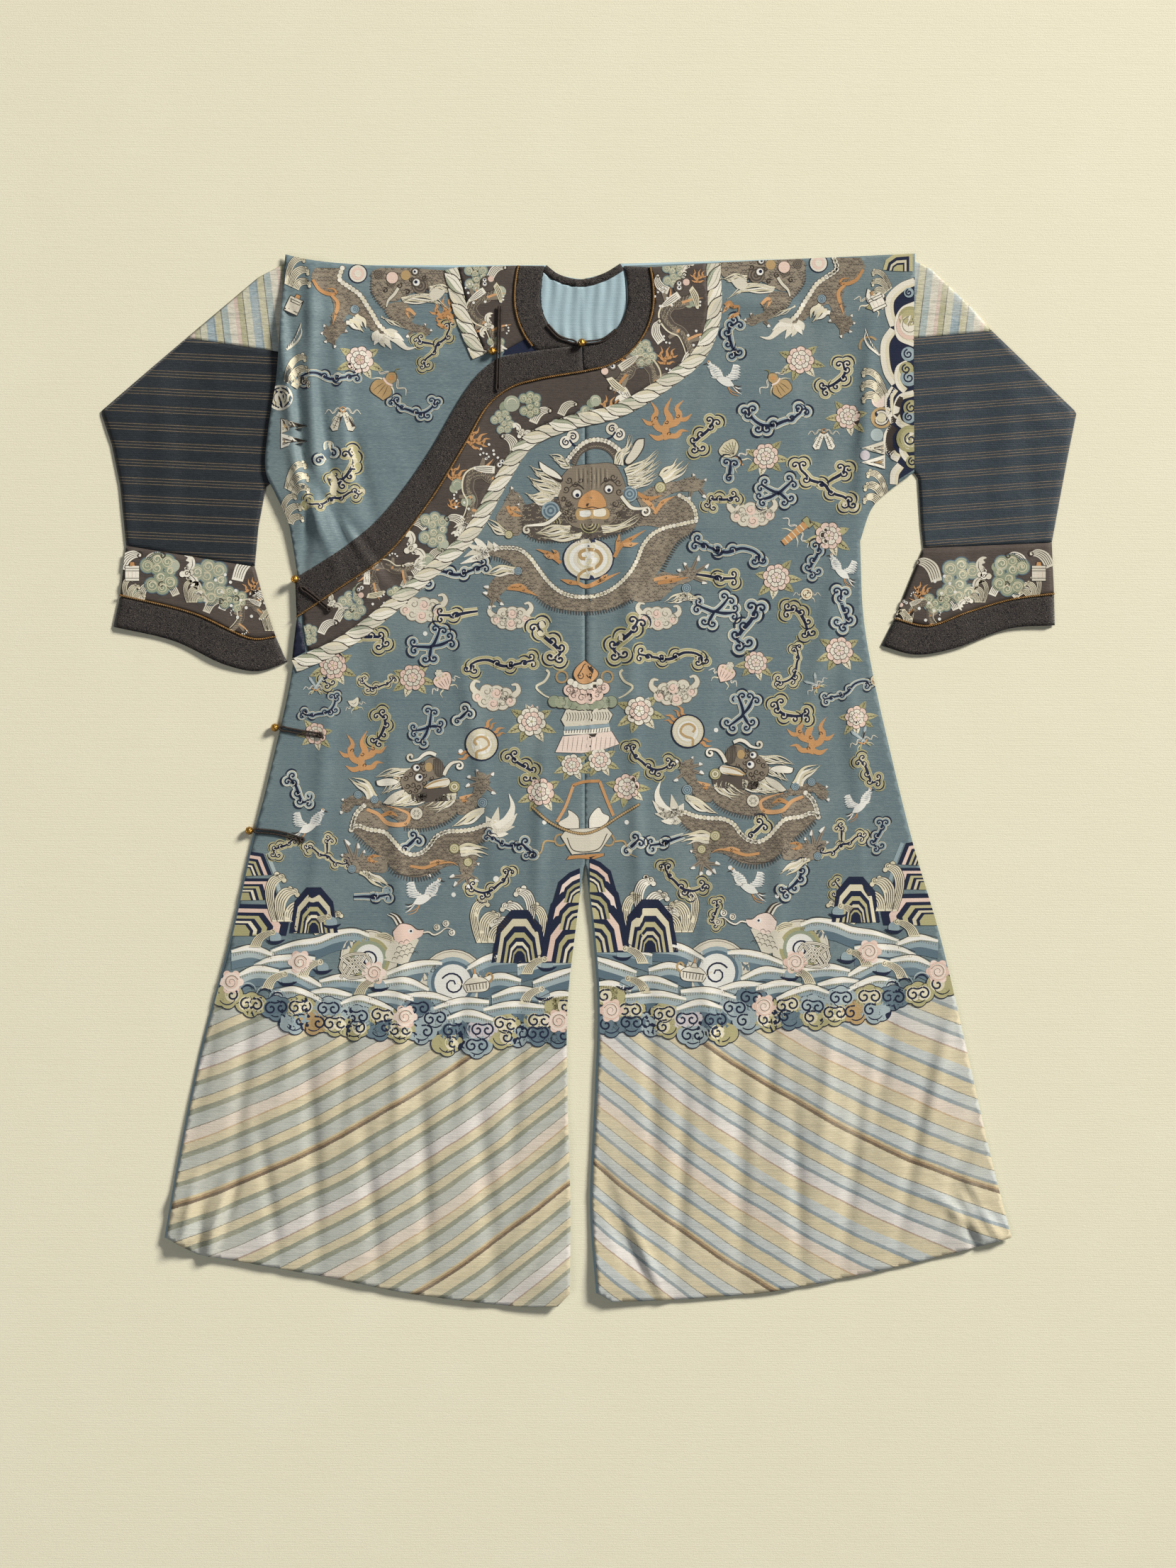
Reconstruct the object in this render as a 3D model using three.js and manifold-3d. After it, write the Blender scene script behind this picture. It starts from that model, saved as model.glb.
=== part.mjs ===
// A silk tapestry dragon robe laid flat, front up, as it lies in a display case.
// Millimetres, +Z up. The cloth is drawn in its own plan: x from the centre seam, y up from the
// lowest point of the hem. At the end the whole robe is moved so that the middle of its base is
// at the origin. Left and right are those of a person looking down at the robe, so left is -X.
import * as THREE from "three";
import { mergeVertices } from "three/addons/utils/BufferGeometryUtils.js";
import Module from "manifold-3d";

const wasm = await Module();
wasm.setup();

// Driving sizes
const ROBE_LENGTH = 1400;
const SLEEVE_REACH_LEFT = -644;
const SLEEVE_REACH_RIGHT = 654;
const WALL = 1.2;
const TRIM = 1.0;
const GAP = 0.3;
const SEAM = GAP / 2;
const SLIT_TOP = 588;
const BUTTON_RADIUS = 5.2;
const CORD_WIDTH = 3;
const ROPE_WIDTH = 19;

// The grid that carries the heights of the cloth. Every layer shares it, so the layers stay parallel.
const GRID = 50;
const CURVE_STEP = 42;
const PRISM_LOW = -5;
const PRISM_HIGH = 60;

// The sleeves lie doubled under the robe's outer edges. From these grid lines outwards the fronts
// are one cloth step higher.
const TUCK_LEFT = { flat: -300, raised: -350 };
const TUCK_RIGHT = { flat: 350, raised: 400 };
const TUCK_LOWEST = 1100;

// Largest folds of the laid cloth: centre, direction of the crest in degrees, half length,
// half width and height.
const FOLDS = [
  { name: "left hem corner", x: -520, y: 96, turn: 35, length: 60, width: 42, height: 6 },
  { name: "left slit corner", x: -42, y: 32, turn: 140, length: 60, width: 45, height: 6 },
  { name: "right slit corner", x: 44, y: 36, turn: 40, length: 60, width: 45, height: 7 },
  { name: "right hem corner", x: 530, y: 98, turn: 150, length: 60, width: 42, height: 5 },
  { name: "left skirt ripple a", x: -440, y: 230, turn: 100, length: 190, width: 44, height: 3.2 },
  { name: "left skirt ripple b", x: -300, y: 200, turn: 94, length: 200, width: 44, height: 2.6 },
  { name: "left skirt ripple c", x: -165, y: 180, turn: 88, length: 180, width: 44, height: 3.0 },
  { name: "right skirt ripple a", x: 130, y: 190, turn: 86, length: 210, width: 44, height: 3.2 },
  { name: "right skirt ripple b", x: 290, y: 210, turn: 80, length: 200, width: 46, height: 2.8 },
  { name: "right skirt ripple c", x: 440, y: 240, turn: 76, length: 190, width: 46, height: 2.6 },
  { name: "left shoulder fold", x: -372, y: 1210, turn: 96, length: 150, width: 42, height: 5 },
  { name: "underarm pucker", x: -345, y: 1035, turn: 122, length: 110, width: 42, height: 4 },
  { name: "right shoulder edge", x: 425, y: 1215, turn: 92, length: 100, width: 44, height: 2.5 },
  { name: "chest swell", x: 20, y: 1010, turn: 90, length: 240, width: 120, height: 2 },
  { name: "neck swell", x: 0, y: 1250, turn: 10, length: 150, width: 70, height: 2 },
];

// Edges of the body at each height above the hem.
const BODY_SIDES = [
  { y: 1018, left: -389, right: 366 },
  { y: 922, left: -382, right: 370 },
  { y: 846, left: -389, right: 382 },
  { y: 734, left: -413, right: 407 },
  { y: 617, left: -441, right: 436 },
  { y: 490, left: -469, right: 473 },
  { y: 339, left: -509, right: 508 },
  { y: 190, left: -539, right: 542 },
  { y: 92, left: -556, right: 567 },
];

// Hem line: distance from the centre seam, and height on each half.
const HEM = [
  { out: 36, left: 1, right: 7 },
  { out: 80, left: 0, right: 8 },
  { out: 160, left: 8, right: 12 },
  { out: 240, left: 19, right: 19 },
  { out: 330, left: 37, right: 35 },
  { out: 440, left: 57, right: 59 },
  { out: 515, left: 70, right: 78 },
];

// Both edges of the front slit.
const SLIT = [
  { y: SLIT_TOP, left: -1, right: 1 },
  { y: 503, left: -12, right: 13 },
  { y: 401, left: -23, right: 20 },
  { y: 277, left: -23, right: 16 },
  { y: 130, left: -19, right: 10 },
  { y: 18, left: -20, right: 18 },
];

// Shoulder line from the neck outwards.
const SHOULDER_LEFT = [
  [-54, 1383],
  [-95, 1381],
  [-176, 1382],
  [-293, 1385],
  [-368, 1392],
  [-398, 1399],
];
const SHOULDER_RIGHT = [
  [51, 1384],
  [166, 1388],
  [300, 1394],
  [439, ROBE_LENGTH],
];

// Edge of the left shoulder where the sleeve is folded under, from the top down to the armpit.
const LEFT_FOLD = [
  [-398, 1399],
  [-403, 1333],
  [-407, 1270],
  [-411, 1226],
  [-421, 1165],
  [-424, 1110],
  [-411, 1080],
  [-395, 1046],
];
const RIGHT_FOLD = [
  [439, ROBE_LENGTH],
  [437, 1260],
  [438, 1110],
];
const RIGHT_UNDERARM = [
  [438, 1110],
  [405, 1085],
  [382, 1062],
  [366, 1018],
];

// The neckline: half an ellipse below its centre, and a taller one above, cut off by the shoulders.
const NECK = { x: -1, y: 1342, half_width: 58.5, drop: 63, rise: 95, collar: 34, step: 8 };
const NECK_ANGLE = { left: -206, right: 26, centre: -90 };
const COLLAR_ANGLE = { left: -199, right: 18, crossing: -134 };
const BACK_NECK = [
  [-51, 1385],
  [-35, 1373],
  [-5, 1366],
  [25, 1374],
  [47, 1387],
];
const BACK_COLLAR_WIDTH = 10;

// Upper edge of the overlap: from the neck button along the brocade binding to the armpit.
const OVERLAP_EDGE = [
  [-4.2, 1278],
  [-69, 1270],
  [-112, 1262],
  [-136, 1246],
  [-160, 1216],
  [-211, 1130],
  [-271, 1051],
  [-325, 1006],
  [-385, 969],
];
// Lower edge of the brocade binding, where the gold cord runs.
const BINDING_EDGE = [
  [-2.2, 1243],
  [-61, 1233],
  [-98, 1222],
  [-128, 1199],
  [-158, 1149],
  [-207, 1070],
  [-263, 1000],
  [-325, 956],
  [-383, 917],
];
// Middle of the twisted rope that edges the woven border, from the right shoulder to the left side.
const ROPE_PATH = [
  [171, 1387],
  [171, 1312],
  [152, 1266],
  [110, 1230],
  [46, 1192],
  [-25, 1173],
  [-77, 1148],
  [-110, 1100],
  [-154, 1025],
  [-216, 968],
  [-270, 920],
  [-325, 880],
  [-386, 852],
];
const UNDER_ROPE_PATH = [
  [-178, 1380],
  [-163, 1318],
  [-141, 1263],
];

// Colours seen in the cloth
const COLOURS = {
  blue_silk: 0x5d7b8a,
  plain_blue: 0x8fb0bd,
  brocade: 0x3f3733,
  border: 0x57493f,
  rope: 0xd3cdb4,
  navy: 0x1f2740,
  gold: 0x8e7038,
  sleeve: 0x31424f,
  striped: 0xb9bba4,
};

// Sum of the rounded ridges at one point of the cloth.
function foldHeight(x, y) {
  let height = 0;
  for (const fold of FOLDS) {
    const turn = THREE.MathUtils.degToRad(fold.turn);
    const along = (x - fold.x) * Math.cos(turn) + (y - fold.y) * Math.sin(turn);
    const across = (y - fold.y) * Math.cos(turn) - (x - fold.x) * Math.sin(turn);
    height += fold.height * Math.exp(-((along / fold.length) ** 2) - (across / fold.width) ** 2);
  }
  return height;
}

// How far the fronts are raised over the sleeves' folded ends, from 0 to 1.
function tuck(x, y) {
  if (y < TUCK_LOWEST - GRID) return 0;
  const left = (TUCK_LEFT.flat - x) / (TUCK_LEFT.flat - TUCK_LEFT.raised);
  const right = (x - TUCK_RIGHT.flat) / (TUCK_RIGHT.raised - TUCK_RIGHT.flat);
  return THREE.MathUtils.clamp(Math.max(left, right), 0, 1);
}

// Heights of each layer's underside
const LAYER = WALL + GAP;
const underFront = (x, y) => LAYER * (1 + tuck(x, y)) + foldHeight(x, y);
const overFront = (x, y) => {
  const overlap = THREE.MathUtils.clamp(1 - x / GRID, 0, 1);
  return LAYER * (1 + overlap + (x > 0 ? tuck(x, y) : 0)) + foldHeight(x, y);
};
const raised = (layer, rise) => (x, y) => layer(x, y) + rise;
const onUnderFront = raised(underFront, LAYER);
const onOverFront = raised(overFront, LAYER);
const onUnderTrim = raised(onUnderFront, TRIM + GAP);
const onOverTrim = raised(onOverFront, TRIM + GAP);
const flat = (height) => () => height;

// Closed solids

function solidFromGeometry(geometry) {
  geometry.deleteAttribute("normal");
  geometry.deleteAttribute("uv");
  const merged = mergeVertices(geometry, 1e-4);
  return new wasm.Manifold(
    new wasm.Mesh({
      numProp: 3,
      vertProperties: new Float32Array(merged.attributes.position.array),
      triVerts: new Uint32Array(merged.index.array),
    }),
  );
}

// An outline of the plan, drawn through the whole height of the robe unless two heights are given.
function prism(outline, low = PRISM_LOW, high = PRISM_HIGH) {
  const shape = new THREE.Shape(outline.map(([x, y]) => new THREE.Vector2(x, y)));
  const geometry = new THREE.ExtrudeGeometry(shape, { depth: high - low, bevelEnabled: false });
  geometry.translate(0, 0, low);
  return solidFromGeometry(geometry);
}

// A wall of cloth over the outline's box, between two height functions read on the shared grid.
function clothWall(outline, bottom, top) {
  const xs = outline.map((point) => point[0]);
  const ys = outline.map((point) => point[1]);
  const firstColumn = Math.floor(Math.min(...xs) / GRID) - 1;
  const lastColumn = Math.ceil(Math.max(...xs) / GRID) + 1;
  const firstRow = Math.floor(Math.min(...ys) / GRID) - 1;
  const lastRow = Math.ceil(Math.max(...ys) / GRID) + 1;
  const columns = lastColumn - firstColumn + 1;
  const rows = lastRow - firstRow + 1;
  const layerSize = columns * rows;
  const vertices = [];
  for (const height of [bottom, top]) {
    for (let row = 0; row < rows; row++) {
      for (let column = 0; column < columns; column++) {
        const x = (firstColumn + column) * GRID;
        const y = (firstRow + row) * GRID;
        vertices.push(x, y, height(x, y));
      }
    }
  }
  const faces = [];
  const quad = (a, b, c, d) => faces.push(a, b, c, a, c, d);
  const at = (column, row, layer) => layer * layerSize + row * columns + column;
  for (let row = 0; row < rows - 1; row++) {
    for (let column = 0; column < columns - 1; column++) {
      const corners = [
        [column, row],
        [column + 1, row],
        [column + 1, row + 1],
        [column, row + 1],
      ];
      quad(...corners.map(([c, r]) => at(c, r, 1)));
      const [a, b, c, d] = corners.map(([c0, r0]) => at(c0, r0, 0));
      faces.push(a, c, b, a, d, c);
    }
  }
  for (let column = 0; column < columns - 1; column++) {
    const far = rows - 1;
    quad(at(column, 0, 0), at(column + 1, 0, 0), at(column + 1, 0, 1), at(column, 0, 1));
    quad(at(column + 1, far, 0), at(column, far, 0), at(column, far, 1), at(column + 1, far, 1));
  }
  for (let row = 0; row < rows - 1; row++) {
    const far = columns - 1;
    quad(at(0, row + 1, 0), at(0, row, 0), at(0, row, 1), at(0, row + 1, 1));
    quad(at(far, row, 0), at(far, row + 1, 0), at(far, row + 1, 1), at(far, row, 1));
  }
  return new wasm.Manifold(
    new wasm.Mesh({
      numProp: 3,
      vertProperties: new Float32Array(vertices),
      triVerts: new Uint32Array(faces),
    }),
  );
}

// A piece of cloth: the wall cut to the outline, as a cutter cuts it.
function cutCloth(outline, underside, thickness) {
  return clothWall(outline, underside, raised(underside, thickness)).intersect(prism(outline));
}

// Plan curves

// Points of a smooth line through the given ones, a little apart.
function smooth(points, step = CURVE_STEP) {
  const knots = points.map(([x, y]) => new THREE.Vector3(x, y, 0));
  const curve = new THREE.CatmullRomCurve3(knots, false, "centripetal");
  const count = Math.max(2, Math.round(curve.getLength() / step));
  return curve.getSpacedPoints(count).map((point) => [point.x, point.y]);
}

// The same line moved sideways, to its left for a positive distance.
function offset(line, distance) {
  return line.map(([x, y], i) => {
    const before = line[Math.max(i - 1, 0)];
    const after = line[Math.min(i + 1, line.length - 1)];
    const along = new THREE.Vector2(after[0] - before[0], after[1] - before[1]).normalize();
    return [x - along.y * distance, y + along.x * distance];
  });
}

// A strip of one width along a line.
function ribbon(line, width) {
  return [...offset(line, width / 2), ...offset(line, -width / 2).reverse()];
}

// Part of the neckline, grown outwards by a distance. Angles in degrees from +X.
function neckArc(from, to, grow = 0) {
  const turn = Math.sign(to - from) * NECK.step;
  const angles = [from];
  for (let at = Math.round(from / turn) * turn + turn; (to - at) * turn > 0; at += turn) {
    angles.push(at);
  }
  return [...angles, to].map((degrees) => {
    const angle = THREE.MathUtils.degToRad(degrees);
    const height = Math.sin(angle) > 0 ? NECK.rise : NECK.drop;
    return [
      NECK.x + (NECK.half_width + grow) * Math.cos(angle),
      NECK.y + (height + grow) * Math.sin(angle),
    ];
  });
}

// One edge of a table of heights, and one half of the hem from the slit outwards.
const column = (table, key) => table.map((row) => [row[key], row.y]);
const hemSide = (key, side) => HEM.map((row) => [side * row.out, row[key]]);

// Panels

// The under front's hidden edges lie this far inside the overlap that covers it. Its free edge
// runs from the neck button to beside the slit.
const UNDER_INSET = 8;
const UNDER_SLIT_EDGE = -39;
const UNDER_FREE_EDGE = [-8, SLIT_TOP + 60];
const UNDER_NECK_END = NECK_ANGLE.centre - 7;

function underFrontOutline() {
  const hidden = BODY_SIDES.slice(1).map((row) => [row.left + UNDER_INSET, row.y]);
  const hem = hemSide("left", -1)
    .map(([x, y]) => [x, y + UNDER_INSET])
    .reverse();
  return [
    ...smooth(SHOULDER_LEFT).slice(1),
    ...smooth([...LEFT_FOLD, [BODY_SIDES[0].left, BODY_SIDES[0].y]]).slice(1),
    ...smooth(hidden, 2 * CURVE_STEP),
    ...hem,
    [UNDER_SLIT_EDGE, SLIT.at(-1).y],
    [UNDER_SLIT_EDGE, SLIT_TOP],
    UNDER_FREE_EDGE,
    ...neckArc(UNDER_NECK_END, NECK_ANGLE.left),
  ];
}

function overlapLeftOutline() {
  return [
    [-SEAM, OVERLAP_EDGE[0][1]],
    ...smooth(OVERLAP_EDGE),
    ...smooth(column(BODY_SIDES.slice(1), "left")),
    ...smooth(hemSide("left", -1).reverse(), 2 * CURVE_STEP),
    ...smooth(column(SLIT, "left").reverse(), 2 * CURVE_STEP).slice(0, -1),
    [-SEAM, SLIT_TOP],
  ];
}

function frontRightOutline() {
  return [
    [SEAM, SLIT_TOP],
    ...smooth(column(SLIT, "right"), 2 * CURVE_STEP).slice(1),
    ...smooth(hemSide("right", 1), 2 * CURVE_STEP),
    ...smooth(column(BODY_SIDES, "right").reverse()),
    ...smooth(RIGHT_UNDERARM.toReversed()).slice(1),
    ...smooth(RIGHT_FOLD.toReversed()).slice(1),
    ...smooth(SHOULDER_RIGHT.toReversed()).slice(1, -1),
    ...neckArc(NECK_ANGLE.right, NECK_ANGLE.centre + 1),
  ];
}

// The back shows only as a narrow lining edge along the left skirt and the right slit edge.
const BACK_PROUD = 3;
const BACK_INSET = 3;
const BACK_TUCK_LEFT = TUCK_LEFT.raised + GAP;
const BACK_TUCK_RIGHT = TUCK_RIGHT.raised - GAP;
const BACK_TUCK_FOOT = 1128;
const BACK_TUCK_TOP = { left: 1390, right: 1396 };
const BACK_UNDERARM_LEFT = [-400, 1092];
const SIDE_PROUD_BELOW = 640;
const SLIT_PROUD_BELOW = 540;

function backLeftOutline() {
  const side = BODY_SIDES.map(({ y, left }) => {
    return [left + (y > SIDE_PROUD_BELOW ? BACK_INSET : -BACK_PROUD), y];
  });
  const slit = column(SLIT, "left").map(([x, y]) => [x - BACK_INSET, y]);
  return [
    [-SEAM, BACK_NECK[2][1]],
    ...smooth(BACK_NECK.slice(0, 3).reverse()).slice(1),
    [SHOULDER_LEFT[3][0], SHOULDER_LEFT[3][1]],
    [BACK_TUCK_LEFT, BACK_TUCK_TOP.left],
    [BACK_TUCK_LEFT, BACK_TUCK_FOOT],
    BACK_UNDERARM_LEFT,
    ...smooth(side, 2 * CURVE_STEP),
    ...hemSide("left", -1).reverse(),
    ...smooth(slit.reverse(), 2 * CURVE_STEP).slice(0, -1),
    [-SEAM, SLIT_TOP],
  ];
}

function backRightOutline() {
  const side = BODY_SIDES.map((row) => [row.right - BACK_INSET, row.y]).reverse();
  const slit = column(SLIT, "right").map(([x, y]) => [x - (y < SLIT_PROUD_BELOW ? BACK_PROUD : 0), y]);
  return [
    [SEAM, SLIT_TOP],
    ...smooth(slit, 2 * CURVE_STEP).slice(1),
    ...hemSide("right", 1),
    ...smooth(side, 2 * CURVE_STEP),
    [BACK_TUCK_RIGHT, BACK_TUCK_FOOT],
    [BACK_TUCK_RIGHT, BACK_TUCK_TOP.right],
    [SHOULDER_RIGHT[2][0], SHOULDER_RIGHT[2][1]],
    ...smooth(BACK_NECK.slice(2).reverse()).slice(0, -1),
    [SEAM, BACK_NECK[2][1]],
  ];
}

// Neck pieces

const BACK_COLLAR_STEP = 12;
const NECK_HOLE_TOP = 1400;
const backNeckLine = smooth(BACK_NECK, BACK_COLLAR_STEP);

// What shows of the back inside the neckline, between two lines across it.
function insideNeck(upper, lower) {
  const hole = neckArc(NECK_ANGLE.left, NECK_ANGLE.right, -2 * GAP);
  const [left, right] = [hole[0], hole.at(-1)];
  const opening = prism([...hole, [right[0], NECK_HOLE_TOP], [left[0], NECK_HOLE_TOP]]);
  return prism([...upper, ...lower.toReversed()], LAYER, LAYER + TRIM).intersect(opening);
}

function neckLining() {
  const upper = offset(backNeckLine, -(BACK_COLLAR_WIDTH + GAP));
  const reach = NECK.half_width;
  const foot = NECK.y - NECK.drop - reach;
  return insideNeck(upper, [[NECK.x - reach, foot], [NECK.x + reach, foot]]);
}

function backCollar() {
  return insideNeck(backNeckLine, offset(backNeckLine, -BACK_COLLAR_WIDTH));
}

function collarLeftOutline() {
  const outer = neckArc(COLLAR_ANGLE.crossing, COLLAR_ANGLE.left, NECK.collar);
  const foot = smooth(OVERLAP_EDGE)
    .map(([x, y]) => [x, y + GAP])
    .filter(([x]) => x > outer[0][0] && x < NECK.x - 4);
  return [...neckArc(NECK_ANGLE.left, NECK_ANGLE.centre - 4), ...foot, ...outer];
}

function collarRightOutline() {
  return [
    ...neckArc(NECK_ANGLE.right, NECK_ANGLE.centre - 2),
    [BINDING_EDGE[0][0] + 2 * GAP, BINDING_EDGE[0][1] + 1],
    ...neckArc(NECK_ANGLE.centre + 4, COLLAR_ANGLE.right, NECK.collar),
  ];
}

function bindingOutline() {
  return [...smooth(OVERLAP_EDGE), ...smooth(BINDING_EDGE).reverse()];
}

// The woven border lies between the binding or collar and the rope. Its left end is folded in, and
// the navy facing shows beside it.
const BORDER_END = [
  [-368, 872],
  [-374, 908],
];
const SIDE_FACING = [
  [-377, 907],
  [-383, 913],
  [-389, 862],
  [-371, 871],
];
const UNDER_BORDER_FOOT = [-112, 1268];

function borderOutline() {
  const ropeInner = offset(smooth(ROPE_PATH), -(ROPE_WIDTH / 2 + GAP));
  const bindingLine = offset(smooth(BINDING_EDGE), GAP).reverse();
  return [
    ...ropeInner.slice(0, -2),
    ...BORDER_END,
    ...bindingLine.slice(1),
    ...neckArc(NECK_ANGLE.centre + 5, COLLAR_ANGLE.right, NECK.collar + GAP),
  ];
}

function underBorderOutline() {
  const ropeInner = offset(smooth(UNDER_ROPE_PATH), ROPE_WIDTH / 2 + GAP);
  return [
    ...ropeInner,
    UNDER_BORDER_FOOT,
    ...neckArc(COLLAR_ANGLE.crossing - 12, COLLAR_ANGLE.left, NECK.collar + GAP),
  ];
}

// Sleeves

// Each sleeve piece: its outer and its inner side, both from the shoulder end to the wrist end.
const SLEEVE_LEFT = {
  fold: {
    outer: [[-394, 1390], [-434, 1369], [-530, 1288]],
    inner: [[-352, 1382], [-352, 1262]],
  },
  extension: {
    outer: [[-530.5, 1287.6], [SLEEVE_REACH_LEFT, 1190], [-629, 1146], [-618, 1092], [-610, 1012]],
    inner: [[-352, 1261.7], [-352, 1142], [-424, 1090], [-434, 1037], [-439, 984]],
  },
  band: {
    outer: [[-610, 1011.7], [-618, 946]],
    inner: [[-439, 983.7], [-426, 936], [-411, 891]],
  },
  cuff: {
    outer: [[-618, 945.7], [-627, 904]],
    inner: [[-411, 890.7], [-396, 857]],
  },
  wrist: [[-627, 904], [-546, 885], [-477, 853], [-434, 845], [-396, 857]],
  cord: [[-618, 946], [-521, 922], [-441, 888], [-411, 891]],
};
const SLEEVE_RIGHT = {
  fold: {
    outer: [[436, 1392], [460, 1380], [514, 1329], [542, 1297]],
    inner: [[402, 1388], [402, 1285]],
  },
  extension: {
    outer: [[542.4, 1296.6], [SLEEVE_REACH_RIGHT, 1189], [641, 1124], [623, 1027], [621, 1016]],
    inner: [[402, 1284.7], [402, 1150], [443, 1102], [447, 1037], [450, 1009]],
  },
  band: {
    outer: [[621, 1015.7], [624, 948]],
    inner: [[450, 1008.7], [430, 960], [412, 915]],
  },
  cuff: {
    outer: [[624, 947.7], [625, 906]],
    inner: [[412, 914.7], [394, 879]],
  },
  wrist: [[625, 906], [566, 902], [490, 875], [440, 867], [394, 879]],
  cord: [[624, 948], [566, 940], [508, 923], [455, 905], [412, 915]],
};
const SLEEVE_HEIGHT = 2 * WALL + GAP;
const TUBE_SIDE = 3;
const TUBE_REACH = 40;

// Soft creases of the laid sleeves. They start beyond where the robe's edge lies on the sleeve.
const CREASE = { start: 450, height: 0.9, across: 29, along: 190 };
function sleeveCrease(x, y) {
  const side = Math.abs(x);
  const fade = THREE.MathUtils.clamp((side - CREASE.start) / GRID, 0, 1);
  return fade * CREASE.height * (1 + Math.sin(side / CREASE.across + y / CREASE.along));
}

// The strip between two sides, drawn in by inset and run past both ends by reach.
function stripOutline(piece, ends, inset, reach) {
  const centre = [...piece.outer, ...piece.inner].reduce((sum, p) => sum + p[0], 0);
  const middle = centre / (piece.outer.length + piece.inner.length);
  const drawIn = (line) => line.map(([x, y]) => [x + Math.sign(middle - x) * inset, y]);
  const outer = drawIn(piece.outer);
  const inner = drawIn(piece.inner);
  if (reach > 0) {
    for (const line of [outer, inner]) {
      line.unshift([line[0][0], line[0][1] + reach]);
      line.push([line.at(-1)[0], line.at(-1)[1] - reach]);
    }
    return [...outer, ...inner.reverse()];
  }
  return [...outer, ...ends.foot, ...inner.reverse(), ...ends.head];
}

// A flattened tube: two walls of cloth joined along both sides and open at both ends.
function sleeveTube(piece, ends) {
  const top = (x, y) => SLEEVE_HEIGHT + sleeveCrease(x, y);
  const lower = (x, y) => WALL + sleeveCrease(x, y) / 2;
  const outline = stripOutline(piece, ends, 0, 0);
  const hollow = stripOutline(piece, ends, TUBE_SIDE, TUBE_REACH);
  const body = clothWall(outline, flat(0), top).intersect(prism(outline));
  const space = clothWall(hollow, lower, raised(lower, GAP)).intersect(prism(hollow));
  return body.subtract(space);
}

function sleeveCord(line) {
  const base = (x, y) => SLEEVE_HEIGHT + GAP + sleeveCrease(x, y);
  return cutCloth(ribbon(smooth(line), CORD_WIDTH), base, TRIM);
}

// Fastenings

// Each button rests on the layer named by seat, or stands at the end of its strap.
const BUTTON_SIDES = 10;
const BUTTON_RINGS = 8;
const BUTTONS = [
  { name: "button_neck", x: -4, y: 1281, seat: raised(onOverTrim, TRIM + GAP) },
  { name: "button_collarbone", x: -123, y: 1270, seat: onUnderTrim },
  { name: "button_armpit", x: -385, y: 967, seat: raised(onOverTrim, 0.5) },
  { name: "button_side_upper", x: -412, y: 770, seat: flat(GAP) },
  { name: "button_side_lower", x: -446, y: 633, seat: flat(GAP) },
];
const onCord = raised(onOverTrim, TRIM + GAP);
const LOOPS = [
  { name: "loop_neck_left", width: 4, base: onUnderTrim, line: [[-50, 1305], [-34, 1289], [-11, 1281.5]] },
  { name: "loop_neck_right", width: 4, base: onOverTrim, line: [[42, 1298], [24, 1285], [-8, 1280.5]] },
  { name: "loop_collarbone", width: 5, base: onOverTrim, line: [[-113, 1330], [-116, 1217]] },
  { name: "loop_armpit", width: 5, base: onCord, line: [[-378, 957], [-364, 947], [-340, 927]] },
  { name: "loop_side_upper", width: 6, base: onOverFront, line: [[-406.4, 769.5], [-378, 764], [-352, 760]] },
  { name: "loop_side_lower", width: 6, base: onOverFront, line: [[-440.4, 633], [-408, 630], [-376, 621]] },
];

// Assembly

const robe = new THREE.Group();

function add(name, solid, colour, roughness = 0.8, metalness = 0) {
  const { vertProperties, triVerts } = solid.getMesh();
  const geometry = new THREE.BufferGeometry();
  geometry.setAttribute("position", new THREE.BufferAttribute(vertProperties, 3));
  geometry.setIndex(new THREE.BufferAttribute(triVerts, 1));
  const material = new THREE.MeshStandardMaterial({ color: colour, roughness, metalness });
  const mesh = new THREE.Mesh(geometry, material);
  mesh.name = name;
  robe.add(mesh);
}

function addPanels() {
  add("back_left", prism(backLeftOutline(), 0, WALL), COLOURS.plain_blue);
  add("back_right", prism(backRightOutline(), 0, WALL), COLOURS.plain_blue);
  add("under_front", cutCloth(underFrontOutline(), underFront, WALL), COLOURS.blue_silk);
  add("overlap_front", cutCloth(overlapLeftOutline(), overFront, WALL), COLOURS.blue_silk);
  add("right_front", cutCloth(frontRightOutline(), overFront, WALL), COLOURS.blue_silk);
}

function addNeck() {
  add("neck_lining", neckLining(), COLOURS.plain_blue);
  add("back_collar", backCollar(), COLOURS.brocade);
  add("collar_left", cutCloth(collarLeftOutline(), onUnderFront, TRIM), COLOURS.brocade);
  add("collar_right", cutCloth(collarRightOutline(), onOverFront, TRIM), COLOURS.brocade);
  add("overlap_binding", cutCloth(bindingOutline(), onOverFront, TRIM), COLOURS.brocade);
}

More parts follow.
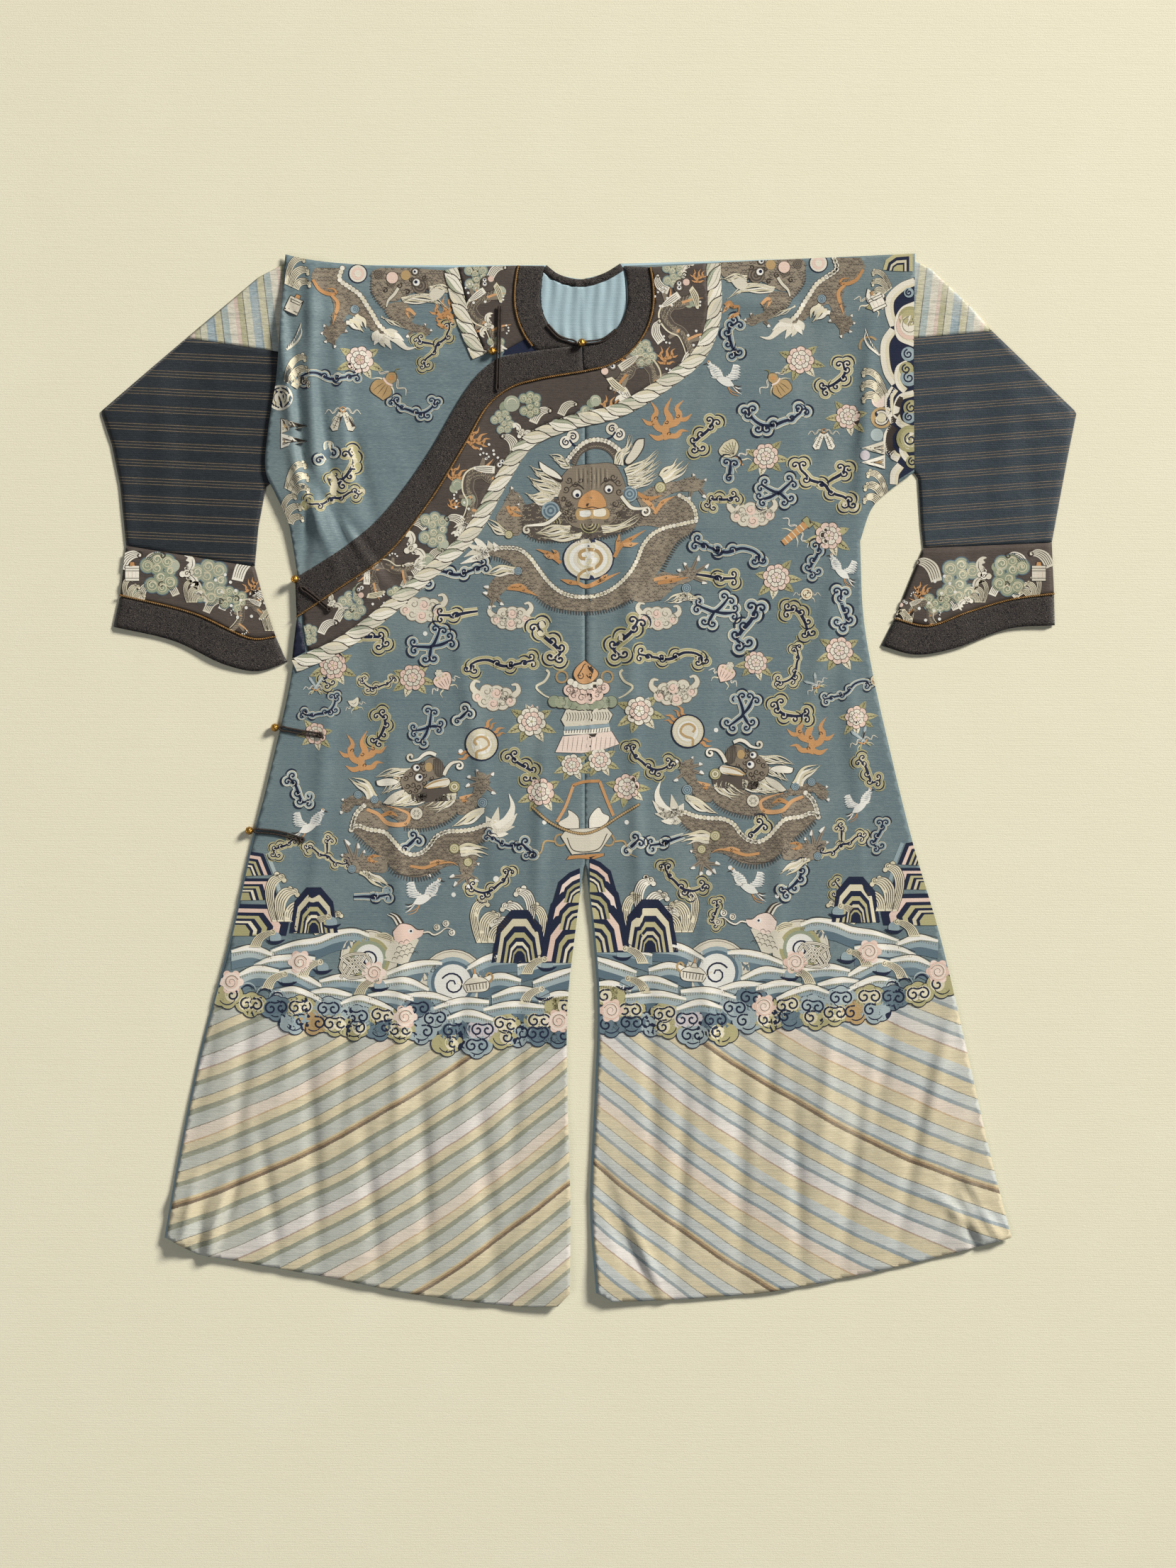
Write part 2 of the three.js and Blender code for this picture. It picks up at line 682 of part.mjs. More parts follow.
function addBorders() {
  const rope = ribbon(smooth(ROPE_PATH), ROPE_WIDTH);
  const underRope = ribbon(smooth(UNDER_ROPE_PATH), ROPE_WIDTH);
  add("overlap_border", cutCloth(borderOutline(), onOverFront, TRIM), COLOURS.border);
  add("overlap_rope", cutCloth(rope, onOverFront, TRIM), COLOURS.rope);
  add("under_border", cutCloth(underBorderOutline(), onUnderFront, TRIM), COLOURS.border);
  add("under_rope", cutCloth(underRope, onUnderFront, TRIM), COLOURS.rope);
  add("side_facing", cutCloth(SIDE_FACING, onOverFront, TRIM), COLOURS.navy);
  const collarLine = neckArc(COLLAR_ANGLE.left, COLLAR_ANGLE.crossing - 4, NECK.collar);
  const collarCord = ribbon(collarLine, CORD_WIDTH);
  add("collar_cord", cutCloth(collarCord, onUnderTrim, TRIM), COLOURS.gold, 0.5, 0.6);
  const collarEdge = neckArc(COLLAR_ANGLE.right, NECK_ANGLE.centre + 8, NECK.collar);
  const bindingPath = [...collarEdge, ...smooth(BINDING_EDGE)];
  const bindingCord = ribbon(bindingPath, CORD_WIDTH);
  add("binding_cord", cutCloth(bindingCord, onOverTrim, TRIM), COLOURS.gold, 0.5, 0.6);
}

function addSleeve(name, pieces) {
  const cordLine = smooth(pieces.cord).slice(1, -1);
  const below = cordLine.map(([x, y]) => [x, y - GAP]);
  add(`${name}_fold`, sleeveTube(pieces.fold, { head: [], foot: [] }), COLOURS.striped);
  add(`${name}_extension`, sleeveTube(pieces.extension, { head: [], foot: [] }), COLOURS.sleeve);
  add(`${name}_band`, sleeveTube(pieces.band, { head: [], foot: cordLine }), COLOURS.border);
  const cuffEnds = { head: below.reverse(), foot: smooth(pieces.wrist).slice(1, -1) };
  add(`${name}_cuff`, sleeveTube(pieces.cuff, cuffEnds), COLOURS.brocade);
  add(`${name}_cord`, sleeveCord(pieces.cord), COLOURS.gold, 0.5, 0.6);
}

function addFastenings() {
  for (const { name, x, y, seat } of BUTTONS) {
    const ball = new THREE.SphereGeometry(BUTTON_RADIUS, BUTTON_SIDES, BUTTON_RINGS);
    ball.rotateX(Math.PI / 2);
    ball.translate(x, y, seat(x, y) + BUTTON_RADIUS);
    add(name, solidFromGeometry(ball), COLOURS.gold, 0.35, 0.9);
  }
  for (const { name, width, base, line } of LOOPS) {
    add(name, cutCloth(ribbon(smooth(line), width), base, TRIM), COLOURS.brocade);
  }
}

addPanels();
addNeck();
addBorders();
addSleeve("sleeve_left", SLEEVE_LEFT);
addSleeve("sleeve_right", SLEEVE_RIGHT);
addFastenings();

// The middle of the base goes to the origin.
robe.position.set(-(SLEEVE_REACH_LEFT + SLEEVE_REACH_RIGHT) / 2, -ROBE_LENGTH / 2, 0);

export default robe;
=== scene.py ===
# %% [markdown]
# # A silk tapestry dragon robe, laid flat
#
# The robe is cut from silk tapestry, a weave in which each patch of colour is its own weft thread.
# It lies on a pale floor, front up, and the camera looks straight down on it. The measured part
# gives the place and size of every piece. This lesson rebuilds each piece as thin cloth with
# creases, and then weaves the figures into it.

import math
import random
from types import SimpleNamespace

import bpy
import numpy as np
from mathutils.geometry import delaunay_2d_cdt
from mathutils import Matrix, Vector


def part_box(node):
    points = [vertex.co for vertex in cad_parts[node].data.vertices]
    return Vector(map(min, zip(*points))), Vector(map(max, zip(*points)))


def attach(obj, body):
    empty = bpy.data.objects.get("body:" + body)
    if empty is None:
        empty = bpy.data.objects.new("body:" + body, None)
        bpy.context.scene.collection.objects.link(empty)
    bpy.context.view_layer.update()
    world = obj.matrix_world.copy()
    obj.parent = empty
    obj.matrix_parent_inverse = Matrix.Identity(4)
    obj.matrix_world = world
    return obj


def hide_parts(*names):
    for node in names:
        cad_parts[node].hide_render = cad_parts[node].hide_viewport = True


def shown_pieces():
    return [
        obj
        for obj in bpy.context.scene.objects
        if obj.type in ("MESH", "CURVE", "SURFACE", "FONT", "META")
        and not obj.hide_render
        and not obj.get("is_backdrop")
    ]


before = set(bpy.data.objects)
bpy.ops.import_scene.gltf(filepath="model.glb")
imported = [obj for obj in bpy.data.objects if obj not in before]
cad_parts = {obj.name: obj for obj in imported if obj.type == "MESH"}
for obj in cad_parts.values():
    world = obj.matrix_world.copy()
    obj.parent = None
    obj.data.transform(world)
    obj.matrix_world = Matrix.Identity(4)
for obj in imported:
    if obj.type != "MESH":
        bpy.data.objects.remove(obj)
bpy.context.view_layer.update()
rng = random.Random(11)

# %% [markdown]
# ## Numbers and plan curves
#
# All plan points are in millimetres: x from the centre seam, y up from the lowest point of the
# hem. A place read in the photograph, in its pixels, is turned into the same millimetres by
# spot(). Small tables hold the layout, with their column names in the first line.


# %% Tables and plan curves
PIXEL = 0.943
CENTRE_SEAM_PX = 825
HEM_PX = 1843
PLAN_TO_FRAME = np.array([5.0, 700.0])


def spot(px, py):
    """Plan millimetres of a place in the photograph."""
    return (px - CENTRE_SEAM_PX) * PIXEL, (HEM_PX - py) * PIXEL


def table(text):
    """Rows of a small table whose first line names the columns."""
    head, *lines = [line.split() for line in text.strip().splitlines()]
    rows = []
    for line in lines:
        row = {}
        for key, word in zip(head, line):
            try:
                row[key] = float(word)
            except ValueError:
                row[key] = word
        rows.append(SimpleNamespace(**row))
    return rows


def respace(line, step):
    """The same line with points one step apart."""
    line = np.asarray(line, float)
    run = np.hypot(*np.diff(line, axis=0).T)
    along = np.concatenate([[0], np.cumsum(run)])
    count = max(2, int(round(along[-1] / step)) + 1)
    even = np.linspace(0, along[-1], count)
    return np.column_stack([np.interp(even, along, line[:, k]) for k in (0, 1)])


def smooth(points, step=5.0):
    """A smooth line through the given points."""
    p = np.asarray(points, float)
    p = np.vstack([2 * p[0] - p[1], p, 2 * p[-1] - p[-2]])
    t = np.linspace(0, 1, 10, endpoint=False)[:, None]
    runs = []
    for a, b, c, d in zip(p[:-3], p[1:-2], p[2:-1], p[3:]):
        before, here, after = [max(np.hypot(*(q - r)) ** 0.5, 1e-3) for q, r in ((a, b), (b, c), (c, d))]
        leave = (b - a) / before - (c - a) / (before + here) + (c - b) / here
        reach = (c - b) / here - (d - b) / (here + after) + (d - c) / after
        leave, reach = leave * here, reach * here
        cubic = 2 * (b - c) + leave + reach
        runs.append(b + leave * t + (3 * (c - b) - 2 * leave - reach) * t**2 + cubic * t**3)
    return respace(np.vstack(runs + [p[-2:-1]]), step)


def offset(line, distance):
    """The line moved sideways, to its left for a positive distance."""
    line = np.asarray(line, float)
    along = np.gradient(line, axis=0)
    along /= np.maximum(np.hypot(along[:, 0], along[:, 1]), 1e-9)[:, None]
    return line + np.column_stack([-along[:, 1], along[:, 0]]) * np.reshape(distance, (-1, 1))


def closed(*lines, step=5.0):
    """One closed outline out of lines laid end to end, with no long edge left in it."""
    points = np.vstack([np.atleast_2d(np.asarray(line, float)) for line in lines])
    ring = []
    for a, b in zip(points, np.roll(points, -1, axis=0)):
        length = np.hypot(*(b - a))
        if length > 0.4:
            count = max(1, int(round(length / step)))
            ring.extend(a + (b - a) * k / count for k in range(count))
    return np.array(ring)


def inside(x, y, outline):
    """Which points lie inside a closed outline."""
    (ax, ay), (bx, by) = outline.T, np.roll(outline, -1, axis=0).T
    rise = np.where(by == ay, 1.0, by - ay)
    hit = np.zeros(len(x), bool)
    for start in range(0, len(x), 1000):
        px, py = x[start : start + 1000, None], y[start : start + 1000, None]
        crosses = (ay > py) != (by > py)
        crosses &= px < (bx - ax) * (py - ay) / rise + ax
        hit[start : start + 1000] = crosses.sum(1) % 2 == 1
    return hit


# %% [markdown]
# ## How the cloth lies
#
# Every layer rests on the one below, so one height field carries them all: the folds of the
# measured part, and the finer creases that a long stored robe keeps. Each crease is a soft ridge
# or trough placed where the photograph shows one, uneven in length, depth and spacing.
# A simulation would lay the cloth flatter and more evenly than this one lies.

# %% Height of every layer
WALL, GAP, TRIM = 1.2, 0.3, 1.0
LAYER = WALL + GAP
FOLDS = table("""
x y turn length width height
-520 96 35 60 42 6
-42 32 140 60 45 6
44 36 40 60 45 7
530 98 150 60 42 5
-440 230 100 190 44 3.2
-300 200 94 200 44 2.6
-165 180 88 180 44 3.0
130 190 86 210 44 3.2
290 210 80 200 46 2.8
440 240 76 190 46 2.6
-372 1210 96 150 42 5
-345 1035 122 110 42 4
425 1215 92 100 44 2.5
20 1010 90 240 120 2
0 1250 10 150 70 2
-290 240 0 250 230 4.8
290 240 0 250 230 4.8
-350 1150 90 230 90 3.2
0 760 0 330 300 1.6
220 1150 0 220 200 1.2
""")
# Finer creases: negative heights are troughs.
CREASES = table("""
x y turn length width height
-505 330 80 90 13 -1.8
-455 300 84 120 14 -2.2
-420 150 98 90 12 -1.9
-392 360 82 100 15 1.6
-362 210 93 130 13 -2.4
-318 330 86 90 12 -1.6
-285 150 95 110 14 -2.2
-248 300 88 120 13 1.7
-214 190 92 120 13 -2.3
-170 330 84 80 12 -1.7
-132 170 95 130 15 -2.1
-92 300 87 110 12 -1.8
-70 130 60 60 12 2.0
-505 140 62 46 9 -1.9
-487 120 70 50 9 1.8
-470 140 76 52 9 -1.9
-536 150 40 40 9 1.7
-528 118 78 46 8 2.2
-512 92 84 50 8 -2.4
-540 84 30 40 8 2.0
-496 74 80 44 8 2.0
-60 70 52 60 9 -2.1
-45 95 48 60 9 1.9
-90 60 44 60 10 1.7
-36 180 70 90 10 1.6
60 80 118 55 9 -2.1
84 60 112 60 10 1.9
40 120 104 70 10 -1.7
88 300 92 120 13 -1.9
128 170 88 120 13 -2.3
168 330 94 100 13 1.6
206 200 90 130 14 -2.3
246 320 86 90 12 -1.7
282 160 92 120 13 -2.2
322 300 86 120 14 1.7
356 190 84 120 13 -2.3
398 330 82 100 13 -1.8
436 200 80 120 13 -2.2
470 310 78 90 13 1.6
500 190 74 90 12 -2.0
500 120 140 46 9 1.8
520 140 132 40 9 -1.7
534 120 120 46 8 2.2
512 100 112 50 8 -2.2
-396 1236 97 150 10 2.6
-380 1180 95 120 9 -2.4
-362 1226 92 140 10 2.4
-344 1150 99 120 10 -2.2
-322 1200 96 110 12 1.8
-300 1120 104 90 11 -1.6
-362 1060 112 70 9 2.4
-345 1075 118 76 8 -2.2
-326 1050 124 80 9 2.2
-306 1030 130 76 9 -1.8
-370 1020 84 56 8 -1.8
-250 1190 112 120 16 -1.5
-270 1290 160 90 15 1.2
-360 1330 88 60 12 1.5
300 1230 94 130 15 -1.4
372 1180 86 110 12 1.8
398 1120 76 80 10 -1.7
350 1060 50 70 12 1.6
318 1100 58 90 13 -1.4
250 1330 172 90 16 1.0
120 1090 80 120 16 -1.1
60 900 92 150 15 1.2
-60 880 88 140 15 -1.2
-150 780 100 130 15 1.1
190 800 84 140 16 -1.2
320 900 78 130 15 1.1
-290 800 98 130 14 -1.3
-350 700 84 110 14 1.3
-380 560 78 100 13 -1.4
-250 600 92 140 15 1.2
-140 560 96 130 14 -1.4
-60 640 88 120 12 1.2
70 620 92 120 12 1.2
150 560 84 120 14 -1.4
260 600 88 140 15 1.2
390 560 100 110 13 -1.4
360 730 96 110 14 1.2
0 950 90 260 5 -0.2
8 950 90 260 4 0.4
""")
FINE_CREASE, CREASE_DEPTH, CREASE_WIDTH = 20, 2.4, 0.78
TUCK_LOWEST = 1050


def tuck(x, y):
    """How far the fronts are raised over the sleeves' folded ends, from 0 to 1."""
    reach = np.maximum((-300 - x) / 50, (x - 350) / 50)
    return np.clip(reach, 0, 1) * np.clip((y - TUCK_LOWEST) / 50, 0, 1)


def fold_height(x, y):
    """Sum of the ridges and troughs. It levels off softly where a trough would leave the back."""
    total = np.zeros(np.shape(x))
    for row in FOLDS + CREASES:
        cosine, sine = math.cos(math.radians(row.turn)), math.sin(math.radians(row.turn))
        along = (x - row.x) * cosine + (y - row.y) * sine
        across = (y - row.y) * cosine - (x - row.x) * sine
        fine = row.width < FINE_CREASE
        depth = row.height * (CREASE_DEPTH if fine else 1.0)
        width = row.width * (CREASE_WIDTH if fine else 1.0)
        total += depth * np.exp(-((along / row.length) ** 2) - (across / width) ** 2)
    return 0.5 * np.log1p(np.exp(np.clip(total / 0.5, -40, 40)))


def under_front(x, y):
    """Top of the under front."""
    return LAYER * (1 + tuck(x, y)) + fold_height(x, y) + WALL


def over_front(x, y):
    """Top of the two front pieces that lie uppermost."""
    overlap = np.clip(1 - x / 50, 0, 1)
    return LAYER * (1 + overlap + (x > 0) * tuck(x, y)) + fold_height(x, y) + WALL


def raised(layer, rise):
    return lambda x, y: layer(x, y) + rise


on_under, on_over = raised(under_front, GAP + TRIM), raised(over_front, GAP + TRIM)
on_under_trim, on_over_trim = raised(on_under, GAP + TRIM), raised(on_over, GAP + TRIM)
print("creases placed by hand:", len(CREASES))

# %% [markdown]
# ## Silk finishes
#
# In silk tapestry the coloured weft hides the warp, so the surface has fine level threads over
# faint upright ribs. Three effects make every cloth here, each a shader node group: the weave,
# the slow change of dye along and across the cloth, and the ruled lines of the sleeve silk.


# %% Node helpers and the weave group
def rgb(red, green, blue):
    """A colour given as seen on the screen, from 0 to 255, as the shader's own numbers."""
    steps = [c / 255 for c in (red, green, blue)]
    return [s / 12.92 if s <= 0.04045 else ((s + 0.055) / 1.055) ** 2.4 for s in steps] + [1.0]


def new_group(name, inputs, outputs):
    """A shader node group with named sockets. Inputs are (name, kind, value)."""
    group = bpy.data.node_groups.new(name, "ShaderNodeTree")
    for title, kind, value in inputs:
        socket = group.interface.new_socket(title, in_out="INPUT", socket_type=kind)
        socket.default_value = value
    for title, kind in outputs:
        group.interface.new_socket(title, in_out="OUTPUT", socket_type=kind)
    return group


def add(tree, kind, links=None, **values):
    """A node with its properties set and its inputs linked or given numbers."""
    node = tree.nodes.new(kind)
    for key, value in values.items():
        setattr(node, key, value)
    for key, source in (links or {}).items():
        if isinstance(source, bpy.types.NodeSocket):
            tree.links.new(source, node.inputs[key])
        else:
            node.inputs[key].default_value = source
    return node


def maths(tree, operation, a, b=0.0, clamp=False):
    node = add(tree, "ShaderNodeMath", {0: a, 1: b}, operation=operation, use_clamp=clamp)
    return node.outputs[0]


def stretched(tree, scale):
    """The object's own coordinates in metres, multiplied along each axis."""
    where = add(tree, "ShaderNodeTexCoord").outputs["Object"]
    node = add(tree, "ShaderNodeMapping", {"Vector": where, "Scale": scale})
    return node.outputs["Vector"]


FLOAT, COLOUR = "NodeSocketFloat", "NodeSocketColor"


def weave_group():
    """Level weft threads over upright warp ribs. Height drives a bump and Gloss a roughness."""
    inputs = [("Weft pitch", FLOAT, 1.6), ("Warp pitch", FLOAT, 2.2), ("Softness", FLOAT, 0.5)]
    inputs += [("Roughness", FLOAT, 0.6)]
    group = new_group("silk weave", inputs, [("Height", FLOAT), ("Roughness", FLOAT)])
    given = add(group, "NodeGroupInput").outputs
    place = add(group, "ShaderNodeSeparateXYZ", {0: stretched(group, (1000, 1000, 1000))}).outputs
    waves = []
    for axis, pitch in (("Y", "Weft pitch"), ("X", "Warp pitch")):
        turns = maths(group, "DIVIDE", place[axis], given[pitch])
        waves.append(maths(group, "SINE", maths(group, "MULTIPLY", turns, math.tau)))
    streaks = add(group, "ShaderNodeTexNoise", {"Vector": stretched(group, (60, 900, 60)), "Scale": 1.0})
    lint = add(group, "ShaderNodeTexNoise", {"Vector": stretched(group, (900, 900, 900)), "Scale": 0.7})
    woven = maths(group, "MULTIPLY", waves[0], maths(group, "ADD", waves[1], 1.6))
    rough = maths(group, "ADD", streaks.outputs["Fac"], lint.outputs["Fac"])
    height = maths(group, "ADD", maths(group, "MULTIPLY", woven, 0.12), rough)
    height = maths(group, "MULTIPLY", height, maths(group, "SUBTRACT", 1.5, given["Softness"]))
    shine = maths(group, "MULTIPLY", maths(group, "SUBTRACT", rough, 1.0), 0.45)
    out = add(group, "NodeGroupOutput", {"Height": height})
    group.links.new(maths(group, "ADD", given["Roughness"], shine, clamp=True), out.inputs["Roughness"])
    return group


def dye_group():
    """Three shades of one dye: level streaks where the weaver changed skeins, and paler clouds: faded silk
    on most cloth, and painted sheen on the shoulder silk.
    """
    inputs = [("Colour", COLOUR, rgb(90, 120, 138)), ("Dark skein", COLOUR, rgb(70, 100, 120))]
    inputs += [("Pale shade", COLOUR, rgb(130, 150, 155)), ("Amount", FLOAT, 1.0)]
    group = new_group("uneven dye", inputs, [("Colour", COLOUR)])
    given = add(group, "NodeGroupInput").outputs
    skeins = add(group, "ShaderNodeTexNoise", {"Vector": stretched(group, (9, 230, 9)), "Scale": 1.0,
            "Detail": 3.0})
    clouds = add(group, "ShaderNodeTexNoise", {"Vector": stretched(group, (11, 8, 9)), "Scale": 1.0,
            "Detail": 4.0})
    threads = add(group, "ShaderNodeTexNoise", {"Vector": stretched(group, (160, 1300, 200)), "Scale": 1.0})
    colour = given["Colour"]
    steps = [(skeins, 0.46, 0.72, "Dark skein", 0.55), (clouds, 0.5, 0.78, "Pale shade", 0.7)]
    steps += [(threads, 0.35, 0.75, "Pale shade", 0.38), (threads, 0.65, 0.3, "Dark skein", 0.4)]
    for noise, low, high, shade, strength in steps:
        links = {"Value": noise.outputs["Fac"], "From Min": low, "From Max": high, "To Max": strength}
        mask = add(group, "ShaderNodeMapRange", links, clamp=True).outputs["Result"]
        mask = maths(group, "MULTIPLY", mask, given["Amount"], clamp=True)
        mix = add(group, "ShaderNodeMix", {"Factor": mask}, data_type="RGBA")
        group.links.new(colour, mix.inputs["A"])
        group.links.new(given[shade], mix.inputs["B"])
        colour = mix.outputs["Result"]
    out = add(group, "NodeGroupOutput")
    group.links.new(colour, out.inputs["Colour"])
    return group


WEAVE = weave_group()
DYE = dye_group()
print("node groups:", [group.name for group in bpy.data.node_groups])

# %% [markdown]
# ## Two kinds of silk
#
# Wide cloth gets the uneven dye. A woven figure is cut as its own patch of mesh, so each thread
# colour is a plain colour of its own, as a skein is, and only its weave and gloss vary. Near
# shades of one colour are drawn by turns, which is how the figures get their mottled look.


# %% Materials
def silk(name, weft=1.6, warp=2.2, roughness=0.6, depth=0.25, sheen=0.06, metallic=0.0):
    """A material with the weave in its bump and roughness, and no colour yet."""
    material = bpy.data.materials.new(name)
    material.use_nodes = True
    tree = material.node_tree
    shader = tree.nodes["Principled BSDF"]
    weave = add(tree, "ShaderNodeGroup", node_tree=WEAVE)
    for key, value in (("Weft pitch", weft), ("Warp pitch", warp), ("Roughness", roughness)):
        weave.inputs[key].default_value = value
    bump = add(tree, "ShaderNodeBump", {"Height": weave.outputs["Height"], "Distance": 0.001})
    bump.inputs["Strength"].default_value = depth
    tree.links.new(bump.outputs["Normal"], shader.inputs["Normal"])
    tree.links.new(weave.outputs["Roughness"], shader.inputs["Roughness"])
    shader.inputs["Sheen Weight"].default_value = sheen
    shader.inputs["Sheen Roughness"].default_value = 0.45
    shader.inputs["Metallic"].default_value = metallic
    shader.inputs["Specular IOR Level"].default_value = 0.22
    return material, tree, shader


def dyed_silk(name, colour, dark, pale_shade, amount=1.0, **finish):
    material, tree, shader = silk(name, **finish)
    dye = add(tree, "ShaderNodeGroup", node_tree=DYE)
    for key, value in (("Colour", colour), ("Dark skein", dark), ("Pale shade", pale_shade)):
        dye.inputs[key].default_value = rgb(*value)
    dye.inputs["Amount"].default_value = amount
    tree.links.new(dye.outputs["Colour"], shader.inputs["Base Color"])
    return material


def thread(name, *shades, **finish):
    """One material for each near shade of a thread colour."""
    made = []
    for number, shade in enumerate(shades):
        material, _, shader = silk(f"{name} thread {number}", **finish)
        shader.inputs["Base Color"].default_value = rgb(*shade)
        made.append(material)
    return made


THREADS = {
    "navy": thread("navy", (27, 34, 56), (34, 42, 66), (22, 28, 48)),
    "olive": thread("olive", (170, 163, 120), (158, 152, 110), (180, 172, 130)),
    "dark_olive": thread("dark olive", (128, 124, 82), (118, 112, 74)),
    "grey_blue": thread("grey blue", (154, 167, 168), (140, 156, 160), (164, 175, 173)),
    "slate": thread("slate", (98, 116, 124), (88, 106, 116)),
    "ivory": thread("ivory", (218, 211, 193), (206, 199, 180), (226, 220, 204)),
    "cream": thread("cream", (210, 201, 172), (200, 191, 162), (218, 209, 182)),
    "white": thread("white", (226, 223, 214), (216, 214, 206)),
    "pink": thread("pink", (220, 194, 178), (212, 184, 168), (226, 206, 192)),
    "orange": thread("orange", (190, 142, 94), (180, 132, 84), (200, 154, 108)),
    "tan": thread("tan", (176, 148, 104), (166, 138, 96)),
    "scale": thread("scale brown", (128, 117, 101), (120, 109, 94), (136, 125, 109)),
    "dark_scale": thread("dark scale", (86, 78, 70), (78, 71, 64)),
    "pale_scale": thread("pale scale", (160, 148, 126), (152, 140, 118)),
    "line": thread("line brown", (58, 50, 44), (66, 56, 48)),
    "border": thread("border brown", (84, 70, 62), (78, 64, 57)),
    "moss": thread("moss", (150, 156, 130), (140, 148, 124), (160, 164, 140)),
    "lilac": thread("lilac", (198, 190, 190), (190, 182, 184)),
    "pale_green": thread("pale green", (160, 165, 144), (150, 156, 136), (170, 174, 154)),
}
print("thread shades:", sum(len(shades) for shades in THREADS.values()))

# %% [markdown]
# ## The slanting stripes of the skirt
#
# Below the sea the skirt is ruled with long slanting stripes of standing water, which rise to
# the centre on both halves. Their order repeats: cream and blue by turns, with a pink and a lilac
# one between, and now and then a brown one. A group works out how far down the order each place of
# the cloth lies, and a stepped ramp gives its colour.

# %% Slanting stripes
# Half the hem's width, how the stripes rise towards the centre, and the length of their whole order.
HALF_HEM, STRIPE_CURVE, STRIPE_SLANT, STRIPE_RUN = 565.0, 152.5, 169.5, 269.0
STRIPE_COLOURS = {"cream": rgb(212, 199, 166), "sand": rgb(198, 180, 142), "earth": rgb(158, 130, 94),
                  "brown": rgb(104, 84, 64), "olive": rgb(206, 193, 160), "green": rgb(140, 142, 124),
                  "blue": rgb(182, 184, 176), "ink": rgb(112, 106, 92), "lilac": rgb(214, 208, 202),
                  "pink": rgb(216, 202, 186), "rose": rgb(170, 146, 130), "rust": rgb(190, 162, 128),
                  "sky": rgb(190, 195, 192), "deep": rgb(136, 148, 154)}
BROWN_ROWS = [("sand", 3), ("earth", 3), ("brown", 4), ("cream", 7)]
LEFT_PAIR = [("olive", 12), ("green", 7), ("blue", 16), ("ink", 1)]
RIGHT_PAIR = [("olive", 17), ("ink", 1), ("sky", 13), ("deep", 5)]


def stripe_ramp(tree, place, pair):
    """A colour for each place from 0 to 1 down the order of the stripes."""
    rows = BROWN_ROWS + pair * 2 + [("lilac", 16), ("rose", 2)] + pair * 2 + [("pink", 16),
        ("rust", 2)] + pair * 2
    ramp = add(tree, "ShaderNodeValToRGB", {"Fac": place})
    ramp.color_ramp.interpolation = "CONSTANT"
    total, start = sum(height for _, height in rows), 0
    for number, (colour, height) in enumerate(rows):
        steps = ramp.color_ramp.elements
        step = steps[number] if number < 2 else steps.new(start / total)
        step.position = start / total
        step.color = STRIPE_COLOURS[colour]
        start += height
    return ramp.outputs["Color"], total


def stripes_group():
    """Colour of the stripes, and a mask that is 1 where the skirt has them."""
    inputs = [("Left start", FLOAT, 136.5), ("Right start", FLOAT, 157.5), ("Wobble", FLOAT, 9.0)]
    group = new_group("slanting stripes", inputs, [("Colour", COLOUR), ("Mask", FLOAT)])
    given = add(group, "NodeGroupInput").outputs
    place = add(group, "ShaderNodeSeparateXYZ", {0: stretched(group, (1000, 1000, 1000))}).outputs
    x = maths(group, "ADD", place["X"], float(PLAN_TO_FRAME[0]))
    y = maths(group, "ADD", place["Y"], float(PLAN_TO_FRAME[1]))
    inward = maths(group, "SUBTRACT", 1.0, maths(group, "DIVIDE", maths(group, "ABSOLUTE", x), HALF_HEM))
    bend = maths(group, "MULTIPLY", inward, STRIPE_CURVE)
    curve = maths(group, "MULTIPLY", inward, maths(group, "ADD", bend, STRIPE_SLANT))
    slow = add(group, "ShaderNodeTexNoise", {"Vector": stretched(group, (9, 9, 9)),
            "Scale": 1.0}).outputs["Fac"]
    teeth = add(group, "ShaderNodeTexNoise", {"Vector": stretched(group, (900, 260, 9)),
            "Scale": 1.0}).outputs["Fac"]
    slow = maths(group, "MULTIPLY", slow, given["Wobble"])
    level = maths(group, "SUBTRACT", maths(group, "SUBTRACT", y, curve),
                  maths(group, "SUBTRACT", slow, 4.5))
    level = maths(group, "ADD", level, maths(group, "MULTIPLY", teeth, 3.0))
    colours = []
    for start, pair in (("Left start", LEFT_PAIR), ("Right start", RIGHT_PAIR)):
        down = maths(group, "SUBTRACT", given[start], level)
        down = maths(group, "FRACT", maths(group, "DIVIDE", down, STRIPE_RUN))
        colours.append(stripe_ramp(group, down, pair)[0])
    mix = add(group, "ShaderNodeMix", {"Factor": maths(group, "GREATER_THAN", x, 0.0)}, data_type="RGBA")
    for key, colour in zip("AB", colours):
        group.links.new(colour, mix.inputs[key])
    # The upper limit of the stripes rises towards the side seams.
    links = {"Value": maths(group, "ABSOLUTE", x), "From Min": 360.0, "From Max": 500.0, "To Min": 374.0,
             "To Max": 432.0}
    limit = add(group, "ShaderNodeMapRange", links, clamp=True).outputs["Result"]
    limit = maths(group, "ADD", limit, maths(group, "MULTIPLY", maths(group, "GREATER_THAN", x, 0.0), 14.0))
    out = add(group, "NodeGroupOutput", {"Colour": mix.outputs["Result"]})
    group.links.new(maths(group, "LESS_THAN", y, limit), out.inputs["Mask"])
    return group


STRIPES = stripes_group()


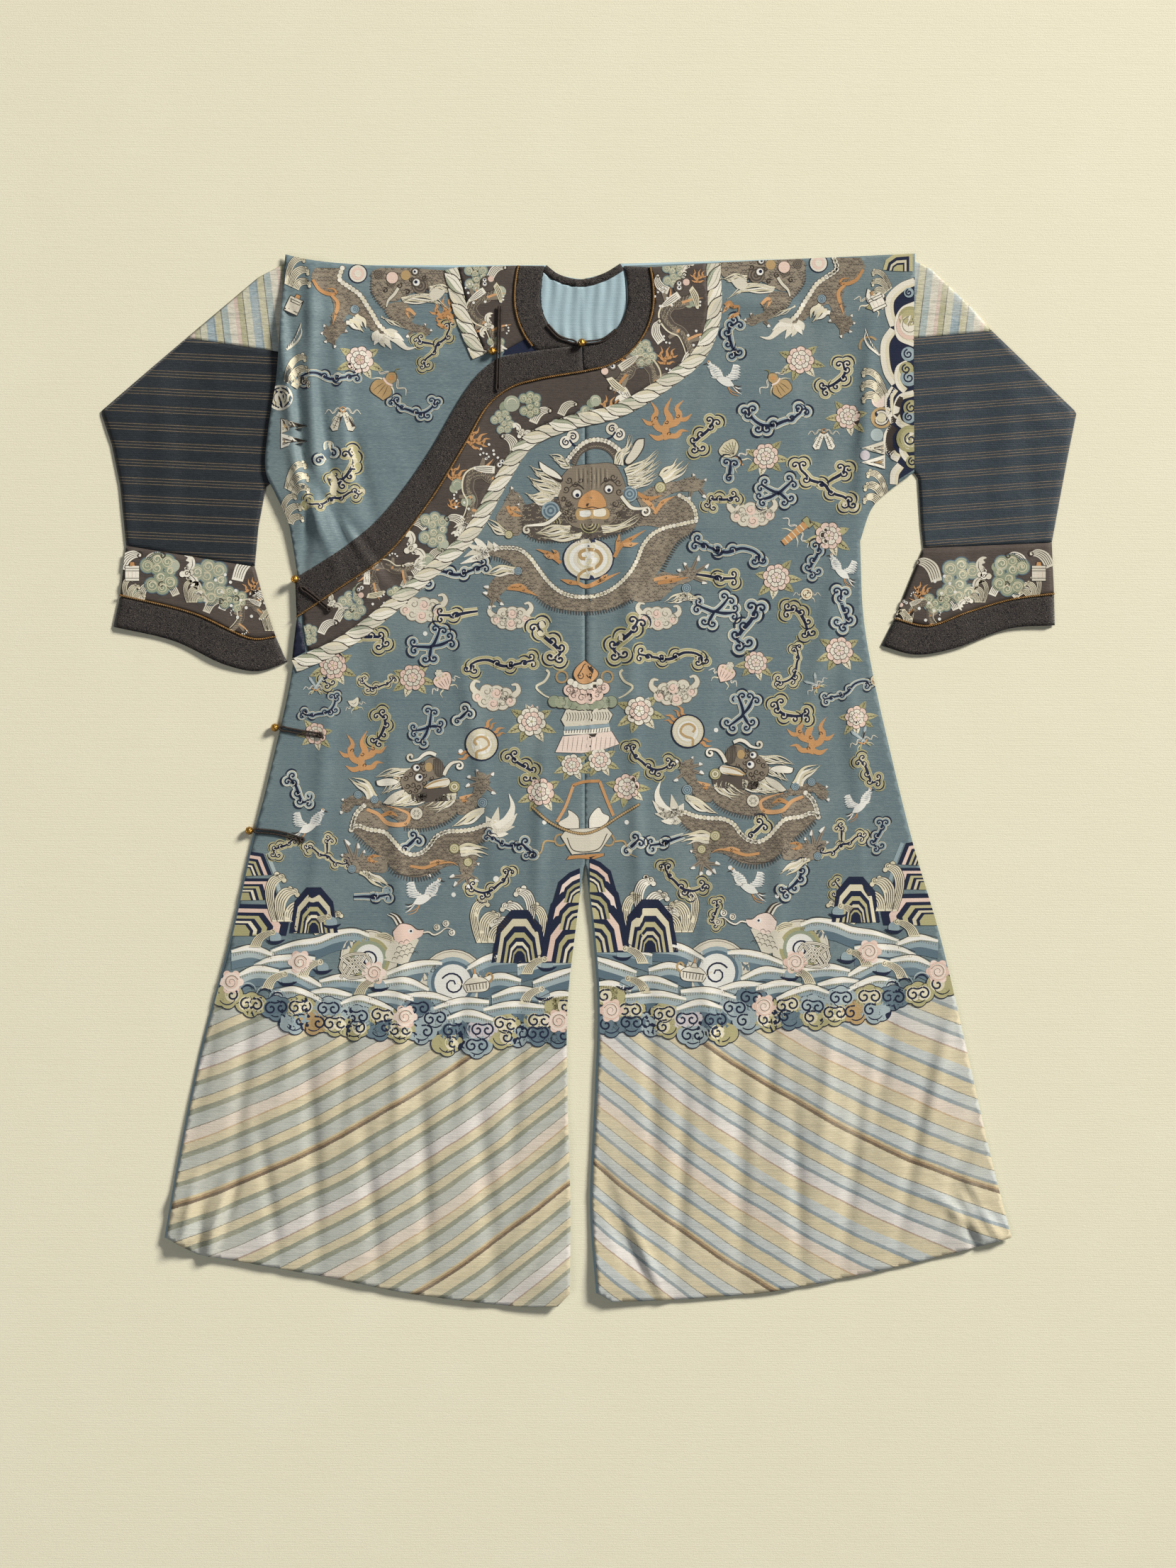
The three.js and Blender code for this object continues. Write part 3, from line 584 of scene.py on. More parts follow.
def striped_ground(name):
    """The blue ground above, and the stripes below, both with uneven dye."""
    material, tree, shader = silk(name, depth=0.3)
    ground = add(tree, "ShaderNodeGroup", node_tree=DYE)
    for key, value in (("Colour", (102, 118, 122)), ("Dark skein", (86, 104, 112)),
                       ("Pale shade", (134, 146, 142))):
        ground.inputs[key].default_value = rgb(*value)
    stripes = add(tree, "ShaderNodeGroup", node_tree=STRIPES)
    dye = add(tree, "ShaderNodeGroup", node_tree=DYE)
    tree.links.new(stripes.outputs["Colour"], dye.inputs["Colour"])
    for key, shade, share in (("Dark skein", rgb(110, 112, 100), 0.45), ("Pale shade", rgb(216, 208, 184), 0.5)):
        mix = add(tree, "ShaderNodeMix", {"Factor": share}, data_type="RGBA")
        tree.links.new(stripes.outputs["Colour"], mix.inputs["A"])
        mix.inputs["B"].default_value = shade
        tree.links.new(mix.outputs["Result"], dye.inputs[key])
    both = add(tree, "ShaderNodeMix", {"Factor": stripes.outputs["Mask"]}, data_type="RGBA")
    tree.links.new(ground.outputs["Colour"], both.inputs["A"])
    tree.links.new(dye.outputs["Colour"], both.inputs["B"])
    tree.links.new(both.outputs["Result"], shader.inputs["Base Color"])
    return material


GROUND = striped_ground("slate blue ground and stripes")

# %% [markdown]
# ## Camera, floor and light
#
# The photograph looks straight down from far away, so the camera hangs six metres over the middle
# of the picture with a long lens. One wide soft lamp at the upper right rakes across the cloth and
# shows its creases, and a pale sky fills the shadows.

# %% Camera, floor and light
PHOTO_MIDDLE = spot(829.5, 1106)
CAMERA_HEIGHT = 6.0
PHOTO_HEIGHT = 2212 * PIXEL / 1000
camera_data = bpy.data.cameras.new("overhead")
camera_data.sensor_fit = "VERTICAL"
camera_data.sensor_height = 36
camera_data.lens = 36 * CAMERA_HEIGHT / PHOTO_HEIGHT
camera = bpy.data.objects.new("overhead", camera_data)
camera.location = [*((np.array(PHOTO_MIDDLE) - PLAN_TO_FRAME) / 1000), CAMERA_HEIGHT]
bpy.context.scene.collection.objects.link(camera)
bpy.context.scene.camera = camera


def soft_lamp(name, place, size, power, colour):
    """A square soft lamp that faces the robe."""
    data = bpy.data.lights.new(name, "AREA")
    data.size, data.energy, data.color = size, power, colour
    lamp = bpy.data.objects.new(name, data)
    lamp.location = place
    lamp.rotation_euler = (-lamp.location).to_track_quat("-Z", "Y").to_euler()
    bpy.context.scene.collection.objects.link(lamp)


soft_lamp("key", (12.6, 10.8, 9.0), 4.4, 5900, (1.0, 0.975, 0.93))
soft_lamp("fill", (-2.4, -1.8, 3.8), 3.0, 40, (0.94, 0.97, 1.0))
world = bpy.data.worlds.new("studio")
world.use_nodes = True
world.node_tree.nodes["Background"].inputs["Color"].default_value = (0.93, 0.96, 1.0, 1.0)
world.node_tree.nodes["Background"].inputs["Strength"].default_value = 0.12
bpy.context.scene.world = world
# The plain transform shows each dyed colour as it is, as the photograph does.
bpy.context.scene.view_settings.view_transform = "Standard"

floor_mesh = bpy.data.meshes.new("floor")
floor_corners = [(-5, -5, -0.0004), (5, -5, -0.0004), (5, 5, -0.0004), (-5, 5, -0.0004)]
floor_mesh.from_pydata(floor_corners, [], [(0, 1, 2, 3)])
floor = bpy.data.objects.new("floor", floor_mesh)
bpy.context.scene.collection.objects.link(floor)
floor_finish = dyed_silk("pale floor", (228, 222, 196), (222, 215, 188), (232, 227, 204), amount=0.5,
                         sheen=0.0)
floor_mesh.materials.append(floor_finish)
floor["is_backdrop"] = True
print("camera", [round(v, 4) for v in camera.location], "lens", round(camera_data.lens, 1))

# %% [markdown]
# ## Cutting and laying cloth
#
# A maker cuts each panel flat and lays it on the last one. drape() does the same: it fills a plan
# outline with small triangles, lifts each point to the height of that layer, and closes the
# sheet with a lining below and a thin rim. The map of the upper side is the plan itself.


# %% A laid sheet
def turned_left(outline):
    """The outline with its inside on the left, as the filling needs it."""
    x, y = outline.T
    return outline if np.dot(x, np.roll(y, -1)) > np.dot(y, np.roll(x, -1)) else outline[::-1]


def filled(outline, grid, within=None):
    """Plan points and triangles that fill an outline, and only the part that is also within another."""
    outline = turned_left(outline)
    low, high = outline.min(0), outline.max(0)
    gx, gy = np.meshgrid(np.arange(low[0] + grid / 2, high[0], grid),
                         np.arange(low[1] + grid / 2, high[1], grid))
    gx[1::2] += grid / 2
    points = np.column_stack([gx.ravel(), gy.ravel()])
    if len(points):
        points = points[inside(points[:, 0], points[:, 1], outline)]
    clear = np.ones(len(points), bool)
    for start in range(0, len(points), 2000):
        part = points[start : start + 2000]
        away = np.hypot(part[:, None, 0] - outline[None, :, 0], part[:, None, 1] - outline[None, :, 1])
        clear[start : start + 2000] = away.min(1) > 0.55 * grid
    points = points[clear]
    count = len(outline)
    faces = [list(range(count))]
    everything = [outline]
    if within is not None:
        faces.append(list(range(count, count + len(within))))
        everything.append(turned_left(within))
    everything = np.vstack(everything + [points])
    corners, _, triangles, _, _, owners = delaunay_2d_cdt(everything.tolist(), [], faces, 0, 1e-4, True)
    triangles = [t for t, owner in zip(triangles, owners) if len(set(owner)) == len(faces)]
    return np.array([tuple(c) for c in corners]).reshape(-1, 2), [list(t) for t in triangles]


def to_frame(points):
    """Plan millimetres with heights, as metres in the part's frame."""
    moved = np.array(points, float)
    moved[:, :2] -= PLAN_TO_FRAME
    return moved / 1000


def show(name, points, faces, materials, which=None):
    """A smooth mesh object out of plan points with heights."""
    mesh = bpy.data.meshes.new(name)
    mesh.from_pydata(to_frame(points).tolist(), [], faces)
    for material in materials:
        mesh.materials.append(material)
    if which is not None:
        mesh.polygons.foreach_set("material_index", which)
    mesh.polygons.foreach_set("use_smooth", [True] * len(faces))
    made = bpy.data.objects.new(name, mesh)
    bpy.context.scene.collection.objects.link(made)
    return made


def used_only(points, faces):
    """The points that the faces use, the faces renumbered to them, and the numbers those points had."""
    kept = np.unique([corner for face in faces for corner in face])
    place = np.zeros(len(points), int)
    place[kept] = np.arange(len(kept))
    return points[kept], [place[face].tolist() for face in faces], kept


def open_edges(triangles):
    """The edges that only one triangle has, in its own direction."""
    edges = {(a, b) for t in triangles for a, b in zip(t, t[1:] + t[:1])}
    return sorted((a, b) for a, b in edges if (b, a) not in edges)


PIECES = {}


def register(piece, name):
    """The piece rides with the robe and stands for the measured part of that name."""
    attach(piece, "root")
    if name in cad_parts:
        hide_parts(name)
    PIECES[name] = piece
    return piece


def drape(name, outline, top, face, lining=None, grid=5.0, thickness=1.0, within=None, good="top"):
    """A closed sheet of cloth whose upper side is at the height top gives.

    Its good side gets most of the map.
    """
    plan, triangles, _ = used_only(*filled(outline, grid, within))
    count = len(plan)
    upper = np.column_stack([plan, top(plan[:, 0], plan[:, 1])])
    lower = upper - [0, 0, thickness]
    rim = [[a + count, b + count, b, a] for a, b in open_edges(triangles)]
    under = [[a + count for a in reversed(t)] for t in triangles]
    faces = triangles + under + rim
    which = [0] * len(triangles) + [1 if lining else 0] * len(under) + [0] * len(rim)
    piece = show(name + "_cloth", np.vstack([upper, lower]), faces, [face] + ([lining] if lining else []),
                 which)
    low, size = plan.min(0), (plan.max(0) - plan.min(0)).max()
    flat_map = (plan - low) / size * 0.94
    corner_map = 0.95 + flat_map * 0.05
    tucked_map = flat_map * 0.997 + 0.001
    if good == "underside":
        flat_map, corner_map = corner_map, flat_map
    spread = [flat_map[np.ravel(triangles)], corner_map[np.ravel(under) - count]]
    for a, b in open_edges(triangles):
        spread.append([tucked_map[a], tucked_map[b], flat_map[b], flat_map[a]])
    layer = piece.data.uv_layers.new(name="OFBake")
    layer.data.foreach_set("uv", np.vstack(spread).ravel())
    return register(piece, name)


def cut_size(outline):
    """Area of a plan outline, and the rectangle that has the same area and the same edge length."""
    x, y = outline.T
    area = abs(np.dot(x, np.roll(y, -1)) - np.dot(y, np.roll(x, -1))) / 2
    edge = np.hypot(*(np.roll(outline, -1, axis=0) - outline).T).sum()
    length = (edge / 2 + math.sqrt(max(edge**2 / 4 - 4 * area, 0))) / 2
    return area, area / length, length


CUTS = []


def declare(name, outline, panel=False):
    """Says how the sheet was cut: a panel by its bounding rectangle, a strip by its own width and length."""
    area, width, length = cut_size(outline)
    if panel:
        width, length = outline.max(0) - outline.min(0)
    CUTS.append((name, round(width), round(length), round(area / 1e6, 4)))


# %% [markdown]
# ## The body panels
#
# Two back pieces, the under front, and the two upper fronts are cut in ground silk. The outlines
# repeat the measured ones, so that each panel stays where its solid is. The lining shows at the
# left skirt edge and in the slit, where the back stands a little proud.

# %% Outlines of the body
SEAM, SLIT_TOP = 0.03, 588
BODY_SIDES = table("""
y left right
1018 -389 366
922 -382 370
846 -389 382
734 -413 407
617 -441 436
490 -469 473
339 -509 508
190 -539 542
92 -556 567
""")
HEM = table("""
out left right
36 1 7
80 0 8
160 8 12
240 19 19
330 37 35
440 57 59
515 70 78
""")
SLIT = table("""
y left right
588 -1 1
503 -12 13
401 -23 20
277 -23 16
130 -19 10
18 -20 18
""")
SHOULDER_LEFT = [(-54, 1383), (-95, 1381), (-176, 1382), (-293, 1385), (-368, 1392), (-398, 1399)]
SHOULDER_RIGHT = [(51, 1384), (166, 1388), (300, 1394), (439, 1400)]
LEFT_FOLD = [(-398, 1399), (-403, 1333), (-407, 1270), (-411, 1226), (-421, 1165), (-424, 1110)]
LEFT_FOLD += [(-411, 1080), (-395, 1046)]
RIGHT_FOLD = [(439, 1400), (437, 1260), (438, 1110)]
RIGHT_UNDERARM = [(438, 1110), (405, 1085), (382, 1062), (366, 1018)]
BACK_NECK = [(-51, 1385), (-35, 1373), (-5, 1366), (25, 1374), (47, 1387)]
OVERLAP_EDGE = [(-4.2, 1278), (-69, 1270), (-112, 1262), (-136, 1246), (-160, 1216), (-211, 1130)]
OVERLAP_EDGE += [(-271, 1051), (-325, 1006), (-385, 969)]
BINDING_EDGE = [(-2.2, 1243), (-61, 1233), (-98, 1222), (-128, 1199), (-158, 1149), (-207, 1070)]
BINDING_EDGE += [(-263, 1000), (-325, 956), (-383, 917)]
ROPE_PATH = [(171, 1387), (171, 1312), (152, 1266), (110, 1230), (46, 1192), (-25, 1173), (-77, 1148)]
ROPE_PATH += [(-110, 1100), (-154, 1025), (-216, 968), (-270, 920), (-325, 880), (-386, 852)]
UNDER_ROPE_PATH = [(-178, 1380), (-163, 1318), (-141, 1263)]
ROPE_WIDTH = 19


def neck_arc(start, end, grow=0.0):
    """Part of the neckline, from one angle to another, grown outwards."""
    turn = np.radians(np.linspace(start, end, max(3, int(abs(end - start) / 4))))
    reach = np.where(np.sin(turn) > 0, 95, 63)
    return np.column_stack([-1 + (58.5 + grow) * np.cos(turn), 1342 + (reach + grow) * np.sin(turn)])


def side_line(rows, key):
    return [(getattr(row, key), row.y) for row in rows]


def hem_line(key, side):
    return [(side * row.out, getattr(row, key)) for row in HEM]


OUTLINES = {
    "overlap_front": closed(
        [(-SEAM, 1278)],
        smooth(OVERLAP_EDGE),
        smooth(side_line(BODY_SIDES[1:], "left")),
        smooth(hem_line("left", -1)[::-1]),
        smooth(side_line(SLIT[::-1], "left"))[:-1],
        [(-SEAM, SLIT_TOP)],
    ),
    "right_front": closed(
        [(SEAM, SLIT_TOP)],
        smooth(side_line(SLIT, "right"))[1:],
        smooth(hem_line("right", 1)),
        smooth(side_line(BODY_SIDES[::-1], "right")),
        smooth(RIGHT_UNDERARM[::-1])[1:],
        smooth(RIGHT_FOLD[::-1])[1:],
        smooth(SHOULDER_RIGHT[::-1])[1:-1],
        neck_arc(26, -89),
    ),
    "under_front": closed(
        smooth(SHOULDER_LEFT)[1:],
        smooth(LEFT_FOLD + [(-389, 1018)])[1:],
        smooth([(row.left + 8, row.y) for row in BODY_SIDES[1:]]),
        [(x, y + 8) for x, y in hem_line("left", -1)[::-1]],
        [(-39, 18), (-39, SLIT_TOP), (-8, SLIT_TOP + 60)],
        neck_arc(-97, -206),
    ),
    "back_left": closed(
        [(-SEAM, 1366)],
        smooth(BACK_NECK[:3][::-1])[1:],
        [(-293, 1385), (-349.7, 1390), (-349.7, 1128), (-400, 1092)],
        smooth([(row.left + (3 if row.y > 640 else -3), row.y) for row in BODY_SIDES]),
        hem_line("left", -1)[::-1],
        smooth([(x - 3, y) for x, y in side_line(SLIT[::-1], "left")])[:-1],
        [(-SEAM, SLIT_TOP)],
    ),
    "back_right": closed(
        [(SEAM, SLIT_TOP)],
        smooth([(row.right - (3 if row.y < 540 else 0), row.y) for row in SLIT])[1:],
        hem_line("right", 1),
        smooth([(row.right - 3, row.y) for row in BODY_SIDES[::-1]]),
        [(399.7, 1128), (399.7, 1396), (300, 1394)],
        smooth(BACK_NECK[2:][::-1])[:-1],
        [(SEAM, 1366)],
    ),
}

# %% Shoulder silk and lining
# Painted sheen: this silk's pale shade is the colour of its sheen highlights, so the pale patches that the
# uneven dye scatters over it are painted sheen.
SATIN_WITH_PAINTED_SHEEN = dyed_silk("blue shoulder silk with painted sheen", (104, 121, 125), (80, 98, 106), (140, 154, 152), roughness=0.5,
                  depth=0.2, sheen=0.35)
LINING = dyed_silk("light blue lining", (158, 180, 186), (144, 168, 177), (178, 194, 198), amount=0.6,
                   roughness=0.5)


def back_height(x, y):
    return np.full(np.shape(x), WALL)


for name in ("back_left", "back_right"):
    drape(name, OUTLINES[name], back_height, LINING, GROUND, 24, WALL, good="underside")
drape("under_front", OUTLINES["under_front"], under_front, SATIN_WITH_PAINTED_SHEEN, LINING)
for name in ("overlap_front", "right_front"):
    drape(name, OUTLINES[name], over_front, GROUND, LINING)
print("panels:", {name: len(piece.data.polygons) for name, piece in PIECES.items()})

# %% [markdown]
# ## Weaving the figures
#
# A tapestry weaver fills each outline with its own thread. Here every patch of colour is likewise
# a small mesh of its own that follows the cloth: a filled outline, or a line of thread with its own
# width. A pen holds a place, a turn and a size, so a motif is drawn once in its own
# coordinates, upright, in millimetres, and used wherever it belongs. Patches are kept in a list,
# and weave() at last cuts them to each panel's edge and lays them on it.


# %% The pen
STEP_UP = 0.09
LIFT = 0.34
patches = []


class Pen:
    """Draws patches of thread on one cloth, around one place of it."""

    def __init__(self, place, turn=0.0, size=1.0, flip=1, cloth="front", level=0):
        self.place, self.turn, self.size, self.flip = np.array(place, float), turn, size, flip
        self.cloth, self.level = cloth, level

    def at(self, place, turn=0.0, size=1.0, flip=1, level=0):
        """A pen for a part of this motif."""
        turned = self.turn + self.flip * turn
        here = self.put([place])[0]
        return Pen(here, turned, self.size * size, self.flip * flip, self.cloth, self.level + level)

    def put(self, points):
        angle = math.radians(self.turn)
        x, y = np.asarray(points, float).T * self.size
        x = x * self.flip
        turned = np.column_stack([x * math.cos(angle) - y * math.sin(angle),
                                  x * math.sin(angle) + y * math.cos(angle)])
        return turned + self.place

    def fill(self, points, colour, level=0, shade=None):
        """A closed patch."""
        patches.append((self.put(points), colour, self.level + level, self.cloth, shade, False))

    def line(self, points, width, colour, level=0, ends=(1.0, 1.0), shade=None, step=2.6):
        """A thread along a smooth line, whose ends may taper."""
        path = smooth(self.put(points), step)
        t = np.linspace(0, 1, len(path))
        across = width * self.size / 2 * np.interp(t, [0, 0.5, 1], [ends[0], 1, ends[1]])
        sides = np.vstack([offset(path, across), offset(path, -across)[::-1]])
        patches.append((sides, colour, self.level + level, self.cloth, shade, True))

    def disc(self, x, y, radius, colour, level=0, shade=None, tall=1.0):
        turn = np.radians(np.arange(0, 360, 30 if radius * self.size < 3 else 15))
        ring = np.column_stack([x + radius * np.cos(turn), y + radius * tall * np.sin(turn)])
        self.fill(ring, colour, level, shade)

    def arc(self, x, y, radius, start, end, width, colour, level=0, ends=(0.3, 0.3), shade=None):
        turn = np.radians(np.linspace(start, end, 9))
        self.line(np.column_stack([x + radius * np.cos(turn), y + radius * np.sin(turn)]), width, colour,
                  level, ends, shade)

    def curl(self, x, y, radius, start, turns, width, colour, level=0, ends=(1.0, 0.8), shade=None):
        """A spiral from its open end in to its middle. Negative turns run clockwise."""
        t = np.linspace(0, 1, int(9 * abs(turns)) + 4)
        angle = math.radians(start) + math.tau * turns * t
        reach = radius * (1 - 0.78 * t)
        path = np.column_stack([x + reach * np.cos(angle), y + reach * np.sin(angle)])
        self.line(path, width, colour, level, ends, shade, step=max(0.8, radius * self.size / 3))

    def combed(self, first, second, colour, lines, level=0, shade=None, width=0.8, ink="line"):
        """A patch between two smooth lines that meet at a tip, with thin lines running along it."""
        first, second = smooth(first, 3), smooth(second, 3)
        count = max(len(first), len(second))
        first, second = [respace(side,
                                 np.hypot(*np.diff(side,
                        axis=0).T).sum() / (count - 1)) for side in (first, second)]
        count = min(len(first), len(second))
        first, second = first[:count], second[:count]
        self.fill(np.vstack([first, second[::-1]]), colour, level, shade)
        for k in range(1, lines + 1):
            share = k / (lines + 1)
            path = first * (1 - share) + second * share
            self.line(path[1:-1], width / self.size**0.5, ink, level + 1, (0.7, 0.5))


# %% Weaving the patches into the panels
CLOTHS = {
    "front": (over_front, {name: OUTLINES[name] for name in ("overlap_front", "right_front")}),
    "shoulder": (under_front, {"under_front": OUTLINES["under_front"]}),
}


def meshed(sides, outline, ribbon):
    """Points and faces of one patch, cut to the panel where it crosses the edge."""
    safe = inside(sides[:, 0], sides[:, 1], outline)
    if not safe.any():
        return None
    if safe.all() and ribbon:
        half = len(sides) // 2
        faces = [[k, len(sides) - 1 - k, len(sides) - 2 - k, k + 1] for k in range(half - 1)]
        return sides, faces
    low, high = sides.min(0), sides.max(0)
    grid = 6.0 if (high - low).max() > 12 else 99.0
    return filled(sides, grid, None if safe.all() else outline)


def weave(title, slot="tapestry_silk"):
    """Turns the kept patches into one object for each panel, and empties the list."""
    drawn = 0
    for cloth, (top, panels) in CLOTHS.items():
        for name, outline in panels.items():
            points, steps, faces, which, names, start = [], [], [], [], [], 0
            low, high = outline.min(0), outline.max(0)
            for number, (sides, colour, level, own, shade, ribbon) in enumerate(patches):
                if own != cloth or (sides.max(0) < low).any() or (sides.min(0) > high).any():
                    continue
                made = meshed(sides, outline, ribbon)
                if made is None or not len(made[1]):
                    continue
                plan, patch_faces = made
                key = (colour, (number if shade is None else int(shade)) % len(THREADS[colour]))
                if key not in names:
                    names.append(key)
                points.append(plan)
                steps += [level] * len(plan)
                faces += [[a + start for a in face] for face in patch_faces]
                which += [names.index(key)] * len(patch_faces)
                start += len(plan)
            if faces:
                finish = [THREADS[colour][shade] for colour, shade in names]
                points, faces, kept = used_only(np.vstack(points), faces)
                height = top(points[:, 0], points[:, 1]) + LIFT + STEP_UP * np.array(steps)[kept]
                made = show(f"{name}_{title}", np.column_stack([points, height]), faces, finish, which)
                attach(made, "root")
                slope = [(top(points[:, 0] + a, points[:, 1] + b) - top(points[:, 0] - a,
                            points[:, 1] - b)) / 2 for a, b in ((1, 0), (0, 1))]
                normals = np.column_stack([-slope[0], -slope[1], np.ones(len(points))])
                normals /= np.linalg.norm(normals, axis=1)[:, None]
                made.data.normals_split_custom_set_from_vertices(normals.tolist())
                FIGURES.setdefault(name, []).append(made)
                drawn += len(faces)
    patches.clear()
    print("woven", title, "faces:", drawn)


FIGURES = {}

# %% [markdown]
# ## Collar, binding and brown border
#
# A brocade band edges the neck and the slanting overlap. Below it lies a brown tapestry border,
# and then a twisted rope drawn in thread. Each is a strip of its own, laid on the fronts. The
# strips are thin sheets again, and the brocade's small scrolls are raised in its bump.


# %% Brocade
def brocade_silk():
    """Dark brown brocade: paler scrolls wander over it, woven a little proud."""
    material, tree, shader = silk("brown brocade", weft=1.4, warp=1.4, roughness=0.62, depth=0.5, sheen=0.3)
    wander = add(tree, "ShaderNodeTexNoise", {"Vector": stretched(tree, (150, 150, 150)), "Scale": 1.0,
            "Detail": 1.0})
    bands = maths(tree, "PINGPONG", maths(tree, "MULTIPLY", wander.outputs["Fac"], 9.0), 0.5)
    mask = add(tree, "ShaderNodeMapRange", {"Value": bands, "From Min": 0.2, "From Max": 0.36}, clamp=True)
    mask = mask.outputs["Result"]
    dye = add(tree, "ShaderNodeGroup", node_tree=DYE)
    for key, value in (("Colour", (29, 26, 26)), ("Dark skein", (21, 19, 20)), ("Pale shade", (42, 37, 35))):
        dye.inputs[key].default_value = rgb(*value)
    mix = add(tree, "ShaderNodeMix", {"Factor": mask, "B": rgb(72, 64, 58)}, data_type="RGBA")
    tree.links.new(dye.outputs["Colour"], mix.inputs["A"])
    tree.links.new(mix.outputs["Result"], shader.inputs["Base Color"])
    weave = [node for node in tree.nodes if node.type == "GROUP" and node.node_tree == WEAVE][0]
    bump = [node for node in tree.nodes if node.type == "BUMP"][0]
    tree.links.new(maths(tree, "ADD", weave.outputs["Height"], mask), bump.inputs["Height"])
    return material


BROCADE = brocade_silk()
BROWN = dyed_silk("brown border silk", (76, 67, 61), (62, 54, 50), (98, 88, 80), depth=0.3)
NAVY = dyed_silk("navy facing silk", (26, 30, 48), (20, 24, 40), (44, 48, 68), roughness=0.5, amount=0.6)
ROPE = dyed_silk("rope ground silk", (196, 190, 164), (178, 176, 150), (214, 208, 186))

# %% Outlines of the trim
rope_line, binding_line = smooth(ROPE_PATH), smooth(BINDING_EDGE)
under_rope_line = smooth(UNDER_ROPE_PATH)
outer_collar = neck_arc(-134, -199, 34)
collar_foot = [(x, y + GAP) for x, y in smooth(OVERLAP_EDGE) if outer_collar[0][0] < x < -5]
TRIM_PIECES = {"collar_left": (closed(neck_arc(-206, -94), collar_foot, outer_collar), on_under,
                               "brocade", BROCADE), "collar_right": (closed(neck_arc(26, -92),
            [(-1.6, 1244)], neck_arc(-86, 18, 34)), on_over, "brocade", BROCADE),
               "overlap_binding": (closed(smooth(OVERLAP_EDGE), binding_line[::-1]), on_over, "brocade",
                                   BROCADE), "overlap_border": (closed(offset(rope_line,
                -(ROPE_WIDTH / 2 + GAP))[:-8], [(-368, 872), (-374, 908)],
            offset(binding_line, GAP)[::-1][2:], neck_arc(-85, 18, 34 + GAP)), on_over, "brown_tapestry",
        BROWN), "under_border": (closed(offset(under_rope_line, ROPE_WIDTH / 2 + GAP), [(-112, 1268)],
                                        neck_arc(-146, -199, 34 + GAP)), on_under, "brown_tapestry",
                                 BROWN), "overlap_rope": (closed(offset(rope_line, ROPE_WIDTH / 2),
            offset(rope_line, -ROPE_WIDTH / 2)[::-1]), on_over, "rope_tapestry", ROPE),
               "under_rope": (closed(offset(under_rope_line, ROPE_WIDTH / 2),
                                     offset(under_rope_line, -ROPE_WIDTH / 2)[::-1]), on_under,
                              "rope_tapestry", ROPE), "side_facing": (closed([(-377, 907), (-383, 913),
                (-389, 862), (-371, 871)]), on_over, "navy_silk", NAVY)}
for name, (outline, top, slot, finish) in TRIM_PIECES.items():
    drape(name, outline, top, finish, thickness=TRIM)
    CLOTHS[name] = (top, {name: outline})
print("trim:", sorted(TRIM_PIECES))

# %% [markdown]
# ## Inside the neck
#
# The light blue lining shows inside the neckline, drawn into small upright gathers by the collar's
# stitching, with a narrow strip of brocade along the back of the neck and a navy facing where
# the under front's collar ends.


# %% Neck lining and back collar
def gathers(x, y):
    """The lining's small pleats, deepest near the collar."""
    pull = np.exp(-((1366 - y) / 34) ** 2) + np.exp(-((y - 1285) / 20) ** 2)
    pleat = np.sin(x / 2.3 + np.sin(y / 17)) + 0.6 * np.sin(x / 4.1 + 1 + y / 40)
    return LAYER + TRIM + 0.45 * (1 + pull) * (1 + 0.6 * pleat) + 0.5 * np.exp(-((x + 3) / 2) ** 2)


def back_band(x, y):
    return np.full(np.shape(x), LAYER + TRIM + 1.2)


back_neck_line = smooth(BACK_NECK, 4)
neck_hole = neck_arc(-206, 26, -0.6)
hole = closed(neck_hole, [(neck_hole[-1][0], 1400), (neck_hole[0][0], 1400)])
lining_edge = offset(back_neck_line, -10.3)
lining_cut = closed(lining_edge, [(60, 1270), (-62, 1270)])
drape("neck_lining", lining_cut, gathers, LINING, grid=2.2, thickness=TRIM, within=hole)
band_cut = closed(back_neck_line, lining_edge[::-1] + [0, 0.3])
drape("back_collar", band_cut, back_band, BROCADE, thickness=TRIM, within=hole)

# %% [markdown]
# ## The rope and its strands
#
# The rope is drawn as slanting strands that overlap like leaves, by turns ivory and pale green,
# each with a thin dark edge and soft lines along it.


# %% Rope strands
def rope(line, cloth, slant):
    """Overlapping strands along the middle line of a rope."""
    spacing, reach = 19.5, ROPE_WIDTH / 2
    path = respace(line, spacing)
    along = np.gradient(path, axis=0)
    for number, (middle, way) in enumerate(zip(path, along)):
        turn = math.degrees(math.atan2(way[1], way[0]))
        pen = Pen(middle, turn, 1.0, slant, cloth, level=2 * (number % 2))
        first = [(-17, -reach - 0.5), (-10, 3), (2, reach - 1), (17, reach + 0.5)]
        second = [(-17, -reach - 0.5), (-2, -reach + 0.6), (9, -3), (17, reach + 0.5)]
        edge = [(x - 1.3, y + 0.6) for x, y in first]
        pen.combed(edge, [(x + 1.2, y - 0.7) for x, y in second], "line", 0, shade=0)
        pen.combed(first, second, "ivory", 0, 1)
        pen.combed([(-12, -reach + 0.8), (0, -3), (8, 0.5), (14, reach - 3)],
                   [(-8, -reach + 0.4), *second[1:3], (14, reach - 3)],
                   ("moss", "cream")[(number // 2) % 2], 1, 2, width=0.6, ink="ivory")
        pen.line([(-13, -reach + 2.5), (-4, 1.5), (4, 5), (12, reach - 1)], 0.7, "moss", 3, (0.6, 0.6))


rope(rope_line, "overlap_rope", -1)
rope(under_rope_line, "under_rope", 1)
weave("strands", "rope_tapestry")

# %% [markdown]
# ## Sleeves
#
# Each sleeve lies folded down as a flat tube: the striped end of the tapestry, dark ribbed silk
# with gold lines, a brown band, and a brocade cuff that flares over the hand. A tube needs both
# its layers, so loft() runs a flattened ring of points from one end line to the other, and a
# second ring inside it makes the open mouth at the wrist.

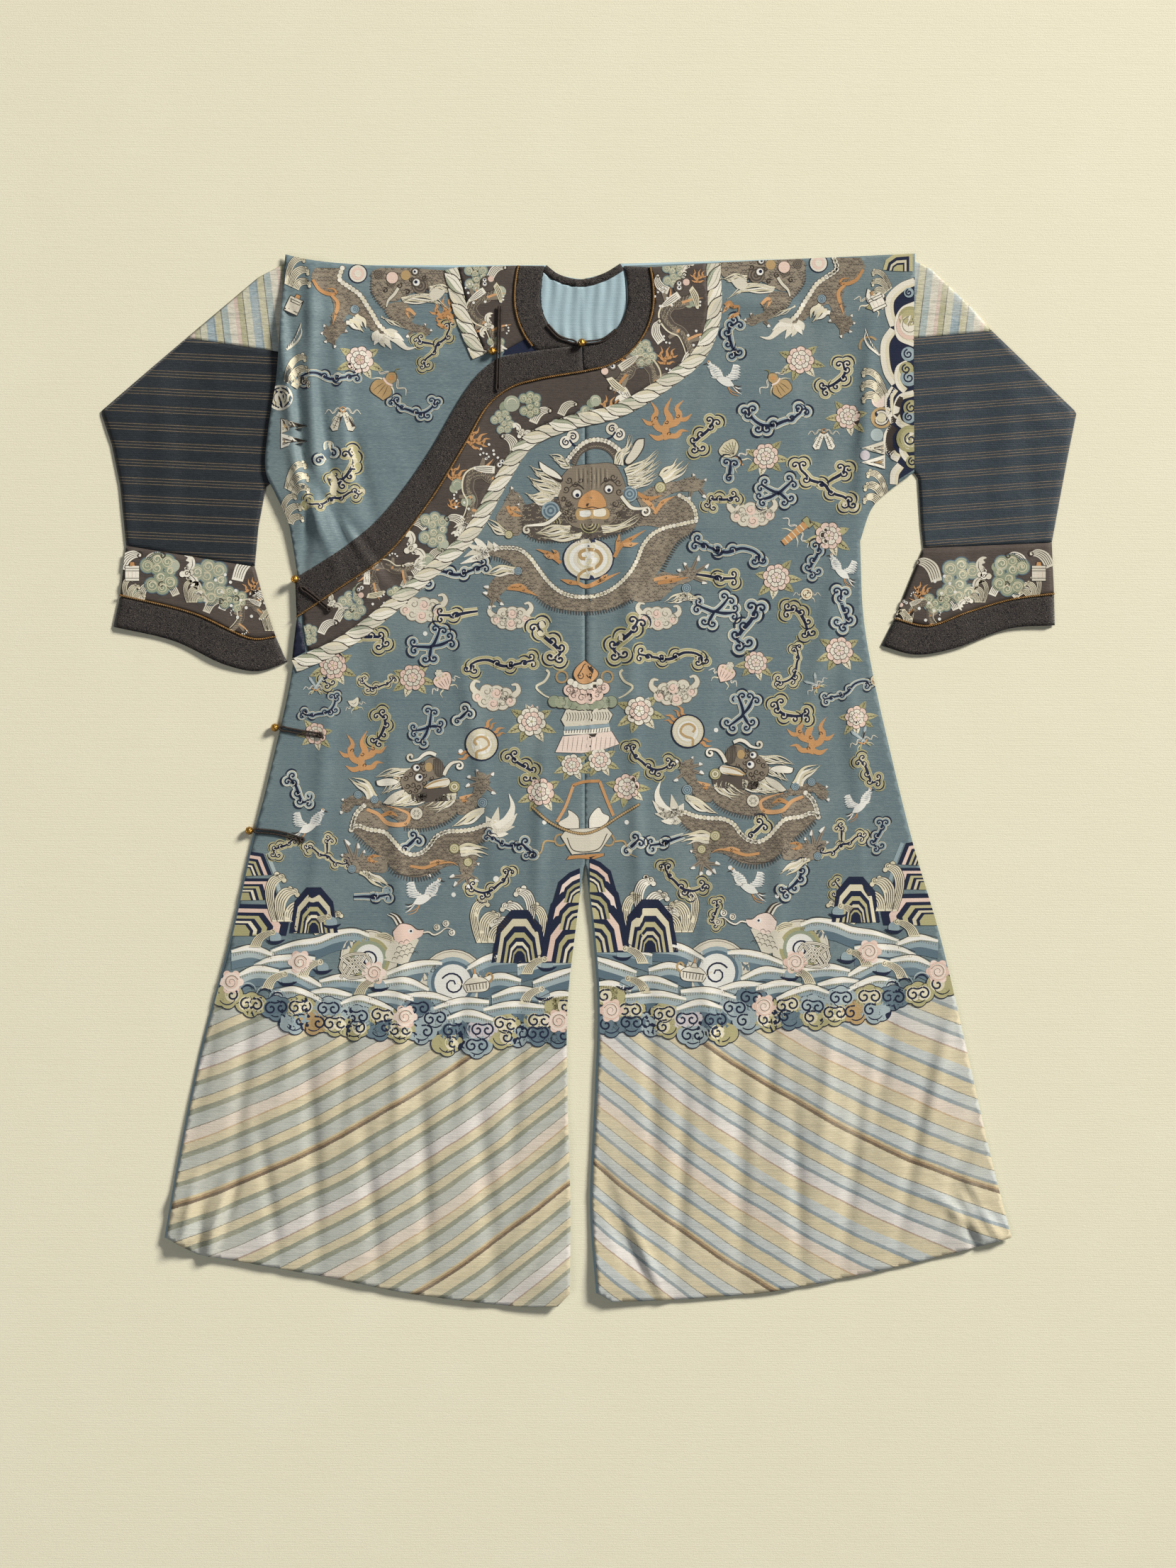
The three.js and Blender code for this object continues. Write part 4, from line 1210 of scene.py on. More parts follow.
# %% Sleeve pieces
SLEEVES = {
    "left": {
        "fold": ([(-394, 1390), (-434, 1369), (-530, 1288)], [(-352, 1382), (-352, 1262)]),
        "extension": (
            [(-530.5, 1287.6), (-644, 1190), (-629, 1146), (-618, 1092), (-610, 1012)],
            [(-352, 1261.7), (-352, 1142), (-424, 1090), (-434, 1037), (-439, 984)],
        ),
        "band": ([(-610, 1011.7), (-618, 946)], [(-439, 983.7), (-426, 936), (-411, 891)]),
        "cuff": ([(-618, 945.7), (-627, 904)], [(-411, 890.7), (-396, 857)]),
        "wrist": [(-627, 904), (-546, 885), (-477, 853), (-434, 845), (-396, 857)],
        "cord": [(-618, 946), (-521, 922), (-441, 888), (-411, 891)],
    },
    "right": {
        "fold": ([(436, 1392), (460, 1380), (514, 1329), (542, 1297)], [(402, 1388), (402, 1285)]),
        "extension": (
            [(542.4, 1296.6), (654, 1189), (641, 1124), (623, 1027), (621, 1016)],
            [(402, 1284.7), (402, 1150), (443, 1102), (447, 1037), (450, 1009)],
        ),
        "band": ([(621, 1015.7), (624, 948)], [(450, 1008.7), (430, 960), (412, 915)]),
        "cuff": ([(624, 947.7), (625, 906)], [(412, 914.7), (394, 879)]),
        "wrist": [(625, 906), (566, 902), (490, 875), (440, 867), (394, 879)],
        "cord": [(624, 948), (566, 940), (508, 923), (455, 905), (412, 915)],
    },
}
TUBE = 2.7
SLEEVE_CREASES = table("""
x y turn length width height
-560 1150 96 110 16 1.6
-520 1100 92 130 14 -1.2
-480 1180 98 90 13 1.3
-590 1080 88 90 12 -1.1
-450 1060 94 90 11 1.2
-470 930 70 60 12 1.1
-560 960 100 60 14 1.0
-600 1190 40 60 12 1.0
560 1150 84 110 16 1.6
520 1100 90 130 14 -1.2
485 1180 82 90 13 1.3
595 1080 94 90 12 -1.1
468 1060 86 90 11 1.2
500 930 100 60 12 1.1
580 960 82 60 14 1.0
610 1180 140 60 12 1.0
""")


def sleeve_crease(x, y):
    side = np.abs(x)
    fade = np.clip((side - 450) / 50, 0, 1)
    soft = 0.9 * fade * (1 + np.sin(side / 29 + y / 190))
    for row in SLEEVE_CREASES:
        cosine, sine = math.cos(math.radians(row.turn)), math.sin(math.radians(row.turn))
        along = (x - row.x) * cosine + (y - row.y) * sine
        across = (y - row.y) * cosine - (x - row.x) * sine
        soft = soft + fade * row.height * np.exp(-((along / row.length) ** 2) - (across / row.width) ** 2)
    return np.maximum(soft, 0)


def sleeve_top(x, y):
    return TUBE + sleeve_crease(x, y)


def patch_between(outer, inner, head, foot, rows, columns):
    """Plan points over a four sided patch, rows from head to foot and columns from outer to inner."""
    v, s = np.linspace(0, 1, rows)[:, None, None], np.linspace(0, 1, columns)[None, :, None]
    sides = []
    for line, count in ((outer, rows), (inner, rows), (head, columns), (foot, columns)):
        line = np.asarray(line, float)
        run = np.concatenate([[0], np.cumsum(np.hypot(*np.diff(line, axis=0).T))])
        even = np.linspace(0, run[-1], count)
        sides.append(np.column_stack([np.interp(even, run, line[:, k]) for k in (0, 1)]))
    out, inn, top, low = sides[0][:, None], sides[1][:, None], sides[2][None], sides[3][None]
    corners = (1 - v) * (1 - s) * out[0] + (1 - v) * s * inn[0] + v * (1 - s) * out[-1] + v * s * inn[-1]
    return (1 - v) * top + v * low + (1 - s) * out + s * inn - corners


def loft(name, outer, inner, head, foot, finish, swell=0.0):
    """A flat tube of cloth with a rounded fold along each side."""
    rows = max(6, int(np.hypot(*(np.array(outer[0]) - outer[-1])) / 5))
    plan = patch_between(outer, inner, head, foot, rows, 36)
    s = np.linspace(0, 1, 36)
    wide = np.hypot(*(plan[0, 0] - plan[0, -1]))
    edge = np.minimum(s, 1 - s) * wide
    round_off = np.sqrt(np.clip(1 - (1 - np.clip(edge / 4, 0, 1)) ** 2, 0, 1))
    crease = sleeve_crease(plan[..., 0], plan[..., 1])
    half = (TUBE + crease) / 2 + swell * round_off
    rings = []
    for inset in (0.0, 0.8):
        thick = np.maximum((half - inset) * round_off, 0.02)
        upper = np.dstack([plan, half + thick])
        lower = np.dstack([plan, half - thick])[:, ::-1]
        rings.append(np.concatenate([upper, lower[:, 1:-1]], axis=1))
    count = rings[0].shape[1]
    points = np.vstack([ring.reshape(-1, 3) for ring in rings])
    shell = rows * count
    faces = []
    for row in range(rows - 1):
        for k in range(count):
            a, b = row * count + k, row * count + (k + 1) % count
            faces.append([a, a + count, b + count, b])
            faces.append([shell + b, shell + b + count, shell + a + count, shell + a])
    for row in (0, rows - 1):
        for k in range(count):
            a, b = row * count + k, row * count + (k + 1) % count
            quad = [a, b, shell + b, shell + a]
            faces.append(quad if row == 0 else quad[::-1])
    if np.cross(plan[1, 0] - plan[0, 0], plan[0, 1] - plan[0, 0]) < 0:
        faces = [face[::-1] for face in faces]
    register(show(name + "_cloth", points, faces, [finish]), name)
    girth = 2 * np.hypot(*(plan[rows // 2, 0] - plan[rows // 2, -1])) / 1000
    flat_area = 2 * cut_size(closed(plan[:, 0], plan[-1, 1:], plan[::-1, -1], plan[0, ::-1]))[0] / 1e6
    width = max(girth, flat_area / (np.hypot(*(np.array(outer[0]) - outer[-1])) / 1000))
    length = flat_area / width
    CUTS.append((name, round(width * 1000), round(length * 1000), round(flat_area, 4)))


# %% Ribbed sleeve silk and striped ends
def ruled_silk(name, colour, dark, pale_shade, line, pitch, rise):
    """Dark ribbed silk with sets of three thin gold lines."""
    material, tree, shader = silk(name, weft=2.4, warp=1.8, roughness=0.5, depth=0.45, sheen=0.2)
    place = add(tree, "ShaderNodeSeparateXYZ", {0: stretched(tree, (1000, 1000, 1000))}).outputs
    level = maths(tree, "ADD", place["Y"], maths(tree, "MULTIPLY", place["X"], rise))
    turns = maths(tree, "FRACT", maths(tree, "DIVIDE", level, pitch))
    masks = []
    for middle in (0.3, 0.46, 0.62):
        away = maths(tree, "ABSOLUTE", maths(tree, "SUBTRACT", turns, middle))
        masks.append(maths(tree, "LESS_THAN", away, 0.021))
    mask = maths(tree, "ADD", maths(tree, "ADD", masks[0], masks[1]), masks[2], clamp=True)
    worn = add(tree, "ShaderNodeTexNoise", {"Vector": stretched(tree, (300, 900, 300)), "Scale": 1.0})
    mask = maths(tree, "MULTIPLY", mask, maths(tree, "MULTIPLY", worn.outputs["Fac"], 1.7, clamp=True))
    dye = add(tree, "ShaderNodeGroup", node_tree=DYE)
    for key, value in (("Colour", colour), ("Dark skein", dark), ("Pale shade", pale_shade)):
        dye.inputs[key].default_value = rgb(*value)
    mix = add(tree, "ShaderNodeMix", {"Factor": mask, "B": rgb(*line)}, data_type="RGBA")
    tree.links.new(dye.outputs["Colour"], mix.inputs["A"])
    tree.links.new(mix.outputs["Result"], shader.inputs["Base Color"])
    return material


def striped_silk(name, lean, start):
    """Upright stripes of the sea border, by turns cream, blue, olive and pink."""
    material, tree, shader = silk(name, depth=0.3)
    place = add(tree, "ShaderNodeSeparateXYZ", {0: stretched(tree, (1000, 1000, 1000))}).outputs
    level = maths(tree, "ADD", place["X"], maths(tree, "MULTIPLY", place["Y"], lean))
    turns = maths(tree, "FRACT", maths(tree, "DIVIDE", maths(tree, "ADD", level, start), 62))
    ramp = add(tree, "ShaderNodeValToRGB", {"Fac": turns})
    ramp.color_ramp.interpolation = "CONSTANT"
    stops = [(0.0, (206, 202, 176)), (0.14, (142, 164, 176)), (0.29, (110, 134, 150)),
             (0.33, (196, 188, 150))]
    stops += [(0.47, (60, 52, 46)), (0.49, (160, 176, 176)), (0.63, (222, 214, 196)),
              (0.78, (216, 190, 176))]
    stops += [(0.86, (172, 166, 124)), (0.98, (60, 52, 46))]
    for number, (place_on, colour) in enumerate(stops):
        stop = ramp.color_ramp.elements[number] if number < 2 else ramp.color_ramp.elements.new(place_on)
        stop.position, stop.color = place_on, rgb(*colour)
    dye = add(tree, "ShaderNodeGroup", {"Colour": ramp.outputs["Color"]}, node_tree=DYE)
    dye.inputs["Dark skein"].default_value, dye.inputs["Pale shade"].default_value = rgb(120, 124,
        112), rgb(226, 222, 206)
    tree.links.new(dye.outputs["Colour"], shader.inputs["Base Color"])
    return material


SLEEVE_SILK = {"left": ruled_silk("dark sleeve silk left", (36, 41, 46), (25, 29, 34), (56, 62, 67),
                                  (112, 98, 78), 24, 0.045), "right": ruled_silk("dark sleeve silk right",
        (53, 62, 69), (40, 48, 55), (74, 83, 89), (122, 106, 86), 22.5, -0.075)}
STRIPED = {"left": striped_silk("striped end left", 0.12, 10), "right": striped_silk("striped end right",
        -0.12, 34)}
for side, parts in SLEEVES.items():
    name = "sleeve_" + side
    cord_line, wrist_line = smooth(parts["cord"]), smooth(parts["wrist"])
    ends = {
        "fold": [(parts["fold"][0][0], parts["fold"][1][0]), (parts["fold"][0][-1], parts["fold"][1][-1])],
        "extension": [
            (parts["extension"][0][0], parts["extension"][1][0]),
            (parts["extension"][0][-1], parts["extension"][1][-1]),
        ],
        "band": [(parts["band"][0][0], parts["band"][1][0]), cord_line],
        "cuff": [cord_line - [0, GAP], wrist_line],
    }
    finishes = {"fold": STRIPED[side], "extension": SLEEVE_SILK[side], "band": BROWN, "cuff": BROCADE}
    for part, (head, foot) in ends.items():
        outer, inner = parts[part]
        loft(f"{name}_{part}", outer, inner, head, foot, finishes[part],
             0.5 if part == "cuff" else 0.0)
    band_outline = closed(parts["band"][0], cord_line[1:-1], parts["band"][1][::-1])
    CLOTHS[name + "_band"] = (sleeve_top, {name + "_band": band_outline})
    fold_outline = closed(parts["fold"][0], parts["fold"][1][::-1])
    CLOTHS[name + "_fold"] = (sleeve_top, {name + "_fold": fold_outline})

# %% [markdown]
# ## Gold cords, loops and buttons
#
# A thin gold cord is couched along the collar, the binding and the cuffs: two strands twisted
# together, made here as two coils round one line. The button loops are pairs of rolled silk
# cord, knotted at their ends, and each button is a small chased ball of gilt brass with a shank.


# %% Cords, loops and buttons
def gilt(name, colour, roughness, metallic):
    material, tree, shader = silk(name, weft=0.9, warp=0.9, roughness=roughness, depth=0.35, sheen=0.0)
    dye = add(tree, "ShaderNodeGroup", node_tree=DYE)
    dark, pale = [c * 0.55 for c in colour], [min(c * 1.3, 255) for c in colour]
    for key, value in (("Colour", colour), ("Dark skein", dark), ("Pale shade", pale)):
        dye.inputs[key].default_value = rgb(*value)
    tree.links.new(dye.outputs["Colour"], shader.inputs["Base Color"])
    shader.inputs["Metallic"].default_value = metallic
    return material


GOLD_CORD = gilt("gold cord", (140, 106, 62), 0.45, 0.35)
LOOP_CORD = gilt("rolled loop cord", (62, 52, 46), 0.6, 0.0)
BRASS = gilt("gilt brass", (176, 132, 62), 0.28, 0.9)


def tube(path, radius, sides=6):
    """Points and faces of a round cord along points in space."""
    path = np.asarray(path, float)
    along = np.gradient(path, axis=0)
    along /= np.linalg.norm(along, axis=1)[:, None]
    flat = np.cross(along, [0, 0, 1.0])
    flat /= np.maximum(np.linalg.norm(flat, axis=1), 1e-6)[:, None]
    up = np.cross(flat, along)
    turn = np.arange(sides) / sides * math.tau
    ring = flat[:, None] * np.cos(turn)[None, :, None] + up[:, None] * np.sin(turn)[None, :, None]
    radius = np.broadcast_to(np.reshape(radius, (-1, 1, 1)), (len(path), 1, 1))
    points = (path[:, None] + ring * radius).reshape(-1, 3)
    faces = []
    for k in range(len(path) - 1):
        for j in range(sides):
            a, b = k * sides + j, k * sides + (j + 1) % sides
            faces.append([a, b, b + sides, a + sides])
    last = (len(path) - 1) * sides
    faces.append(list(range(sides))[::-1])
    faces.append([last + j for j in range(sides)])
    return points, faces


def gathered(parts):
    """Several sets of points and faces as one."""
    points, faces, start = [], [], 0
    for some_points, some_faces in parts:
        points.append(some_points)
        faces += [[a + start for a in face] for face in some_faces]
        start += len(some_points)
    return np.vstack(points), faces


def twisted(line, top, radius, pitch, strands=2):
    """Strands wound round a plan line that lies on the cloth."""
    line = respace(line, pitch / 9)
    base = np.column_stack([line, top(line[:, 0], line[:, 1]) + 1.6 * radius])
    sideways = np.column_stack([offset(line, 1) - line, np.zeros(len(line))])
    angle = np.arange(len(line)) / 9 * math.tau
    parts = []
    for strand in range(strands):
        turn = (angle + strand * math.tau / strands)[:, None]
        parts.append(tube(base + 0.8 * radius * (sideways * np.cos(turn) + [0, 0, 1] * np.sin(turn)),
                          radius, 5))
    return gathered(parts)


def cord_piece(name, line, top, finish=None, radius=0.85, pitch=5.5):
    points, faces = twisted(line, top, radius, pitch)
    return register(show(name + "_strands", points, faces, [finish or GOLD_CORD]), name)


cord_piece("collar_cord", neck_arc(-199, -138, 34), on_under)
collar_edge = neck_arc(18, -82, 34)
cord_piece("binding_cord", np.vstack([collar_edge, binding_line]), on_over)
for side, parts in SLEEVES.items():
    cord_piece(f"sleeve_{side}_cord", smooth(parts["cord"]), sleeve_top)


def pair_of_cords(name, line, top, gap, radius, knot):
    """Two rolled cords side by side, closed round the button and knotted at the sewn end."""
    line = smooth(line, 2.0)
    half = np.full(len(line), gap)
    half[:5] = gap * np.array([0.15, 0.8, 1.2, 1.3, 1.15])
    sides = np.vstack([offset(line, half)[::-1], offset(line, -half)])
    parts = [twisted(sides, top, radius * 0.62, 4.0)]
    if knot:
        turn = np.linspace(0, math.tau, 15)
        ring = np.column_stack([line[-1][0] + 2.6 * np.cos(turn), line[-1][1] + 2.6 * np.sin(turn)])
        parts.append(twisted(ring, raised(top, 0.4), radius * 0.8, 4.0))
    points, faces = gathered(parts)
    return register(show(name + "_cords", points, faces, [LOOP_CORD]), name)


LOOPS = [
    ("loop_neck_left", 1.5, on_under_trim, [(-50, 1305), (-34, 1289), (-11, 1281.5)][::-1]),
    ("loop_neck_right", 1.5, on_over_trim, [(42, 1298), (24, 1285), (-8, 1280.5)][::-1]),
    ("loop_collarbone", 1.6, on_over_trim, [(-116, 1217), (-113, 1330)]),
    ("loop_armpit", 1.8, on_over_trim, [(-378, 957), (-364, 947), (-340, 927)]),
    ("loop_side_upper", 2.2, on_over, [(-406.4, 769.5), (-378, 764), (-352, 760)]),
    ("loop_side_lower", 2.2, on_over, [(-440.4, 633), (-408, 630), (-376, 621)]),
]
for name, gap, top, line in LOOPS:
    pair_of_cords(name, line, raised(top, -1.0), gap, 1.3, name in ("loop_side_upper", "loop_side_lower",
            "loop_armpit"))


def button(name, radius=5.2):
    """A lobed ball on the place of the measured one, with a collar ring and a shank."""
    low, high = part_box(name)
    middle = (np.array(low) + np.array(high)) / 2 * 1000
    middle[:2] += PLAN_TO_FRAME
    rings, sides = 17, 32
    points, faces = [], []
    for ring in range(rings):
        tilt = math.pi * ring / (rings - 1)
        for side in range(sides):
            turn = math.tau * side / sides
            chased = 1 + 0.05 * math.cos(8 * turn) * math.sin(tilt) + 0.035 * math.cos(9 * tilt)
            reach = radius * 0.96 * chased * (1 + 0.07 * (ring in (8,)))
            spot_on = [math.sin(tilt) * math.cos(turn), math.sin(tilt) * math.sin(turn), math.cos(tilt)]
            points.append(middle + reach * np.array(spot_on))
    for ring in range(rings - 1):
        for side in range(sides):
            a, b = ring * sides + side, ring * sides + (side + 1) % sides
            faces.append([a, a + sides, b + sides, b])
    turn = np.linspace(0, math.tau, 25)
    loop = middle + np.column_stack([3.4 * np.cos(turn), 3.4 * np.sin(turn), np.full(25, radius * 0.72)])
    shank = middle + np.column_stack([radius + 1.4 * np.cos(turn), 0 * turn, 1.4 * np.sin(turn)])
    points, faces = gathered([(np.array(points), faces), tube(loop, 0.5), tube(shank, 0.45)])
    register(show(name + "_ball", points, faces, [BRASS]), name)


for name in sorted(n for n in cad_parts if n.startswith("button_")):
    button(name)
left_over = sorted(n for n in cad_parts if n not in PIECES)
print("measured pieces with nothing made for them:", left_over)

# %% [markdown]
# ## Clouds
#
# A drifting cloud is a dark branching stem whose ends curl both ways into a scrolled head. A band of
# a paler thread follows it, with a thin light line inside. Each form is a short table of stems
# and ends, and turning or flipping it gives the many clouds their variety.

# %% Cloud forms
# Stems and places are in photograph pixels from the cloud's middle, read off clouds in the photograph.
# A head has two curls, a curl one.
CLOUD_FORMS = {"long": ([[(-31, 27), (-29, 20), (-23, 14), (-17, 7), (-8, 4), (2, 0), (6, -6), (14, -11),
                          (26, -15), (30, -20), (31, -26)], [(4, 3), (11, 8), (20, 13), (25, 18),
                (26, 23)]], [(-31, 27, 95), (31, -26, -90), (26, 23, 75)],
                        [(-17, 7, -80, -1), (-8, 4, 70, -1), (14, -11, -100, -1), (28, -15, 60, -1),
                         (21, 13, -80, 1)]), "hooked": ([[(-31, 13), (-26, 2), (-14, -6), (0, -6),
                (10, -2), (24, 3), (34, 13)], [(-14, -6), (-14, -12)]],
        [(-31, 13, 105), (34, 13, 60), (-14, -12, -90)], [(-27, 3, -110, -1), (4, -5, 75, 1),
            (16, 0, -70, 1), (28, 6, -20, 1)]), "bent": ([[(13, 20), (6, 8), (-7, -3), (-12, -10),
                (-6, -16)]], [(13, 20, 70), (-6, -17, -75)], [(6, 8, -50, 1), (-6, -2, 160, -1),
            (-12, -10, 200, -1)]), "angled": ([[(10, 19), (12, 6), (2, -5), (-15, -14)]],
        [(10, 19, 95), (-15, -14, 205)], [(12, 6, -40, 1), (2, -5, 160, 1), (-8, -11, 100, 1),
            (6, -2, -80, 1)]), "wavy": ([[(-42, 10), (-24, 3), (-4, -3), (18, 2), (36, -5), (38, -14)]],
                                        [(-42, 10, 160), (38, -15, -85)],
                                        [(-26, 4, 70, 1), (-8, -2, -80, -1), (10, 0, 80, 1),
            (34, -4, 30, -1), (-20, 2, -100, 1)]), "tailed": ([[(-34, 5), (-20, 3), (-4, 0), (14, 0)]],
        [(14, 0, 0)], [(-2, 0, 80, 1), (2, 0, -80, -1)]), "forked": ([[(-22, 8), (-10, 3), (0, 0),
                (10, 8), (17, 17)], [(0, 0), (12, -2), (26, -1)], [(0, 0), (-5, -8), (-8, -15)]],
        [(-22, 8, 165), (17, 17, 55), (26, -1, -5), (-8, -15, -105)], []),
               "small": ([[(-10, -9), (-2, -2), (5, 5)]], [(5, 5, 40)], [(-6, -5, 130, 1)])}
CLOUD_DRESS = {
    "olive": [("cream", 4.3), ("olive", 3.6), ("cream", 1.3)],
    "blue": [("slate", 4.3), ("cream", 3.7), ("grey_blue", 2.6)],
}
CURL = [(0, 0), (2.2, 1.9), (5.0, 2.6), (7.8, 1.3), (8.3, -1.6), (6.4, -3.0), (4.3, -2.2), (4.6, -0.5)]


CLOUD_SCALE = 1.12


def cloud(pen, form, dress):
    """A cloud with its bands, its branching stem and its curls, some of them capped."""
    stems, heads, curls = CLOUD_FORMS[form]
    pen = pen.at((0, 0), 0, PIXEL * CLOUD_SCALE)
    shade = rng.randrange(3)
    lobes = [(x, y, way, hand) for x, y, way in heads for hand in (1, -1)] + list(curls)
    own = [pen.at((x, y), way - 90, 1.0, -hand) for x, y, way, hand in lobes]
    for level, (colour, margin) in enumerate(CLOUD_DRESS[dress]):
        for stem in stems:
            pen.line(stem, 3.4 + 2 * margin, colour, level, (0.85, 0.85), shade)
        for lobe in own:
            lobe.disc(5.2, -0.3, 3.5 + margin, colour, level, shade)
    for stem in stems:
        pen.line(stem, 4.2, "navy", 3, (0.6, 0.6), 0)
    for number, lobe in enumerate(own):
        lobe.line(CURL, 2.0, "navy", 3, (1.0, 1.3), 0, 1.6)
        lobe.line([(2.2, -4.6), (2.0, -2.6), (2.6, -0.6), (3.9, 0.2)], 1.0, "ivory", 4, (0.4, 0.6), 0, 1.6)
        if number % 2 or rng.random() < 0.45:
            if dress == "olive":
                lobe.arc(5.2, -0.3, 10.4, -15, 125, 3.2, "olive", 1, (0.3, 0.3), shade)
            lobe.arc(5.2, -0.3, 8.9, -10, 120, 2.2, "navy", 3, (0.3, 0.3), 0)


# %% [markdown]
# ## Flowers, bats, flames and cranes
#
# A peony is rings of round petals, each edged in dark brown, with pointed leaves. Bats have
# scalloped pink wings, flames are branching tapering tongues, and a crane is a body, a long neck and
# two fans of feathers.


# %% Flowers, bats, flames and cranes
def leaf(pen, x, y, turn, length, width, colour="olive", level=0):
    own = pen.at((x, y), turn, level=level)
    sides = [[(0, 0), (length * 0.3, s * width * 0.5), (length * 0.65, s * width * 0.38),
              (length, 0)] for s in (1, -1)]
    own.fill(np.vstack([smooth(sides[0], 3), smooth(sides[1], 3)[::-1]]), colour)
    own.line([(1, 0), (length * 0.5, 0.4), (length * 0.94, 0)], 0.8, "line", 1, (1, 0.4))
    for share in (0.3, 0.5, 0.68):
        for side in (1, -1):
            tip = (length * (share + 0.14), side * width * 0.3 * (1 - share * 0.5))
            own.line([(length * share, 0), tip], 0.6, "line", 1, (0.8, 0.3))


def rosette(pen, radius, petals, colour, level, turn=0.0, depth=0.16, edge=0.9):
    """A ring of round petals with a dark edge and lines between the petals."""
    angle = np.radians(np.arange(0, 360, 360 / (petals * 6)))
    reach = radius * (1 - depth * (1 - np.abs(np.sin(petals * angle / 2)) ** 0.7))
    angle = angle + math.radians(turn)
    ring = np.column_stack([reach * np.cos(angle), reach * np.sin(angle)])
    pen.fill(ring * (1 + edge / radius), "line", level, 0)
    pen.fill(ring, colour, level + 1)
    for k in range(petals):
        notch = math.radians(turn + 360 * k / petals)
        way = np.array([math.cos(notch), math.sin(notch)])
        pen.line([way * radius * 0.3, way * radius * 0.84], 0.8, "line", level + 2, (0.4, 1))
        middle = notch + math.pi / petals
        way = np.array([math.cos(middle), math.sin(middle)])
        pen.line([way * radius * 0.62, way * radius * 0.86], 0.6, "scale", level + 2, (0.5, 0.5))


def peony(pen, petal="pink", leaves="olive"):
    for turn, length in ((205, 30), (240, 26), (-25, 30), (-60, 25), (150, 26), (30, 24)):
        leaf(pen, 10 * math.cos(math.radians(turn)), 10 * math.sin(math.radians(turn)), turn, length - 4,
             11, leaves if abs(turn) != 60 else "cream")
    inner = "ivory" if petal == "pink" else "pink"
    rosette(pen, 19, 8, petal, 2, 10)
    rosette(pen, 13, 6, inner, 4, 35)
    rosette(pen, 7, 5, petal, 6, 0)
    pen.disc(0, 0, 1.8, "olive", 8)


def lotus_bud(pen):
    """A pointed flower on a short stem with two leaves."""
    pen.line([(0, -24), (2, -12), (0, 0)], 2.2, "dark_olive", 0)
    leaf(pen, 0, -14, 20, 22, 9)
    leaf(pen, 0, -10, 160, 22, 9)
    for turn in (150, 30, 120, 60, 90):
        leaf(pen, 0, 0, turn, 20 if turn == 90 else 17, 10, "pink" if turn != 90 else "ivory", 1)


def bat(pen, colour="pink"):
    """A round lobed body between two wings whose tips curl up."""
    lobes = [(-19, -4, 7), (-10, -8, 8), (1, -9, 9), (12, -7, 8), (20, -2, 7), (-13, 3, 8), (-2, 4, 9),
             (10, 5, 8)]
    pale = "ivory" if colour == "pink" else "white"
    for level, (grow, tone) in enumerate(((0.9, "scale"), (0, pale))):
        for x, y, radius in lobes:
            pen.disc(x, y, radius + grow, tone, level, 1)
        for side in (1, -1):
            own = pen.at((0, 0), 0, 1, side)
            own.line([(14, -2), (22, 2), (28, 9), (25, 16), (19, 15)], 6.5 + 2 * grow, tone, level,
                     (1.2, 0.3), 1)
    for x, y, radius in lobes[::2]:
        pen.disc(x, y - 1, radius * 0.62, colour, 2, 0)
    for number, (x, y, radius) in enumerate(lobes):
        pen.curl(x, y, radius * 0.6, 70 * number, 1.0, 0.8, "scale", 3, (0.5, 0.6))


def flame(pen, size=1.0):
    """Branching tongues of fire, each with a small dark curl at its root."""
    tongues = [
        [(0, -18), (-3, -6), (2, 5), (-2, 16), (4, 30)],
        [(-2, -8), (-12, -4), (-16, 6), (-13, 14), (-20, 26)],
        [(0, -2), (10, 2), (13, 11), (10, 18), (18, 27)],
        [(-14, 2), (-22, 0), (-30, 6)],
        [(11, 6), (20, 5), (28, 12)],
        [(0, -14), (10, -14), (16, -8), (24, -9)],
        [(-3, -14), (-12, -17), (-22, -12)],
    ]
    for number, tongue in enumerate(tongues):
        pen.line(tongue, (8.5, 7.5, 7.5, 5, 5, 6, 6)[number] * size, "orange", 0, (1.0, 0.06), 0)
    for x, y, hand in ((-1, 2, 1), (-13, 6, -1), (12, 9, 1), (2, -12, -1)):
        pen.curl(x, y, 2.6, 200, 0.9 * hand, 0.9, "line", 1)


def pearl(pen, radius):
    """A glowing pearl: navy rim, ivory rings, a tan hook, and small flames round it."""
    for turn in (38, 70, 215):
        way = math.radians(turn)
        tip = pen.at((radius * math.cos(way), radius * math.sin(way)), turn - 90, radius / 26)
        tip.line([(-6, -2), (-1, 4), (-3, 12), (3, 21)], 5.5, "orange", 0, (1, 0.05))
        tip.line([(3, -1), (6, 6), (5, 11), (11, 16)], 4, "orange", 0, (1, 0.05))
        tip.curl(1, 3, 2.2, 180, 0.9, 0.8, "line", 1)
    pen.disc(0, 0, radius + 2, "navy", 2, 0)
    for share, colour in ((1.0, "cream"), (0.9, "ivory"), (0.74, "cream"), (0.66, "white"), (0.5, "ivory")):
        pen.disc(0, 0, radius * share, colour, 3 + (1.0 - share) * 2, 1)
    hook = radius * 0.62
    pen.line([(-hook * 0.5, -hook * 0.1), (-hook * 0.75, hook * 0.3), (-hook * 0.2, hook * 0.75),
              (hook * 0.5, hook * 0.55), (hook * 0.75, -hook * 0.1), (hook * 0.2, -hook * 0.55),
              (-hook * 0.5, -hook * 0.8), (-hook * 0.5, -hook * 1.5)], radius * 0.15, "tan", 5,
             (1.0, 1.0))


